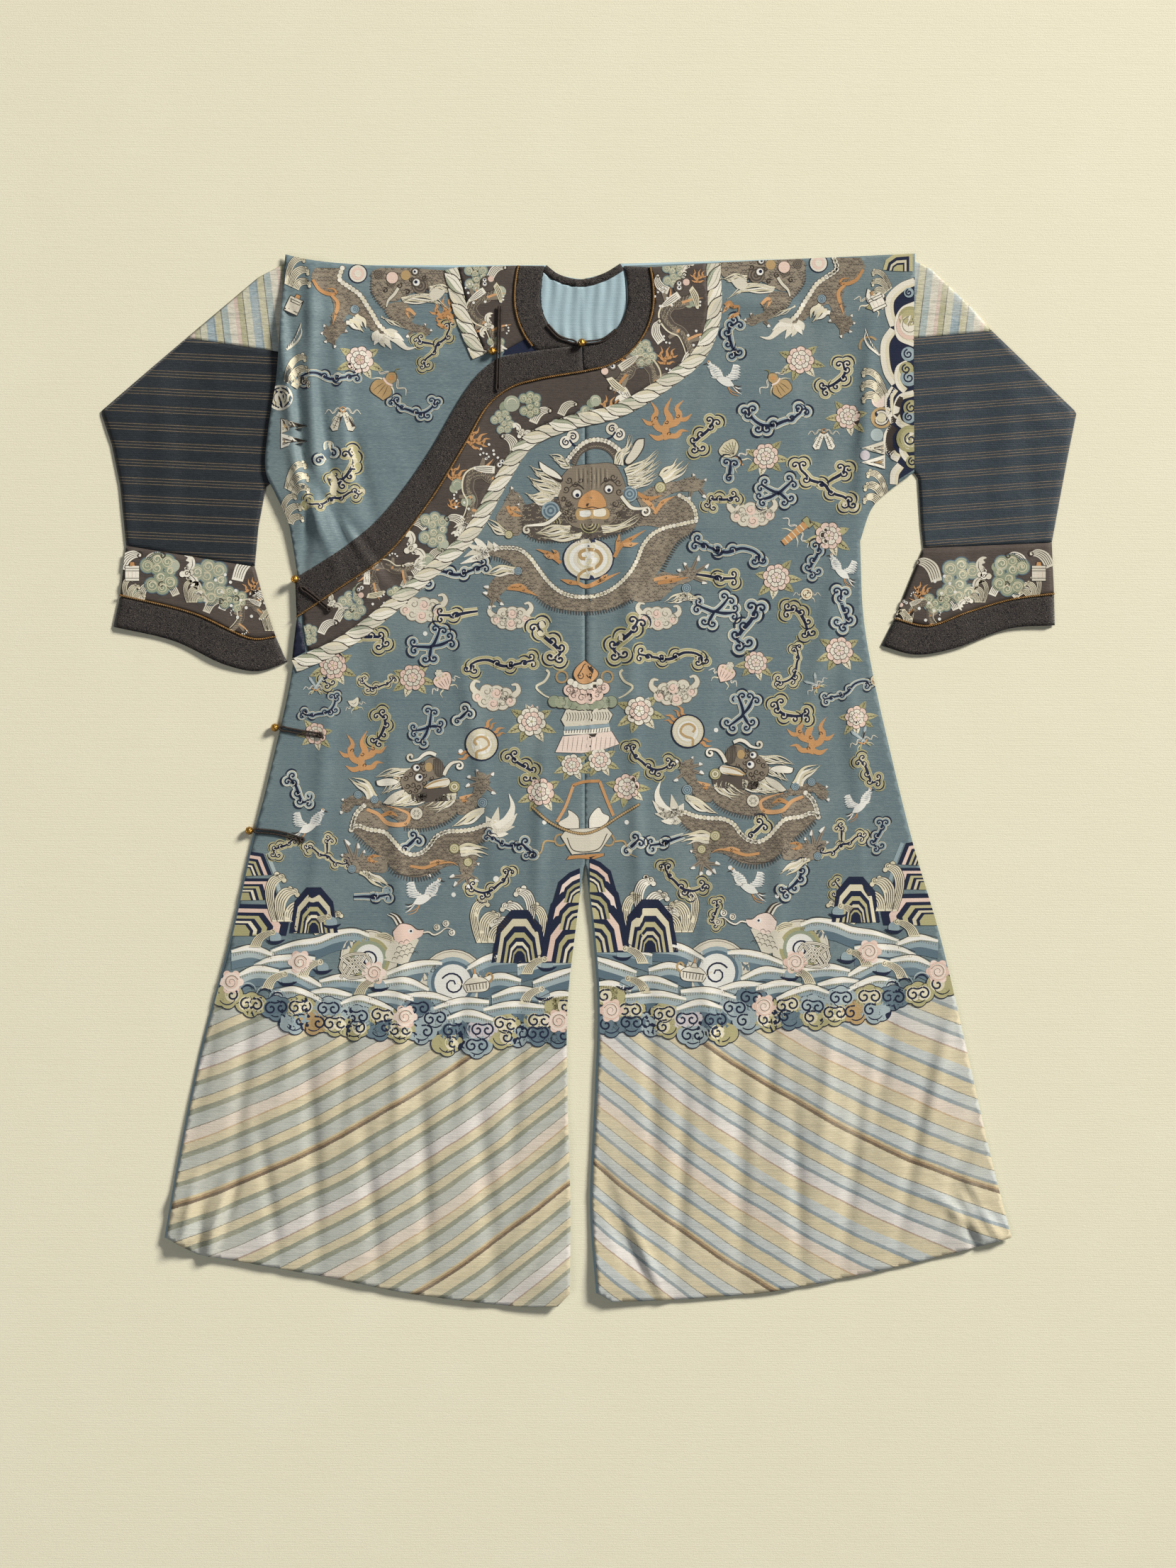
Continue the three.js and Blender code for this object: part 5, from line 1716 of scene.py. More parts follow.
def crane(pen):
    """A flying crane with raised wings."""
    for side, raise_by in ((1, 58), (-1, 128)):
        edge = smooth([(0, 0), (9, 2), (18, -1)], 3)
        for k, (x, y) in enumerate(edge[1:]):
            own = pen.at((0, 1), raise_by).at((x, y), -62 if side == 1 else 62)
            long = 15 - 1.1 * k
            own.fill([(0, -1.9), (long * 0.6, -2.4), (long, 0), (long * 0.6, 2.2), (0, 1.9)], "white",
                     1 + k % 2)
            own.line([(1, 0), (long * 0.9, 0)], 0.6, "grey_blue", 3, (0.6, 0.4))
            own.line([(long * 0.4, 2.4), (long, 0)], 0.5, "slate", 3, (0.5, 0.5))
    pen.fill(smooth([(-12, -7), (-6, 1), (3, 4), (9, 2), (4, -4), (-4, -8), (-12, -7)], 2.5), "white", 3)
    pen.line([(6, 2), (12, 5), (15, 11), (13, 16), (17, 19)], 2.6, "white", 3, (1.2, 0.9))
    pen.disc(17, 19.5, 2.2, "white", 4)
    pen.disc(17.4, 21, 1.2, "orange", 5)
    pen.line([(18.5, 19), (24, 17.5)], 1.0, "line", 4, (1, 0.2))
    pen.disc(17.6, 19.6, 0.5, "line", 6)
    for k in range(4):
        pen.line([(-9, -6), (-16, -8 - 2 * k), (-21, -7 - 3.4 * k)], 1.6, ("line", "white")[k % 2], 2,
                 (1, 0.1))
    for side in (0, 3):
        pen.line([(-4, -7), (-9, -13 - side), (-17, -16 - side)], 0.9, "orange", 1, (1, 0.6))


# %% [markdown]
# ## Treasures
#
# Between the clouds float small treasures tied with ribbons: a gourd, a fan, castanets, a fish
# drum, a lotus pod, a pair of swords, a cup, a vase. Each is a few patches and dark lines.


# %% Treasures
def ribbons(pen, spread=24):
    for side in (1, -1):
        pen.line([(0, 0), (side * 8, 5), (side * 15, -3), (side * spread, 3), (side * (spread + 6), -4)],
                 2.6, "ivory", 0, (1, 0.3))
        pen.line([(0, 0), (side * 6, -6), (side * 13, -9), (side * (spread - 5), -16)], 2.2, "cream", 0,
                 (1, 0.2))
        pen.line([(0, 0), (side * 8, 4.6), (side * 15, -2.4), (side * spread, 2.8)], 0.6, "line", 1,
                 (0.6, 0.4))


def boxed(pen, points, colour, level=0, edge=1.0):
    """A patch with a dark edge."""
    points = np.array(points, float)
    middle = points.mean(0)
    grown = middle + (points - middle) * (1 + 2 * edge / np.ptp(points, axis=0).max())
    pen.fill(grown, "line", level, 0)
    pen.fill(points, colour, level + 1)


def gourd(pen):
    ribbons(pen.at((0, 4)))
    boxed(pen, smooth([(-11, -24), (-14, -10), (-6, -2), (-7, 8), (0, 14), (7, 8), (6, -2), (14, -10),
                       (11, -24), (-11, -24)], 3), "tan", 2)
    pen.line([(-8, -1), (0, -3), (8, -1)], 2.6, "pink", 4)
    for x in (-6, 0, 6):
        pen.line([(x * 0.6, -6), (x, -14), (x * 1.2, -22)], 0.8, "line", 4, (0.5, 0.5))
    pen.disc(0, 6, 3.4, "orange", 4)
    pen.line([(0, 14), (2, 19), (-2, 23)], 1.6, "dark_olive", 3, (1, 0.3))


def fan(pen):
    ribbons(pen.at((0, -12)), 20)
    pen.line([(0, 4), (0, -24)], 2.6, "orange", 1)
    boxed(pen, [(x * 1.0, y) for x, y in smooth([(0, 22), (-15, 17), (-14, 4), (0, -4), (14, 4), (15, 17),
                    (0, 22)], 3)], "cream", 2)
    for turn in range(30, 151, 20):
        way = math.radians(turn)
        pen.line([(0, -2), (17 * math.cos(way), 4 + 14 * math.sin(way))], 0.8, "line", 4, (0.4, 0.8))
    pen.arc(0, 4, 9, 10, 170, 1.4, "olive", 4)


def castanets(pen):
    ribbons(pen.at((0, 12)), 22)
    for side in (1, -1):
        own = pen.at((side * 3, 10), side * 24, 1, side)
        boxed(own, [(-4, 0), (4, 0), (6.5, -27), (0, -31), (-6.5, -27)], "ivory", 2)
        own.line([(0, -3), (0, -27)], 0.8, "line", 4)
        for y in (-8, -15, -22):
            own.line([(-3.6, y), (3.6, y)], 0.8, "line", 4)
            own.line([(-2, y - 3), (2, y - 3)], 0.7, "scale", 4)
    pen.arc(0, 15, 4, 0, 359, 1.5, "orange", 4, (1, 1))


def fish_drum(pen):
    ribbons(pen.at((0, 0)), 24)
    boxed(pen, [(-5, -28), (5, -28), (6, 20), (-6, 20)], "orange", 2)
    for y in range(-22, 18, 8):
        pen.line([(-5.4, y), (5.4, y)], 1.6, "cream" if y % 16 else "line", 4)
    boxed(pen, [(-8, 18), (8, 18), (8, 27), (-8, 27)], "olive", 3)


def lotus_pod(pen):
    ribbons(pen.at((0, -6)), 18)
    boxed(pen, smooth([(0, -16), (-12, -4), (-13, 6), (0, 11), (13, 6), (12, -4), (0, -16)], 3), "pink", 2)
    for x in (-8, -3, 3, 8):
        pen.disc(x, 5, 1.5, "olive", 4)
        pen.line([(x, 1), (x * 0.6, -10)], 0.7, "line", 4, (0.6, 0.3))
    rosette(pen.at((0, 12), 0, 0.45), 13, 6, "ivory", 3)


def swords(pen):
    ribbons(pen.at((0, -4)), 22)
    for side in (1, -1):
        own = pen.at((0, -2), side * 34, 1, side)
        boxed(own, [(-2.2, -6), (2.2, -6), (3.2, 22), (0, 29), (-3.2, 22)], "grey_blue", 2, 0.7)
        own.line([(0, -4), (0, 24)], 0.7, "white", 4)
        own.line([(-6, -7), (6, -7)], 2.4, "orange", 4)
        own.line([(0, -8), (0, -19)], 3.0, "olive", 3)


def cup(pen):
    ribbons(pen.at((0, -6)), 18)
    boxed(pen, smooth([(-12, 10), (-9, -3), (0, -9), (9, -3), (12, 10), (0, 7), (-12, 10)], 3), "ivory", 2)
    boxed(pen, [(-5, -15), (5, -15), (2, -8), (-2, -8)], "olive", 2)
    pen.arc(0, 4, 6, 200, 340, 1.2, "navy", 4)
    pen.curl(13, 4, 4, 180, 1.1, 1.2, "line", 3)


def scroll_ball(pen):
    """A round woven emblem with a fret in it."""
    ribbons(pen, 20)
    pen.disc(0, 0, 12, "line", 2, 0)
    pen.disc(0, 0, 11, "cream", 3)
    for x, y in ((-4, 0), (4, 0), (0, 4), (0, -4)):
        pen.line([(x * 1.8, y * 1.8), (x + y, y + x), (x * 0.4, y * 0.4)], 1.2, "line", 4)
    pen.arc(0, 0, 7.5, 0, 350, 1.1, "orange", 4, (1, 1))


TREASURES = {"gourd": gourd, "fan": fan, "castanets": castanets, "drum": fish_drum, "pod": lotus_pod,
             "swords": swords, "cup": cup, "ball": scroll_ball, "bud": lotus_bud, "crane": crane,
             "flame": flame, "bat": bat, "peony": peony}
print("motifs:", sorted(TREASURES), "cloud forms:", sorted(CLOUD_FORMS))

# %% [markdown]
# ## Where the small motifs lie
#
# The robe is nearly the same on both sides of its centre seam, but the weaver never made two
# clouds alike. The layout was read off the photograph, a place for each motif.

# %% Small motifs on the two upper fronts
CLOUDS = table("""
dress form px py turn size flip cloth
blue angled 1035 478 -40 1.0 -1 front
olive angled 1178 534 0 1.0 1 front
blue hooked 1092 593 0 1.05 1 front
olive bent 992 616 0 1.0 1 front
olive long 1162 685 0 1.0 1 front
blue forked 1098 695 20 0.95 -1 front
olive bent 1016 707 -40 0.85 1 front
blue wavy 1028 776 0 1.0 1 front
olive tailed 1020 816 0 1.0 1 front
blue forked 1008 863 0 1.0 1 front
blue bent 1054 886 10 1.25 1 front
olive angled 1128 876 80 1.0 1 front
blue bent 1188 862 -30 1.05 -1 front
olive bent 882 903 0 1.2 1 front
olive wavy 948 926 10 0.95 1 front
olive hooked 1118 944 60 0.75 1 front
blue forked 1048 1008 60 0.95 1 front
olive angled 1116 1004 30 1.0 -1 front
blue wavy 1195 974 35 0.7 1 front
olive hooked 915 1076 -20 0.85 -1 front
olive bent 1226 1090 70 0.85 1 front
blue tailed 932 1190 10 0.9 -1 front
olive small 1070 1168 0 1.0 1 front
olive long 1188 1192 60 0.7 1 front
olive hooked 962 1246 -25 0.85 -1 front
blue angled 1118 1242 10 0.95 1 front
blue hooked 456 1002 30 0.7 -1 front
blue wavy 640 808 0 0.95 -1 front
olive tailed 636 868 0 1.0 -1 front
blue forked 609 912 20 1.0 1 front
olive bent 523 901 40 1.0 -1 front
olive hooked 532 966 0 0.6 1 front
olive wavy 706 936 -8 0.95 -1 front
olive bent 775 908 0 1.15 -1 front
blue forked 605 1025 60 0.85 -1 front
olive angled 536 1028 30 0.9 1 front
olive bent 738 1083 10 0.95 -1 front
blue bent 423 1117 70 0.9 1 front
olive long 461 1208 -60 0.65 -1 front
blue tailed 534 1264 10 0.9 1 front
blue small 582 1187 0 1.0 1 front
blue wavy 719 1191 -10 0.7 1 front
olive hooked 693 1250 20 0.8 1 front
blue small 655 1008 0 0.9 1 front
olive long 617 488 20 0.75 -1 shoulder
blue wavy 463 532 -10 0.85 -1 shoulder
blue hooked 586 577 0 0.8 -1 shoulder
olive angled 489 662 20 1.0 1 shoulder
""")
MOTIFS = table("""
kind px py turn size flip
peony 1129 508 10 0.95 1
peony 1196 588 -20 0.85 1
peony 1080 644 15 0.9 -1
peony 1169 756 -10 0.95 1
peony 1095 815 20 0.95 -1
peony 1184 918 0 0.95 1
peony 1066 935 -15 0.8 1
bud 906 1000 -30 0.9 1
peony 1208 1012 30 0.8 -1
bat 1061 724 0 1.1 1
bat 928 870 -5 1.0 1
bat 952 975 5 1.1 1
crane 1021 536 0 1.15 -1
crane 1187 807 -10 1.0 -1
crane 1213 1137 10 1.0 1
crane 1055 1251 0 1.15 -1
flame 942 598 0 1.15 1
flame 1142 1042 0 1.1 -1
gourd 1094 538 40 0.9 1
fan 1034 640 40 0.85 1
castanets 1162 620 0 0.75 1
drum 1124 750 -50 0.85 1
pod 1024 949 -30 0.9 1
swords 1150 965 40 0.6 1
swords 1216 1042 20 0.7 -1
cup 1232 422 -20 1.0 1
ball 1138 838 0 0.7 1
ball 1236 960 0 0.7 1
peony 470 939 0 0.95 1
peony 582 956 10 0.9 -1
bud 751 1010 30 0.9 -1
peony 446 1035 -20 0.75 1
bat 596 858 0 1.1 -1
bat 721 870 5 1.0 -1
bat 698 982 -5 1.1 -1
crane 436 1166 0 1.1 1
crane 598 1266 0 1.2 1
flame 513 1066 0 1.1 1
pod 625 960 30 0.9 -1
swords 446 968 0 0.6 1
cup 500 992 20 0.6 1
ball 560 1100 0 0.5 1
""")
CLOUDS += table("""
dress form px py turn size flip cloth
olive long 470 704 50 0.8 1 shoulder
blue small 462 640 0 1.0 1 shoulder
olive bent 466 950 20 0.8 1 front
blue bent 1150 792 20 0.9 1 front
blue small 1030 660 40 1.0 1 front
olive forked 1190 1258 -30 0.7 1 front
blue bent 1240 1180 20 0.8 1 front
olive bent 398 1196 -20 0.7 1 front
blue small 742 1196 0 1.0 -1 front
olive bent 1010 1290 30 0.7 1 front
blue small 895 1190 0 1.0 1 front
""")
DOTS = table("""
px py radius
1000 1231 4
1030 1224 3
700 1240 4
640 1262 3
606 1234 3
1096 1264 3
884 1160 3
768 1160 3
1046 920 3
600 894 3
990 810 4
1010 1030 3
650 1060 3
""")
for row in CLOUDS:
    cloud(Pen(spot(row.px, row.py), row.turn, row.size, int(row.flip), row.cloth), row.form, row.dress)
for row in MOTIFS:
    TREASURES[row.kind](Pen(spot(row.px, row.py), row.turn, row.size, int(row.flip)))
for row in DOTS:
    Pen(spot(row.px, row.py)).disc(0, 0, row.radius, "white", 0)
weave("clouds_and_treasures")

# %% [markdown]
# ## The sea at the hem
#
# Under the clouds stands the sea: rocks in nested tiers, foaming crests combed with fine lines,
# arched waves one over the other, round waves in rings, and small treasures afloat. A border of
# curled cloud heads divides it from the stripes. The left half was read off the photograph, and
# the right half is its mirror a little higher up, as the weaver worked both from one drawing.


# %% Waves, rocks and curls
def places(text):
    """Plan points from photograph pixels written as x y pairs."""
    numbers = [float(word) for word in text.split()]
    return [spot(x, y) for x, y in zip(numbers[::2], numbers[1::2])]


def arched_wave(pen, points, level):
    """A white arched band with a hatched lower edge and shaded water under it."""
    path = smooth(points, 4)
    pen.fill(np.vstack([path, (path - [0, 24])[::-1]]), "slate", level, rng.randrange(2))
    pen.fill(np.vstack([path - [0, 3], (path - [0, 13])[::-1]]), "grey_blue", level + 1)
    pen.line(path - [0, 0.6], 10.8, "moss", level + 1, (0.4, 0.5), 0)
    pen.line(path, 8.8, "ivory", level + 2, (0.35, 0.45), 2)
    pen.line(path - [0, 1.2], 4.0, "white", level + 3, (0.3, 0.4), 0)
    pen.line(path + [0, 4.4], 1.1, "line", level + 3, (0.5, 0.5), 0)
    for x, y in respace(path, 3.2)[1:-1]:
        pen.line([(x - 0.6, y - 3.2), (x, y - 6.6)], 0.9, "scale", level + 3, (0.4, 1.0), 0)


def ringed_wave(pen, x, y, radius, rings):
    """A round wave: half rings of colour around a curl."""
    pen.disc(x, y, radius + 0.9, "line", 1, 0)
    for number, (share, colour) in enumerate(rings):
        pen.disc(x, y, radius * share, colour, 2 + number, 1)
    pen.arc(x, y, radius * 0.94, 10, 170, 0.7, "scale", 3)
    inner = radius * rings[-1][0]
    pen.curl(x, y - inner * 0.1, inner * 0.66, 150, -1.4, 2.2, "navy", 7, (1.0, 0.9), 0)


def crest(pen, colour="cream"):
    """A foaming crest: combed fingers of water that hook over at their tips."""
    fingers = [([(-4, 0), (-11, 22), (-14, 48), (-6, 66), (8, 70)],
                [(8, 0), (1, 24), (-1, 42), (4, 56), (12, 62)], 6),
               ([(4, 0), (0, 20), (2, 38), (14, 50), (28, 48)], [(18, 0), (15, 16), (17, 28), (24, 38),
                (31, 41)], 6), ([(14, 0), (14, 12), (20, 24), (32, 30), (43, 25)],
                                [(30, 0), (30, 8), (34, 14), (40, 18), (45, 19)], 6)]
    for number, (first, second, lines) in enumerate(fingers):
        tip_x, tip_y = (np.array(first[-1]) + second[-1]) / 2
        for dx, dy, size in ((0, 0, 4.6), (4, -5, 3.4), (-7, 4, 3.6)):
            pen.disc(tip_x + dx, tip_y + dy, size + 0.8, "line", number, 0)
            pen.disc(tip_x + dx, tip_y + dy, size, colour, number + 1)
        pen.combed(first, second, colour, lines - 2, number + 1, 2, 1.1)
        pen.line(first, 0.9, "line", number + 2, (1, 1))
        pen.curl(tip_x, tip_y, 3.2, 120, -1.0, 0.8, "line", number + 2)


def crest_head(pen):
    """A small crest on a navy swell."""
    pen.fill(smooth([(-2, -2), (6, -9), (18, -9), (27, -3), (16, -5), (6, -5), (-2, -2)], 3), "navy", 5, 0)
    pen.disc(13, -1, 8, "grey_blue", 4, 1)
    pen.combed([(-24, -14), (-16, 0), (-4, 8), (9, 10)], [(-8, -14), (-4, -4), (3, 1), (9, 4)], "cream",
               5, 5)
    pen.disc(9, 7, 4.2, "cream", 6)
    pen.curl(9, 7, 3, 100, -1.0, 0.8, "line", 7)


def nested(pen, outline, colours, level=0, shrink=0.74, anchor=None):
    """An outline filled again and again, each time smaller, like the bands of a rock."""
    outline = np.array(outline, float)
    anchor = np.array(anchor if anchor is not None else [outline[:, 0].mean(), outline[:, 1].min()])
    for number, colour in enumerate(colours):
        pen.fill(anchor + (outline - anchor) * shrink**number, colour, level + number * 0.6,
                 0 if colour == "navy" else None)


def rock(pen, size=1.0):
    """A peaked rock in bands, standing in the waves."""
    own = pen.at((0, 0), 0, size)
    peak = [(-34, 0), (-27, 44), (-10, 64), (10, 64), (27, 44), (34, 0)]
    nested(own, peak, ("navy", "cream", "navy", "olive", "navy", "cream", "navy", "olive", "navy"), 2, 0.83)


def tiers(pen):
    """The great rock at the side seam, in three tiers."""
    for points in ("352 1201 372 1204 384 1234 346 1236", "345 1239 384 1239 393 1269 338 1270",
                   "336 1275 389 1276 408 1302 404 1320 328 1320"):
        outline = np.array(places(points))
        anchor = (outline[:, 0].min() - 4, outline[:, 1].min())
        nested(pen, outline, ("navy", "pink", "navy", "olive", "navy", "cream", "navy", "olive"), 0, 0.86,
               anchor)
        edge = outline[[1, 2]]
        pen.line(edge + [5, 0], 5, "grey_blue", 0, (1, 1))


def scroll_head(pen, colour, both=True):
    """A curled cloud head of the border."""
    for grow, tone, level in ((1.2, "navy", 0), (0, colour, 0.5)):
        for x, y, radius in ((-9, 0, 12.5), (9, 0, 12.5), (0, -7, 11), (0, 5, 11)):
            pen.disc(x, y, radius + grow, tone, level, int(x) % 3)
    for side in (1, -1) if both else (1,):
        pen.disc(side * 7.0, 0, 10.0, "cream" if colour == "olive" else colour, 1)
        pen.curl(side * 7.0, -0.5, 8.6, 90, -side * 1.12, 2.4, "navy", 2, (1.0, 1.1), 0)
    pen.line([(-6.4, 8), (0, 6.2), (6.4, 8)] if both else [(0, 7.6), (6.4, 8)], 2.2, "navy", 2, (1, 1), 0)
    pen.arc(0, -1, 11.4, -160, -20, 1.8, "navy", 1, (0.6, 0.6))


def roundel(pen):
    for number, (radius, colour) in enumerate(((13.5, "pink"), (10.5, "ivory"), (9.5, "pink"),
            (6.5, "ivory"), (5.6, "pink"))):
        pen.disc(0, 0, radius, colour, 3 + number * 0.5)
    pen.curl(0, 0, 10, 20, 1.6, 0.8, "scale", 6)
    for turn in range(0, 360, 60):
        pen.disc(12 * math.cos(math.radians(turn)), 12 * math.sin(math.radians(turn)), 5.4, "pink", 2)


def knot(pen):
    """The endless knot: a lattice of bands with dark edges."""
    for width, colour, level in ((5.0, "line", 5), (3.6, "ivory", 6), (0.7, "scale", 7)):
        for k in (-10, 0, 10):
            pen.line([(k - 13, k * 0.2 - 12), (k + 9, k * 0.2 + 13)], width, colour, level)
            pen.line([(k - 9, 13 - k * 0.2), (k + 13, -12 - k * 0.2)], width, colour, level + 0.5)
        pen.line([(-22, 0), (-14, 14), (14, 14), (22, 0), (14, -14), (-14, -14), (-22, 0)], width, colour,
                 level)


def teapot(pen):
    boxed(pen, smooth([(-13, -9), (-16, 0), (-7, 8), (7, 8), (16, 0), (13, -9), (-13, -9)], 3), "ivory", 5)
    for x in range(-12, 13, 4):
        pen.line([(x, -7), (x * 1.05, 0)], 0.9, "line", 7)
    pen.line([(-14, 1), (14, 1)], 1.2, "line", 7)
    boxed(pen, [(-4, 8), (4, 8), (2, 13), (-2, 13)], "ivory", 6)
    pen.line([(0, 13), (0, 20)], 3, "orange", 6, (1, 0.3))
    pen.line([(14, -2), (22, 6), (18, 12), (13, 8)], 2.6, "tan", 5)
    pen.line([(-14, -2), (-23, 6)], 3.4, "ivory", 5, (1, 0.6))


def sea_dragon(pen):
    """The white fish dragon that rises from the waves."""
    body = [(-30, -26), (-22, -8), (-6, 6), (8, 10)]
    belly = [(2, -34), (8, -20), (14, -8), (18, 0)]
    pen.combed(body, belly, "ivory", 0, 3, 1)
    for row in range(4):
        for k in range(5 - row):
            pen.arc(-14 + 7 * k + 3 * row, -26 + 7 * row + 2 * k, 3.6, 10, 190, 0.8, "line", 5)
    pen.fill(smooth([(-14, 0), (-16, 12), (-6, 22), (8, 20), (16, 14), (24, 14), (22, 6), (10, 0),
                     (-2, -6), (-14, 0)], 3), "pink", 4)
    pen.line([(-16, 12), (-6, 22), (8, 20), (16, 14), (24, 14)], 1.0, "line", 5)
    pen.line([(24, 10), (31, 11), (38, 7), (46, 10), (54, 16), (62, 15)], 3.0, "line", 4, (1, 0.4))
    pen.line([(24, 10), (31, 11), (38, 7), (46, 10), (54, 16), (62, 15)], 2.0, "ivory", 5, (1, 0.4))
    for x, y in ((42, 17), (54, 22), (62, 10)):
        pen.disc(x, y, 4.4, "ivory", 4)
        pen.curl(x, y, 3.4, 60, 1.2, 0.9, "line", 6)
    pen.disc(7, 12, 3.4, "white", 5)
    pen.disc(7.6, 12, 1.6, "navy", 6, 0)
    for k in range(4):
        pen.line([(-10 + 3 * k, 20), (-16 + 2 * k, 30 + k), (-24 + 2 * k, 34 + k)], 2.6,
                 ("ivory", "line")[k % 2], 3, (1, 0.2))
    pen.combed([(-16, 4), (-26, 10), (-40, 8)], [(-14, -4), (-26, 0), (-40, 5)], "cream", 3, 3)


# %% The sea, half by half
ARCHES = ["327 1342 356 1337 386 1347", "382 1342 416 1331 448 1326 475 1316 502 1313 521 1320",
          "656 1368 690 1350 730 1345", "546 1374 570 1364 600 1358 624 1359",
          "359 1362 383 1353 421 1350 445 1352", "730 1362 770 1350 812 1345",
          "334 1377 361 1366 394 1370", "394 1372 413 1370 435 1380 454 1391",
          "674 1386 705 1376 735 1383", "451 1384 481 1378 519 1383", "540 1386 573 1382 605 1396",
          "752 1386 779 1376 812 1366", "388 1398 416 1395 440 1404 455 1412",
          "437 1400 464 1397 497 1404", "694 1406 729 1395 764 1399", "519 1404 551 1401 584 1410",
          "570 1404 608 1403 638 1412", "481 1415 508 1407 535 1415 555 1424",
          "760 1412 785 1402 812 1403", "612 1422 651 1411 690 1413", "682 1424 721 1416 768 1420",
          "631 1436 662 1428 696 1438"]
CREST_SCALE = 0.72
CRESTS = "388 1300 0 1.25 1, 448 1318 18 1.1 1, 676 1330 0 1.15 1, 760 1340 0 1.2 -1, 742 1322 0 1.3 -1"
HEADS = "376 1322, 443 1364, 393 1381, 523 1389, 755 1402, 759 1360, 455 1300"
SCROLLS = table("""
px py turn colour both
788 1459 -5 slate 0
759 1457 0 slate 1
730 1458 10 grey_blue 0
708 1461 -10 olive 0
673 1474 0 grey_blue 1
631 1471 5 olive 0
595 1454 0 grey_blue 0
565 1452 0 olive 1
536 1449 10 slate 0
500 1449 0 olive 0
473 1443 0 olive 1
443 1441 -10 tan 0
416 1440 10 grey_blue 0
321 1404 10 olive 0
355 1416 -5 olive 1
390 1421 5 slate 1
424 1420 0 olive 1
464 1422 0 grey_blue 1
504 1434 5 grey_blue 1
540 1432 -10 olive 1
590 1422 5 slate 1
614 1436 5 grey_blue 1
641 1453 0 slate 1
681 1452 0 lilac 1
713 1444 -10 olive 1
761 1439 0 olive 1
790 1419 0 olive 0
""")


def sea(pen):
    """One half of the sea, from the side seam to the slit."""
    tiers(pen)
    for entry in CRESTS.split(","):
        px, py, turn, size, flip = [float(word) for word in entry.split()]
        crest(pen.at(spot(px, py), turn, size * CREST_SCALE, int(flip), 1),
            "ivory" if int(px) % 4 else "cream")
    rock(pen.at(spot(443, 1316), 0, 0.95, 1, 3))
    rock(pen.at(spot(733, 1358), 0, 1.1, 1, 3))
    for low, wide, tall in ((0, 54, 62), (44, 46, 50), (80, 36, 40)):
        great = [(0, 0), (-wide, 0), (-wide + 8, tall * 0.7), (-wide + 22, tall), (0, tall + 6)]
        nested(pen.at(np.array(spot(818, 1358)) + [0, low], 0, 1, 1, 3), great,
               ("navy", "pink", "navy", "olive", "navy", "cream", "navy", "olive"), 4 - low / 40, 0.84,
               (0, 0))
    sea_dragon(pen.at(spot(572, 1326), 0, 1.0, 1, 1))
    ringed_wave(pen, *spot(521, 1352), 38, [(1, "ivory"), (0.74, "olive"), (0.62, "moss"), (0.5, "white")])
    ringed_wave(pen, *spot(639, 1386), 44, [(1, "ivory"), (0.78, "grey_blue"), (0.66, "slate"),
                                            (0.56, "white")])
    for number, points in enumerate(ARCHES):
        arched_wave(pen, places(points), 2 + number // 5)
    for entry in HEADS.split(","):
        crest_head(pen.at(spot(*[float(word) for word in entry.split()]), 0, 0.95, 1, 3))
    knot(pen.at(spot(502, 1362), 8, 0.95, 1, 2))
    teapot(pen.at(spot(672, 1388), 8, 1.05, 1, 2))
    for row in SCROLLS:
        scroll_head(pen.at(spot(row.px, row.py), row.turn, 0.98, 1, 6), row.colour, bool(row.both))
    for px, py in ((327, 1385), (572, 1434), (788, 1440), (424, 1357), (528, 1372)):
        roundel(pen.at(spot(px, py), 0, 0.95, 1, 6))
    for px, py, turn in ((350, 1398, 20), (374, 1403, -20), (392, 1408, 10)):
        pen.arc(*spot(px, py), 8, 20, 160, 2.4, "navy", 8, (0.4, 0.4), 0)
        pen.arc(*spot(px, py), 11, 10, 170, 2.4, "grey_blue", 7, (0.4, 0.4))


sea(Pen((0, 0)))
sea(Pen((0, 14), 0, 1, -1))
weave("sea")

# %% [markdown]
# ## Dragons
#
# A large front-faced dragon coils under the neck, and two more in profile chase pearls above the
# sea, the right one the mirror of the left. Dragons of this kind are a traditional pattern. Each is
# built up as a weaver would: scaly body areas, an ivory comb down the back, short strokes for the
# belly, then tufts of combed hair, and last the face. The outlines follow points that were read
# off enlarged views of the photograph, so they are traced from it.


# %% Parts of a dragon
# How many pixels of each enlarged view make one pixel of the photograph.
FRONT_VIEW, SIDE_VIEW, SHOULDER_VIEW, CENTRE_VIEW = 4.238, 5.058, 4.48, 5.139


def sketch(text, scale):
    """Points in photograph pixels, y up, from x y pairs read off an enlarged view of the photograph."""
    numbers = [float(word) for word in text.split()]
    return [(x / scale, -y / scale) for x, y in zip(numbers[::2], numbers[1::2])]


def scaly(pen, outline, level=0, spacing=5.4, colour="scale"):
    """An area of dragon skin, covered in small scale marks."""
    outline = np.array(outline, float)
    pen.fill(outline, colour, level)
    low, high = outline.min(0), outline.max(0)
    for row, y in enumerate(np.arange(low[1], high[1], spacing * 0.72)):
        x = np.arange(low[0] + (row % 2) * spacing / 2, high[0], spacing)
        for place in x[inside(x, np.full(len(x), y), outline)]:
            near = pen.at((place + rng.uniform(-0.5, 0.5), y), rng.uniform(-25, 25))
            ink = "dark_scale" if rng.random() < 0.6 else "pale_scale"
            near.line([(-2.3, 0.8), (0, -1.3), (2.3, 0.8)], 1.25, ink, level + 1, (0.5, 0.5), step=1.8)


def limb(pen, text, scale, level, spacing=5.4, colour="scale"):
    """A scaly area inside a smooth outline."""
    scaly(pen, smooth(sketch(text, scale), 3), level, spacing, colour)


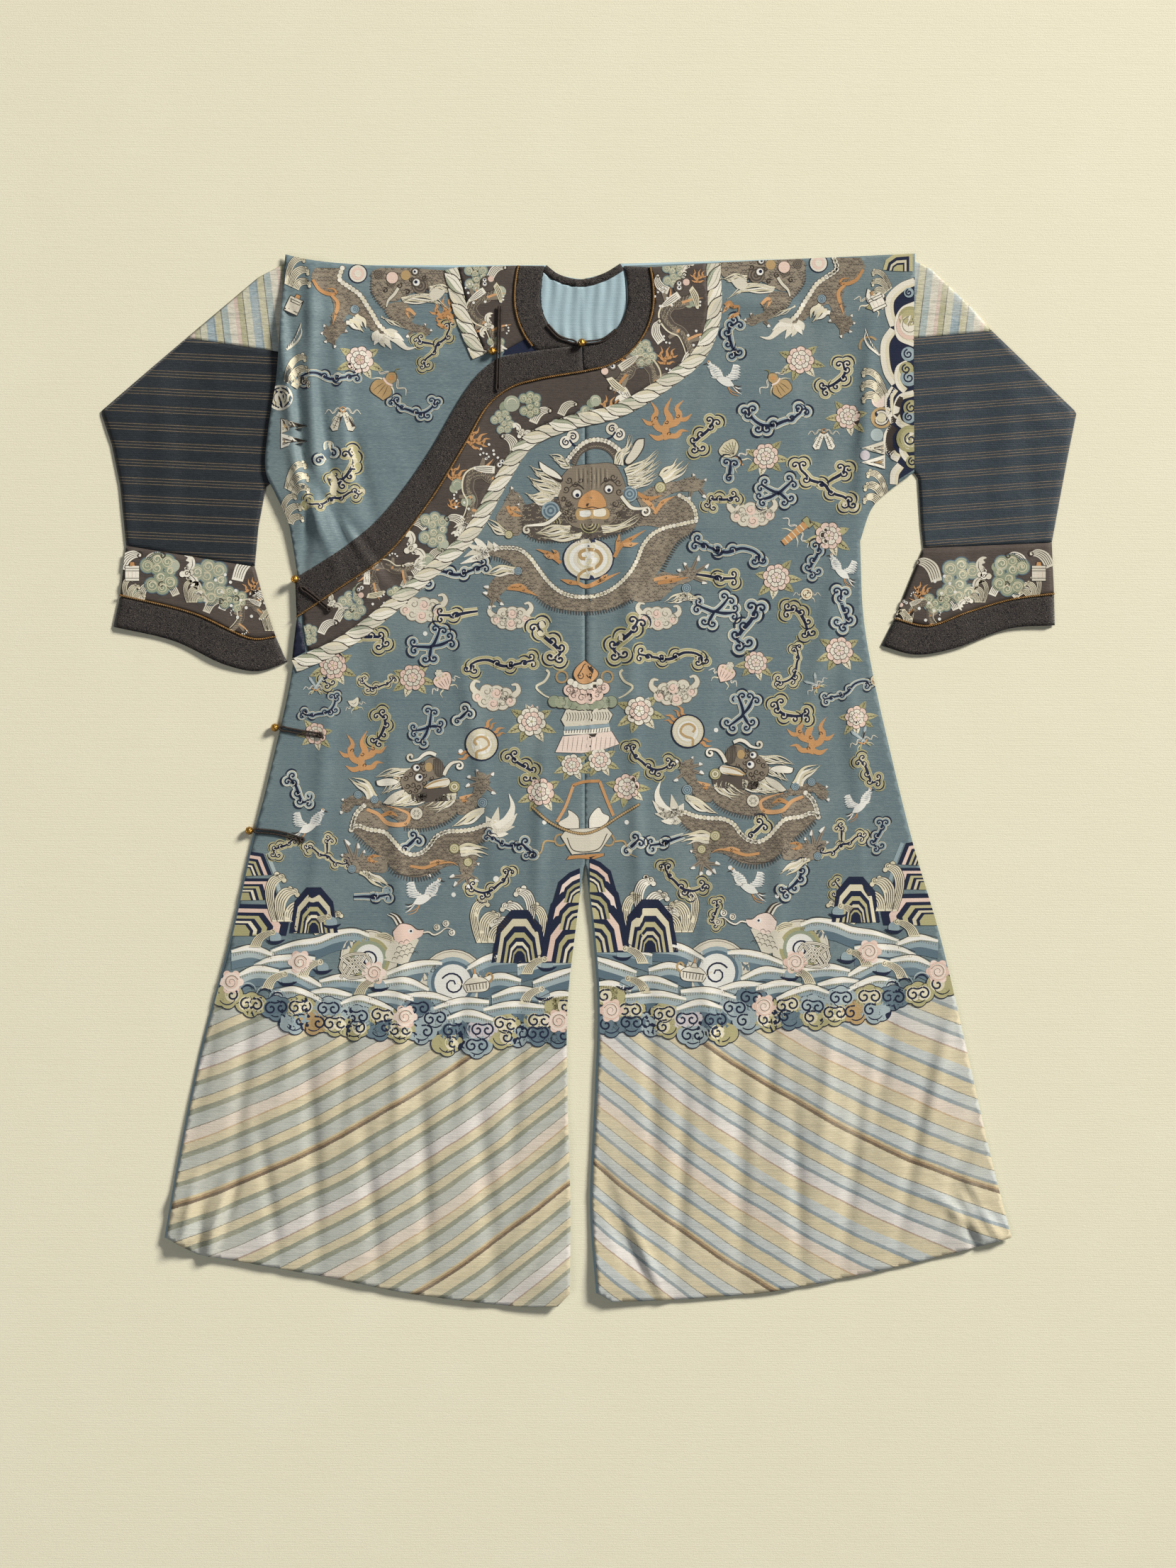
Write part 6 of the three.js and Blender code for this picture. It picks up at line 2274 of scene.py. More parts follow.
def back_comb(pen, path, radius=3.0, level=2):
    """The ivory scalloped comb along the back."""
    for x, y in respace(smooth(path, 3), radius * 1.75):
        pen.disc(x, y, radius + 0.7, "dark_scale", level, 0)
        pen.disc(x, y, radius, "ivory", level + 1)
    pen.line(path, radius, "cream", level + 1, (0.8, 0.8))


def belly(pen, path, reach=5.0, level=2):
    """Short slanting strokes along the belly's edge."""
    path = respace(smooth(path, 3), 3.8)
    along = np.gradient(path, axis=0)
    along /= np.hypot(*along.T)[:, None]
    for (x, y), (dx, dy) in zip(path, along):
        pen.line([(x - dy * 1.5, y + dx * 1.5), (x + dy * reach + dx, y - dx * reach + dy)], 1.4,
                 "dark_scale", level, (1, 0.4))


def tufts(pen, pairs, scale, colour="cream", lines=4, level=3):
    """Tufts of combed hair; each pair of lines meets at a tip."""
    for first, second in pairs:
        sides = [smooth(sketch(text, scale), 1.5) for text in (first, second)]
        one, two = [side[np.linspace(0, len(side) - 1, 12).astype(int)] for side in sides]
        wide = np.hypot(*(one - two).T).max() / lines
        for k in range(lines):
            share = (k + 0.5) / lines
            path = one * (1 - share) + two * share
            if k % 2:
                path = path[:-2]
            wave = 1.2 * np.sin(np.linspace(0, 8, len(path)) + k)
            path = offset(path, wave)
            pen.line(path, wide * 1.25, "line", level, (1.0, 0.1), 0)
            pen.line(path, wide * 0.92, (colour, "ivory")[k % 2], level + 1, (1.0, 0.05))


def talons(pen, joints, scale, level=3):
    """Toes with white talons: each entry runs from the foot to the talon's tip."""
    for text in joints:
        start, tip = sketch(text, scale)
        middle = (start[0] * 0.35 + tip[0] * 0.65, start[1] * 0.35 + tip[1] * 0.65)
        pen.line([start, middle, (tip[0], tip[1])], 4.6, "scale", level - 1, (1.2, 0.7))
        pen.line([start, middle], 0.8, "dark_scale", level, (0.8, 0.8))
        bend = (middle[0] + (tip[1] - start[1]) * 0.12, middle[1] - (tip[0] - start[0]) * 0.12)
        pen.line([bend, (tip[0] * 0.9 + bend[0] * 0.1, tip[1] * 0.9 + bend[1] * 0.1), tip], 4.0, "white",
                 level + 1, (1.0, 0.2))


def eye(pen, x, y, radius, look=(0, 0), level=7):
    for reach, colour in ((2.2, "line"), (1.2, "scale"), (0.6, "line"), (0, "white")):
        pen.disc(x, y, radius + reach, colour, level, 0)
        level += 0.5
    pen.disc(x + look[0], y + look[1], radius * 0.5, "navy", level, 0)


def rings(pen, x, y, radius, colours=("grey_blue", "slate"), level=4):
    """Nested rings, as on the cheeks and joints."""
    pen.disc(x, y, radius + 0.6, "line", level, 0)
    for number in range(5):
        pen.disc(x, y, radius * (1 - number * 0.2), colours[number % 2], level + 1 + number * 0.4, 1)


def whisker(pen, text, scale, curl, level=6):
    path = sketch(text, scale)
    pen.line(path, 6.2, "line", level, (1.0, 0.55))
    pen.line(path, 4.8, "ivory", level + 1, (1.0, 0.55))
    radius, start, turns = curl
    x, y = path[-1]
    angle = math.radians(start)
    place = (x - radius * math.cos(angle), y - radius * math.sin(angle))
    pen.curl(*place, radius, start, turns, 4.4, "line", level, (0.8, 0.9))
    pen.curl(*place, radius, start, turns, 3.2, "ivory", level + 1, (0.8, 0.9))


def tongues(pen, lines, scale, width=5.0, level=2):
    """Orange fire along the limbs, with small dark curls."""
    for text in lines:
        path = sketch(text, scale)
        pen.line(path, width, "orange", level, (0.7, 0.1))
        x, y = path[len(path) // 2]
        pen.curl(x, y, 1.9, 180, 0.9, 0.8, "line", level + 1)


def face_lines(pen, marks, scale, level=6):
    """Small dark curls that give the face its frown."""
    for px, py, radius, start, turns in marks:
        x, y = px / scale, -py / scale
        pen.curl(x, y, radius + 0.2, start, turns, 1.6, "line", level, (0.6, 0.9))


# %% The front-faced dragon
def front_dragon():
    pen, s = Pen(spot(640, 600), 0, PIXEL), FRONT_VIEW
    spine = ("200 742 300 733 390 742 450 785 500 850 560 930 620 985 690 1018 770 1028 860 1018 940 985 "
             "1010 930 1062 870")
    spine += " 1100 800 1132 720 1185 655 1260 615 1360 592 1448 572"
    outer = ("200 775 300 802 370 852 425 920 480 1005 560 1072 680 1108 850 1112 960 1088 1060 1040 1150 "
             "965 1230 865")
    outer += " 1285 775 1340 695 1420 640 1450 600"
    inner_line, outer_line = smooth(sketch(spine, s), 3), smooth(sketch(outer, s), 3)
    scaly(pen, np.vstack([inner_line, outer_line[::-1]]), 0)
    limb(pen, "1070 610 1150 520 1240 470 1340 420 1410 480 1448 565 1350 590 1240 612 1160 600 "
              "1070 610", s, 1)
    limb(pen, "1090 430 1140 395 1230 352 1330 335 1430 312 1500 350 1460 392 1330 400 1240 445 "
              "1150 520 1090 430", s, 2)
    limb(pen, "300 470 345 395 400 420 440 560 385 660 320 640 255 560 300 470", s, 1)
    limb(pen, "215 950 260 900 340 880 430 900 500 960 460 1010 340 975 285 1010 240 1060 200 "
              "1010 215 950", s, 2)
    limb(pen, "1060 1045 1150 960 1240 880 1330 890 1420 850 1460 880 1420 930 1330 960 1240 "
              "1040 1130 1060 1060 1045", s, 2)
    belly(pen,
          sketch("230 785 300 806 370 858 425 926 480 1008 560 1076 680 1110 850 1114 960 1090 1060 1044",
                 s))
    belly(pen, sketch("1240 870 1290 775 1345 695 1430 635", s))
    back_comb(pen, sketch(spine, s))
    back_comb(pen, sketch("1450 555 1440 505 1405 455 1350 420", s))
    for text in ("205 760 150 700 100 660", "205 758 130 735 70 705", "205 760 120 760 60 790",
                 "200 766 120 800 40 830", "210 768 160 790 110 800", "230 750 215 715 205 690",
                 "260 748 245 720 240 700"):
        pen.line(sketch(text, s), 9, "ivory", 3, (1, 0.08))
    tongues(pen, ["320 485 350 530 410 545", "335 500 370 500 400 520", "1095 405 1160 440 1245 420",
                  "1200 530 1250 460 1320 425", "1130 440 1180 480 1210 525", "320 975 420 985 500 1020",
                  "340 965 400 960 440 975", "1195 925 1270 910 1350 905", "1220 945 1300 930 1400 910"],
            s, 6.5, 4)
    talons(pen, ["1440 330 1430 290", "1480 345 1510 320", "1470 380 1510 435", "1420 395 1410 450",
                 "350 410 345 368", "385 430 395 425", "385 450 392 480", "255 1000 180 965",
                 "240 1040 175 1000", "235 1050 215 1100", "255 1030 300 1075", "1430 860 1465 780",
                 "1455 875 1525 830", "1440 910 1515 945", "1400 870 1375 822", "1390 895 1335 865"], s,
           4)
    tufts(pen, [("340 640 280 600 240 570 200 545", "330 665 270 655 220 620 190 590"),
                ("380 850 300 835 230 860 180 890", "360 890 300 900 240 905 185 895"),
                ("1390 985 1330 1010 1290 1030 1250 1050", "1400 1030 1350 1060 1320 1070 1290 1075"),
                ("1380 990 1420 1010 1440 1020 1470 1035", "1330 1040 1390 1050 1420 1050 1465 1045")], s)
    rings(pen, 385 / s, -872 / s, 5.5)
    rings(pen, 1392 / s, -975 / s, 6.5)
    rings(pen, 330 / s, -655 / s, 5.5, ("olive", "cream"))
    rings(pen, 1235 / s, -372 / s, 7.5, ("olive", "cream"))

    # Head: frill, arch, hair, horns, then the face itself.
    frill = sketch("420 480 405 560 430 640 500 685 640 688 800 680 950 655 1070 608 1125 535 1040 470 "
                   "600 440 420 480", s)
    scaly(pen, smooth(frill, 3), 3, 4.6, "dark_scale")
    belly(pen, sketch("405 560 430 640 500 685 640 690 800 682 950 658 1070 612 1125 540", s), 4, 4)
    pen.line(sketch("715 235 745 170 800 130 860 118 925 140 965 185 985 240", s), 11, "dark_scale", 2,
             (0.8, 0.8))
    for text in ("715 235 745 170 800 130 860 118 925 140 965 185 985 240",):
        for x, y in respace(smooth(sketch(text, s), 3), 3.4):
            pen.arc(x, y, 2.6, 200, 340, 0.9, "pale_scale", 3)
    back_comb(pen, sketch("680 212 730 150 790 102 860 88 930 105 985 145", s), 3.2, 4)
    hair = [("690 235 650 190 610 175 572 172", "705 262 650 252 610 225 572 182"),
            ("640 330 560 275 500 262 455 235", "640 392 560 352 500 312 460 248"),
            ("640 380 570 342 500 330 440 300", "622 432 560 422 490 382 446 312"),
            ("612 420 540 402 480 420 425 400", "562 472 505 475 470 452 432 408"),
            ("960 232 980 160 1020 130 1055 50", "1010 242 1022 192 1060 150 1066 62"),
            ("1020 262 1100 222 1160 190 1220 150", "1040 322 1120 292 1180 242 1226 162"),
            ("1040 312 1120 272 1180 242 1240 210", "1040 352 1120 332 1190 282 1242 222"),
            ("1040 342 1120 322 1180 302 1225 285", "1060 392 1130 372 1180 342 1226 297"),
            ("1232 300 1262 252 1300 236 1335 196", "1262 340 1320 328 1380 282 1430 222")]
    tufts(pen, hair, s, "cream", 6, 5)
    pen.fill(smooth(sketch("508 212 560 245 618 282 655 325 640 345 560 300 520 262 508 212", s), 3),
             "line", 7, 0)
    pen.fill(smooth(sketch("512 218 560 250 616 286 648 325 600 312 545 285 520 255 512 218", s), 3),
             "ivory", 8)
    pen.fill(smooth(sketch("1142 78 1138 132 1092 205 1042 242 1018 222 1058 150 1096 84 1142 78", s), 3),
             "line", 7, 0)
    pen.fill(smooth(sketch("1136 84 1132 130 1088 200 1042 234 1026 220 1062 152 1100 90 1136 84", s), 3),
             "ivory", 8)
    rings(pen, 580 / s, -512 / s, 13, level=5)
    rings(pen, 1052 / s, -412 / s, 11, level=5)
    for x, y in ((595, 585), (1012, 482)):
        for number in range(5):
            pen.arc(x / s, -y / s, 10 - 2 * number, -10, 190, 1.2, ("olive", "line")[number % 2], 6, (1, 1))
    face = smooth(sketch("700 245 820 232 955 232 1005 300 1030 390 1010 480 960 575 880 612 760 620 690 "
                         "590 645 500 622 400 645 310 700 245", s), 3)
    pen.fill(face, "line", 5, 0)
    pen.fill(np.array(face) * 0.99 + [2.0, -1.2], "scale", 6, 0)
    for x in range(735, 930, 13):
        pen.line(sketch(f"{x} {252 + abs(x - 830) * 0.1} {x + 2} 330 {x} {390 - abs(x - 830) * 0.3}", s),
                 1.3, ("pale_scale", "dark_scale")[(x // 13) % 2], 7, (0.4, 0.3))
    limb(pen, "650 430 700 450 740 520 720 590 680 560 650 500 650 430", s, 6, 4.2)
    limb(pen, "930 480 1000 440 1010 480 960 560 900 590 930 480", s, 6, 4.2)
    face_lines(pen, [(690, 330, 5, 200, 1.2), (728, 352, 5, 150, 1.1), (672, 385, 5, 220, 1.2),
                     (690, 470, 5, 120, 1.2), (672, 520, 4, 200, 1.2), (700, 560, 4, 120, 1.1),
                     (955, 312, 5, 10, -1.2), (985, 345, 5, -20, -1.2), (910, 325, 4.5, 30, -1.1),
                     (990, 400, 5, -30, -1.2), (965, 470, 5, 40, -1.2), (985, 530, 4, 0, -1.2),
                     (760, 330, 4, 200, 1.0), (655, 440, 4, 210, 1.2)], s, 7)
    for side, x, y in ((1, 735, 372), (-1, 925, 345)):
        pen.at((x / s, -y / s), -6 * side, 1, side).line([(-10, -2), (-4, 3.5), (4, 3), (11, -2)], 2.2,
            "line", 8, (0.4, 0.6))
    eye(pen, 737 / s, -412 / s, 5.6, (0.6, -2.0))
    eye(pen, 927 / s, -383 / s, 5.2, (0.4, -1.6))
    nose = sketch("738 490 752 445 800 400 830 388 872 402 905 445 912 488 860 502 780 502 738 490", s)
    pen.fill(smooth(nose, 3), "line", 7, 0)
    pen.fill(smooth([(x * 0.985 + 2.9, y * 0.985 - 1.6) for x, y in nose], 3), "orange", 8, 0)
    pen.line(sketch("745 492 780 500 830 490 870 500 908 490", s), 1.4, "line", 9, (0.6, 0.6), 0)
    mouth = smooth(sketch("725 530 740 502 830 508 915 498 935 525 920 562 830 560 740 568 725 530", s), 3)
    pen.fill(mouth, "line", 7, 0)
    pen.fill(np.array(mouth) * 0.99 + [2.0, -1.2], "tan", 8)
    pen.fill(smooth(sketch("752 515 815 512 818 542 756 546 752 515", s), 3), "white", 9)
    pen.fill(smooth(sketch("836 508 905 502 908 540 838 542 836 508", s), 3), "ivory", 9)
    for number in range(6):
        pen.arc(812 / s, -590 / s, 13 - 2.1 * number, 180, 360, 1.5, ("olive", "line")[number % 2], 7,
                (0.8, 0.8))
    beard = [("700 600 620 595 550 615 492 640", "690 650 620 660 550 662 484 655"),
             ("770 640 690 650 610 660 520 668", "750 682 690 692 610 690 530 680"),
             ("880 602 960 600 1040 562 1112 532", "892 642 980 632 1060 602 1116 546")]
    tufts(pen, beard, s, "cream", 5, 7)
    whisker(pen, "640 520 600 560 550 590 490 598 440 602", s, (6.0, 90, 1.0), 8)
    whisker(pen, "1002 425 1030 462 1065 495 1120 500 1160 492", s, (7.0, 60, -1.1), 8)
    for x, y, flip in ((695, 92, 1), (965, 45, -1)):
        own = pen.at((x / s, -y / s), 25 * flip, 1, flip)
        own.disc(-6, 0, 9.4, "line", 0, 0)
        own.disc(6, 3, 9.4, "line", 0, 0)
        own.disc(-6, 0, 8.8, "ivory", 1)
        own.disc(6, 3, 8.8, "ivory", 1)
        own.curl(-6, 0, 5.4, 80, 1.3, 1.8, "navy", 2, (1, 1), 0)
        own.curl(6, 3, 5.4, 100, -1.3, 1.8, "navy", 2, (1, 1), 0)
        own.line([(0, 1), (2, -8), (8, -14)], 2.6, "navy", 2, (1, 0.5), 0)
    # The pearl in the coil.
    for radius, colour, level in ((36.5, "navy", 3), (34.4, "ivory", 4), (30, "cream", 4.5),
                                  (27, "white", 5), (21, "ivory", 5.5), (16, "cream", 6),
                                  (13, "white", 6.5)):
        pen.disc(805 / s, -800 / s, radius, colour, level, 1, 0.82)
    pen.line(sketch("790 800 762 795 755 765 800 745 860 755 885 800 850 850 780 872 748 900 745 945", s),
             4.6, "tan", 7, (1.1, 0.8), 1)
    tongues(pen, ["640 825 600 790 560 765 495 742", "625 800 610 760 590 745", "600 790 570 785 540 775",
                  "960 790 1000 720 1060 680 1145 628", "975 750 985 690 990 650",
                  "1010 715 1060 715 1105 705", "745 945 700 940 640 922",
                  "745 945 790 965 870 935 995 880", "870 935 905 905 920 890"], s, 7, 5)


# %% The side dragons
def side_dragon(pen):
    s = SIDE_VIEW
    spine = "170 590 120 640 95 700 80 762"
    back = ("90 745 130 732 200 758 320 780 380 840 440 905 505 938 570 930 632 882 685 812 760 775 850 "
            "770 950 757 1030 728 1110 705")
    outer = ("96 775 180 852 280 942 345 1012 420 1070 520 1100 640 1082 760 1022 860 1000 905 905 1000 "
             "852 1072 782 1122 715")
    scaly(pen, np.vstack([smooth(sketch(back, s), 3), smooth(sketch(outer, s), 3)[::-1]]), 0)
    limb(pen, "175 600 270 640 330 705 345 760 210 745 100 730 110 660 175 600", s, 0)
    limb(pen, "270 580 400 600 540 600 640 560 740 540 830 545 830 640 760 700 640 742 540 752 "
              "460 742 400 690 330 650 270 580", s, 1)
    limb(pen, "820 545 930 520 965 430 990 350 1058 385 1062 450 1000 535 965 605 850 655 820 "
              "545", s, 2)
    limb(pen, "5 600 40 545 110 510 200 535 290 560 300 600 200 600 110 585 50 640 5 600", s, 2)
    limb(pen, "60 930 100 955 190 945 320 955 330 1060 210 1062 110 1065 40 1000 30 930 60 930", s, 2)
    limb(pen, "845 1000 900 925 975 945 960 1015 935 1085 890 1110 860 1060 845 1000", s, 2)
    belly(pen, sketch("460 742 540 754 640 744 760 702 830 642", s))
    belly(pen, sketch("110 790 180 856 280 946 345 1016 420 1074 520 1104 640 1086 700 1052", s), 6)
    belly(pen, sketch("990 858 1072 786 1118 720", s))
    pen.line(sketch("380 1066 470 1085 560 1085 640 1062", s), 1.0, "dark_scale", 3)
    back_comb(pen, sketch(spine, s), 3.4)
    back_comb(pen, sketch(back, s), 3.2)
    for text in ("1085 755 1110 680 1128 600", "1090 755 1190 690 1230 600 1205 505",
                 "1095 760 1200 720 1262 645", "1095 765 1180 750 1245 738", "1090 772 1150 790 1200 790",
                 "1080 745 1060 700 1040 665", "1075 770 1110 800 1130 800"):
        pen.line(sketch(text, s), 11, "ivory", 3, (1.1, 0.08))
    tongues(pen, ["190 615 270 650 340 715 470 715 492 655 420 615 330 590", "300 660 360 640 410 665"],
            s, 6.5, 4)
    tongues(pen, ["500 1020 600 1032 700 1000 800 995 845 1020", "640 1000 700 985 760 988",
                  "200 985 230 950 290 950", "200 960 240 990 270 985", "850 535 900 525 945 505",
                  "870 545 890 560 905 545"], s, 5, 4)
    pen.disc(545 / s, -645 / s, 9.4, "line", 4, 0)
    pen.disc(545 / s, -645 / s, 8.6, "ivory", 5)
    for turn in range(0, 360, 60):
        way = math.radians(turn)
        pen.disc(545 / s + 4 * math.cos(way), -645 / s + 4 * math.sin(way), 1.4, "line", 6, 0)
        pen.disc(545 / s + 4 * math.cos(way), -645 / s + 4 * math.sin(way), 0.8, "ivory", 7)
    talons(pen, ["985 370 972 330", "1040 395 1098 352", "975 400 905 385", "985 430 895 455",
                 "1040 450 1112 505", "50 560 10 545", "40 600 5 650", "90 960 35 830", "110 960 128 855",
                 "150 955 175 905", "50 960 5 940", "880 1090 780 1100", "890 1100 810 1165",
                 "905 1100 925 1180", "920 1080 990 1130", "950 1010 995 1000"], s, 4)
    tufts(pen, [("270 520 230 450 170 402 90 378", "190 545 150 472 90 440 40 402"),
                ("1030 600 960 610 880 680 790 735", "1015 640 980 692 900 722 800 740"),
                ("850 880 920 856 1000 868 1060 898", "862 950 930 940 1000 960 1062 962"),
                ("130 1065 200 1110 260 1160 300 1190", "210 1065 280 1100 340 1130 392 1155")], s)
    rings(pen, 1015 / s, -568 / s, 7)
    rings(pen, 128 / s, -512 / s, 5.5)
    rings(pen, 245 / s, -545 / s, 5.5)
    rings(pen, 815 / s, -895 / s, 7, ("olive", "cream"))
    rings(pen, 912 / s, -992 / s, 6, ("olive", "cream"))
    rings(pen, 85 / s, -1040 / s, 5.5)

    tufts(pen, [("505 320 400 320 300 350 245 382", "490 372 400 382 330 392 262 396"),
                ("440 395 370 420 320 465 288 498", "470 440 400 470 350 500 300 520"),
                ("480 480 420 500 350 540 300 568", "560 540 480 560 380 595 310 580"),
                ("830 500 760 500 660 560 590 592", "820 562 760 602 700 642 650 636"),
                ("620 490 520 512 440 552 360 588", "620 560 540 582 460 602 392 602")], s, "cream", 6, 5)
    for text in ("252 412 330 392 400 400 432 420 400 440 340 450 262 446 252 412",
                 "300 572 360 512 420 480 470 470 450 510 390 560 340 588 300 572"):
        pen.fill(smooth(sketch(text, s), 3), "line", 6, 0)
        outline = np.array(smooth(sketch(text, s), 3))
        pen.fill(outline.mean(0) + (outline - outline.mean(0)) * 0.9, "ivory", 7)
    face = smooth(sketch("425 410 470 345 530 312 590 285 640 245 700 252 738 300 745 370 700 395 640 405 "
                         "602 445 565 505 490 505 440 460 425 410", s), 3)
    pen.fill(face, "line", 6, 0)
    pen.fill(face.mean(0) + (face - face.mean(0)) * 0.965, "scale", 7, 0)
    pen.fill(smooth(sketch("665 258 700 250 735 300 742 372 700 385 670 350 665 258", s), 3),
             "dark_scale", 8)
    for x in range(672, 740, 12):
        pen.line(sketch(f"{x} 265 {x + 3} 320 {x} 378", s), 0.8, "scale", 9, (0.4, 0.4))
    jaw = smooth(sketch("500 500 600 470 700 470 800 440 835 480 820 540 700 560 600 560 520 560 500 500",
                        s), 3)
    pen.fill(jaw, "dark_scale", 6)
    pen.disc(632 / s, -315 / s, 6.2, "line", 8, 0)
    pen.disc(632 / s, -315 / s, 5.6, "tan", 9, tall=1.15)
    lip = smooth(sketch("595 455 640 420 700 400 775 392 792 420 770 452 700 462 620 470 595 455", s), 3)
    pen.fill(lip, "line", 8, 0)
    pen.fill(lip.mean(0) + (lip - lip.mean(0)) * 0.93, "ivory", 9)
    pen.line(sketch("600 460 660 425 720 408 770 402", s), 2.6, "tan", 10, (0.8, 0.3))
    pen.line(sketch("620 466 690 458 760 445", s), 2.2, "tan", 10, (0.8, 0.3))
    for radius, colour, level in ((8.2, "line", 8), (7.6, "olive", 9), (5.4, "line", 9.5),
                                  (4.8, "cream", 10), (2.4, "line", 10.5), (1.7, "olive", 11)):
        pen.disc(815 / s, -455 / s, radius, colour, level, 0)
    face_lines(pen, [(505, 362, 4, 200, 1.2), (470, 392, 4, 210, 1.2), (520, 440, 4.4, 180, 1.2),
                     (560, 455, 4, 160, 1.2), (600, 330, 4, 120, 1.0), (600, 430, 4, 60, -1.1),
                     (540, 480, 4, 200, 1.2), (585, 285, 3.6, 60, -1.1), (480, 450, 4, 190, 1.2),
                     (600, 375, 3.6, 40, -1.1), (650, 395, 3.4, 60, -1.0), (500, 490, 3.4, 180, 1.1)], s,
               8)
    eye(pen, 545 / s, -320 / s, 4.4, (1.4, 0.6), 8)
    eye(pen, 563 / s, -388 / s, 5.0, (1.6, 0.8), 8)
    whisker(pen, "684 228 640 212 600 225 560 258 520 268", s, (6.0, 300, -1.0), 8)
    whisker(pen, "740 372 765 320 800 285 850 275", s, (6.0, 90, -1.1), 8)
    pearl(pen.at((1010 / s, -150 / s), 0, 1.0, 1, 1), 22)


front_dragon()
left = np.array(spot(480, 1020))
side_dragon(Pen(left, 0, PIXEL))
side_dragon(Pen((-left[0], left[1] + 17), 0, PIXEL, -1))
weave("dragons")

# %% [markdown]
# ## Shoulders, sleeve ends and the centre
#
# A dragon lies along each shoulder, cut by the shoulder fold. At the right sleeve end stands a
# border of white arched waves with navy between them; on the left the same border is folded
# under, and only its crests and treasures show. A canopy, a bowl and a string of beads hang in the
# middle, worked across the centre seam.


# %% Shoulder dragons
def shoulder_dragon(pen):
    s = SHOULDER_VIEW
    back = "790 40 808 110 742 162 680 208 640 268 600 330 560 398 515 440 470 468"
    outer = ("960 40 985 100 930 170 862 225 842 300 850 380 800 402 752 332 700 362 640 402 590 442 540 "
             "466 490 482")
    scaly(pen, np.vstack([smooth(sketch(back, s), 3), smooth(sketch(outer, s), 3)[::-1]]), 0)
    limb(pen, "790 300 850 320 862 400 905 430 880 500 850 520 800 460 770 430 760 390 800 370 "
              "790 300", s, 1)
    limb(pen, "330 330 400 255 520 280 500 345 400 420 330 445 265 472 232 432 300 402 350 380 "
              "330 330", s, 0)
    limb(pen, "560 100 600 90 605 180 575 240 520 300 500 260 545 210 560 100", s, 1)
    belly(pen, sketch("605 120 608 180 580 240 525 300 500 345 420 400", s), 4)
    back_comb(pen, sketch(back, s), 3.4)
    for text in ("520 452 440 500 380 548 322 540", "520 450 480 440 440 440", "520 455 450 465 400 500",
                 "530 455 510 500 480 552", "540 455 540 510 520 540", "550 455 575 500 590 525",
                 "555 450 590 470 596 500"):
        pen.line(sketch(text, s), 9, "ivory", 3, (1.1, 0.08))
    tongues(pen, ["975 115 930 180 870 205 830 200 840 175 890 170", "860 210 818 260 830 330 850 400",
                  "330 335 370 300 385 310 365 360", "100 340 130 320 150 350 190 350 185 390",
                  "190 390 150 410 120 425", "130 330 110 360 85 390"], s, 5.5, 4)
    talons(pen, ["880 430 905 398", "890 450 925 452", "860 490 905 508", "840 500 838 548",
                 "800 440 755 442", "275 410 262 392", "260 430 222 436", "350 440 388 476"], s, 4)
    tufts(pen, [("690 325 660 350 640 385 628 415", "775 395 735 408 695 436 672 468"),
                ("545 340 500 360 440 390 385 420", "540 350 500 385 440 405 392 424")], s)
    rings(pen, 712 / s, -300 / s, 6)
    limb(pen, "60 60 420 40 600 60 590 170 540 232 460 250 380 210 300 180 200 170 90 160 60 60",
         s, 2, 4.6, "scale")
    tufts(pen, [("420 225 330 200 220 215 108 302", "400 262 320 262 220 262 120 306"),
                ("240 150 180 140 120 160 80 170", "240 230 190 200 130 200 84 176")], s, "cream", 6, 4)
    pen.fill(smooth(sketch("140 190 200 165 240 195 225 240 180 235 140 190", s), 3), "ivory", 6)
    for x, y, radius in ((300, 150, 11), (560, 80, 6), (480, 130, 6)):
        rings(pen, x / s, -y / s, radius, ("scale", "dark_scale"), 4)
    pen.disc(475 / s, -100 / s, 9, "line", 6, 0)
    pen.disc(475 / s, -100 / s, 8.2, "pink", 7)
    pen.disc(390 / s, -85 / s, 7, "tan", 6)
    eye(pen, 322 / s, -130 / s, 4.8, (0.8, 0.6), 7)
    eye(pen, 330 / s, -62 / s, 3.4, (0.6, 0), 7)
    face_lines(pen, [(270, 100, 4, 200, 1.2), (350, 110, 4, 20, -1.2), (430, 150, 4, 100, 1.1),
                     (380, 190, 4, 30, 1.1), (250, 180, 4, 200, 1.1), (520, 180, 4, 60, 1.1)], s, 6)
    pen.line(sketch("436 165 462 205 500 245 512 285", s), 5.4, "line", 6, (1.0, 0.4))
    pen.line(sketch("436 165 462 205 500 245 512 285", s), 4.2, "ivory", 7, (1.0, 0.4))
    for radius, colour, level in ((13.5, "navy", 1), (12, "ivory", 2), (9, "pink", 3), (5, "ivory", 4)):
        pen.disc(692 / s, -75 / s, radius, colour, level, 0)


def beaker(pen):
    boxed(pen, [(-11, 12), (11, 12), (11, -12), (-11, -12)], "ivory", 2)
    for y in (8, 4, -8):
        pen.line([(-11, y), (11, y)], 1.0, "line", 4)
    for x in (-6, 0, 6):
        pen.line([(x, 3), (x, -7)], 0.7, "pink", 4)
    boxed(pen, [(-4, 12), (4, 12), (3, 18), (-3, 18)], "orange", 3)


def feather(pen):
    pen.line([(18, -8), (8, -4), (-4, 2), (-14, 14), (-14, 22)], 3.6, "ivory", 2, (1, 0.3))
    for k in range(8):
        x, y = 15 - 4 * k, -7 + 2.6 * k + 0.22 * k * k
        pen.line([(x, y), (x - 4, y + 7)], 1.6, "ivory", 2, (1, 0.2))
        pen.line([(x + 1.6, y), (x - 2, y + 7)], 0.8, "line", 3, (1, 0.2))


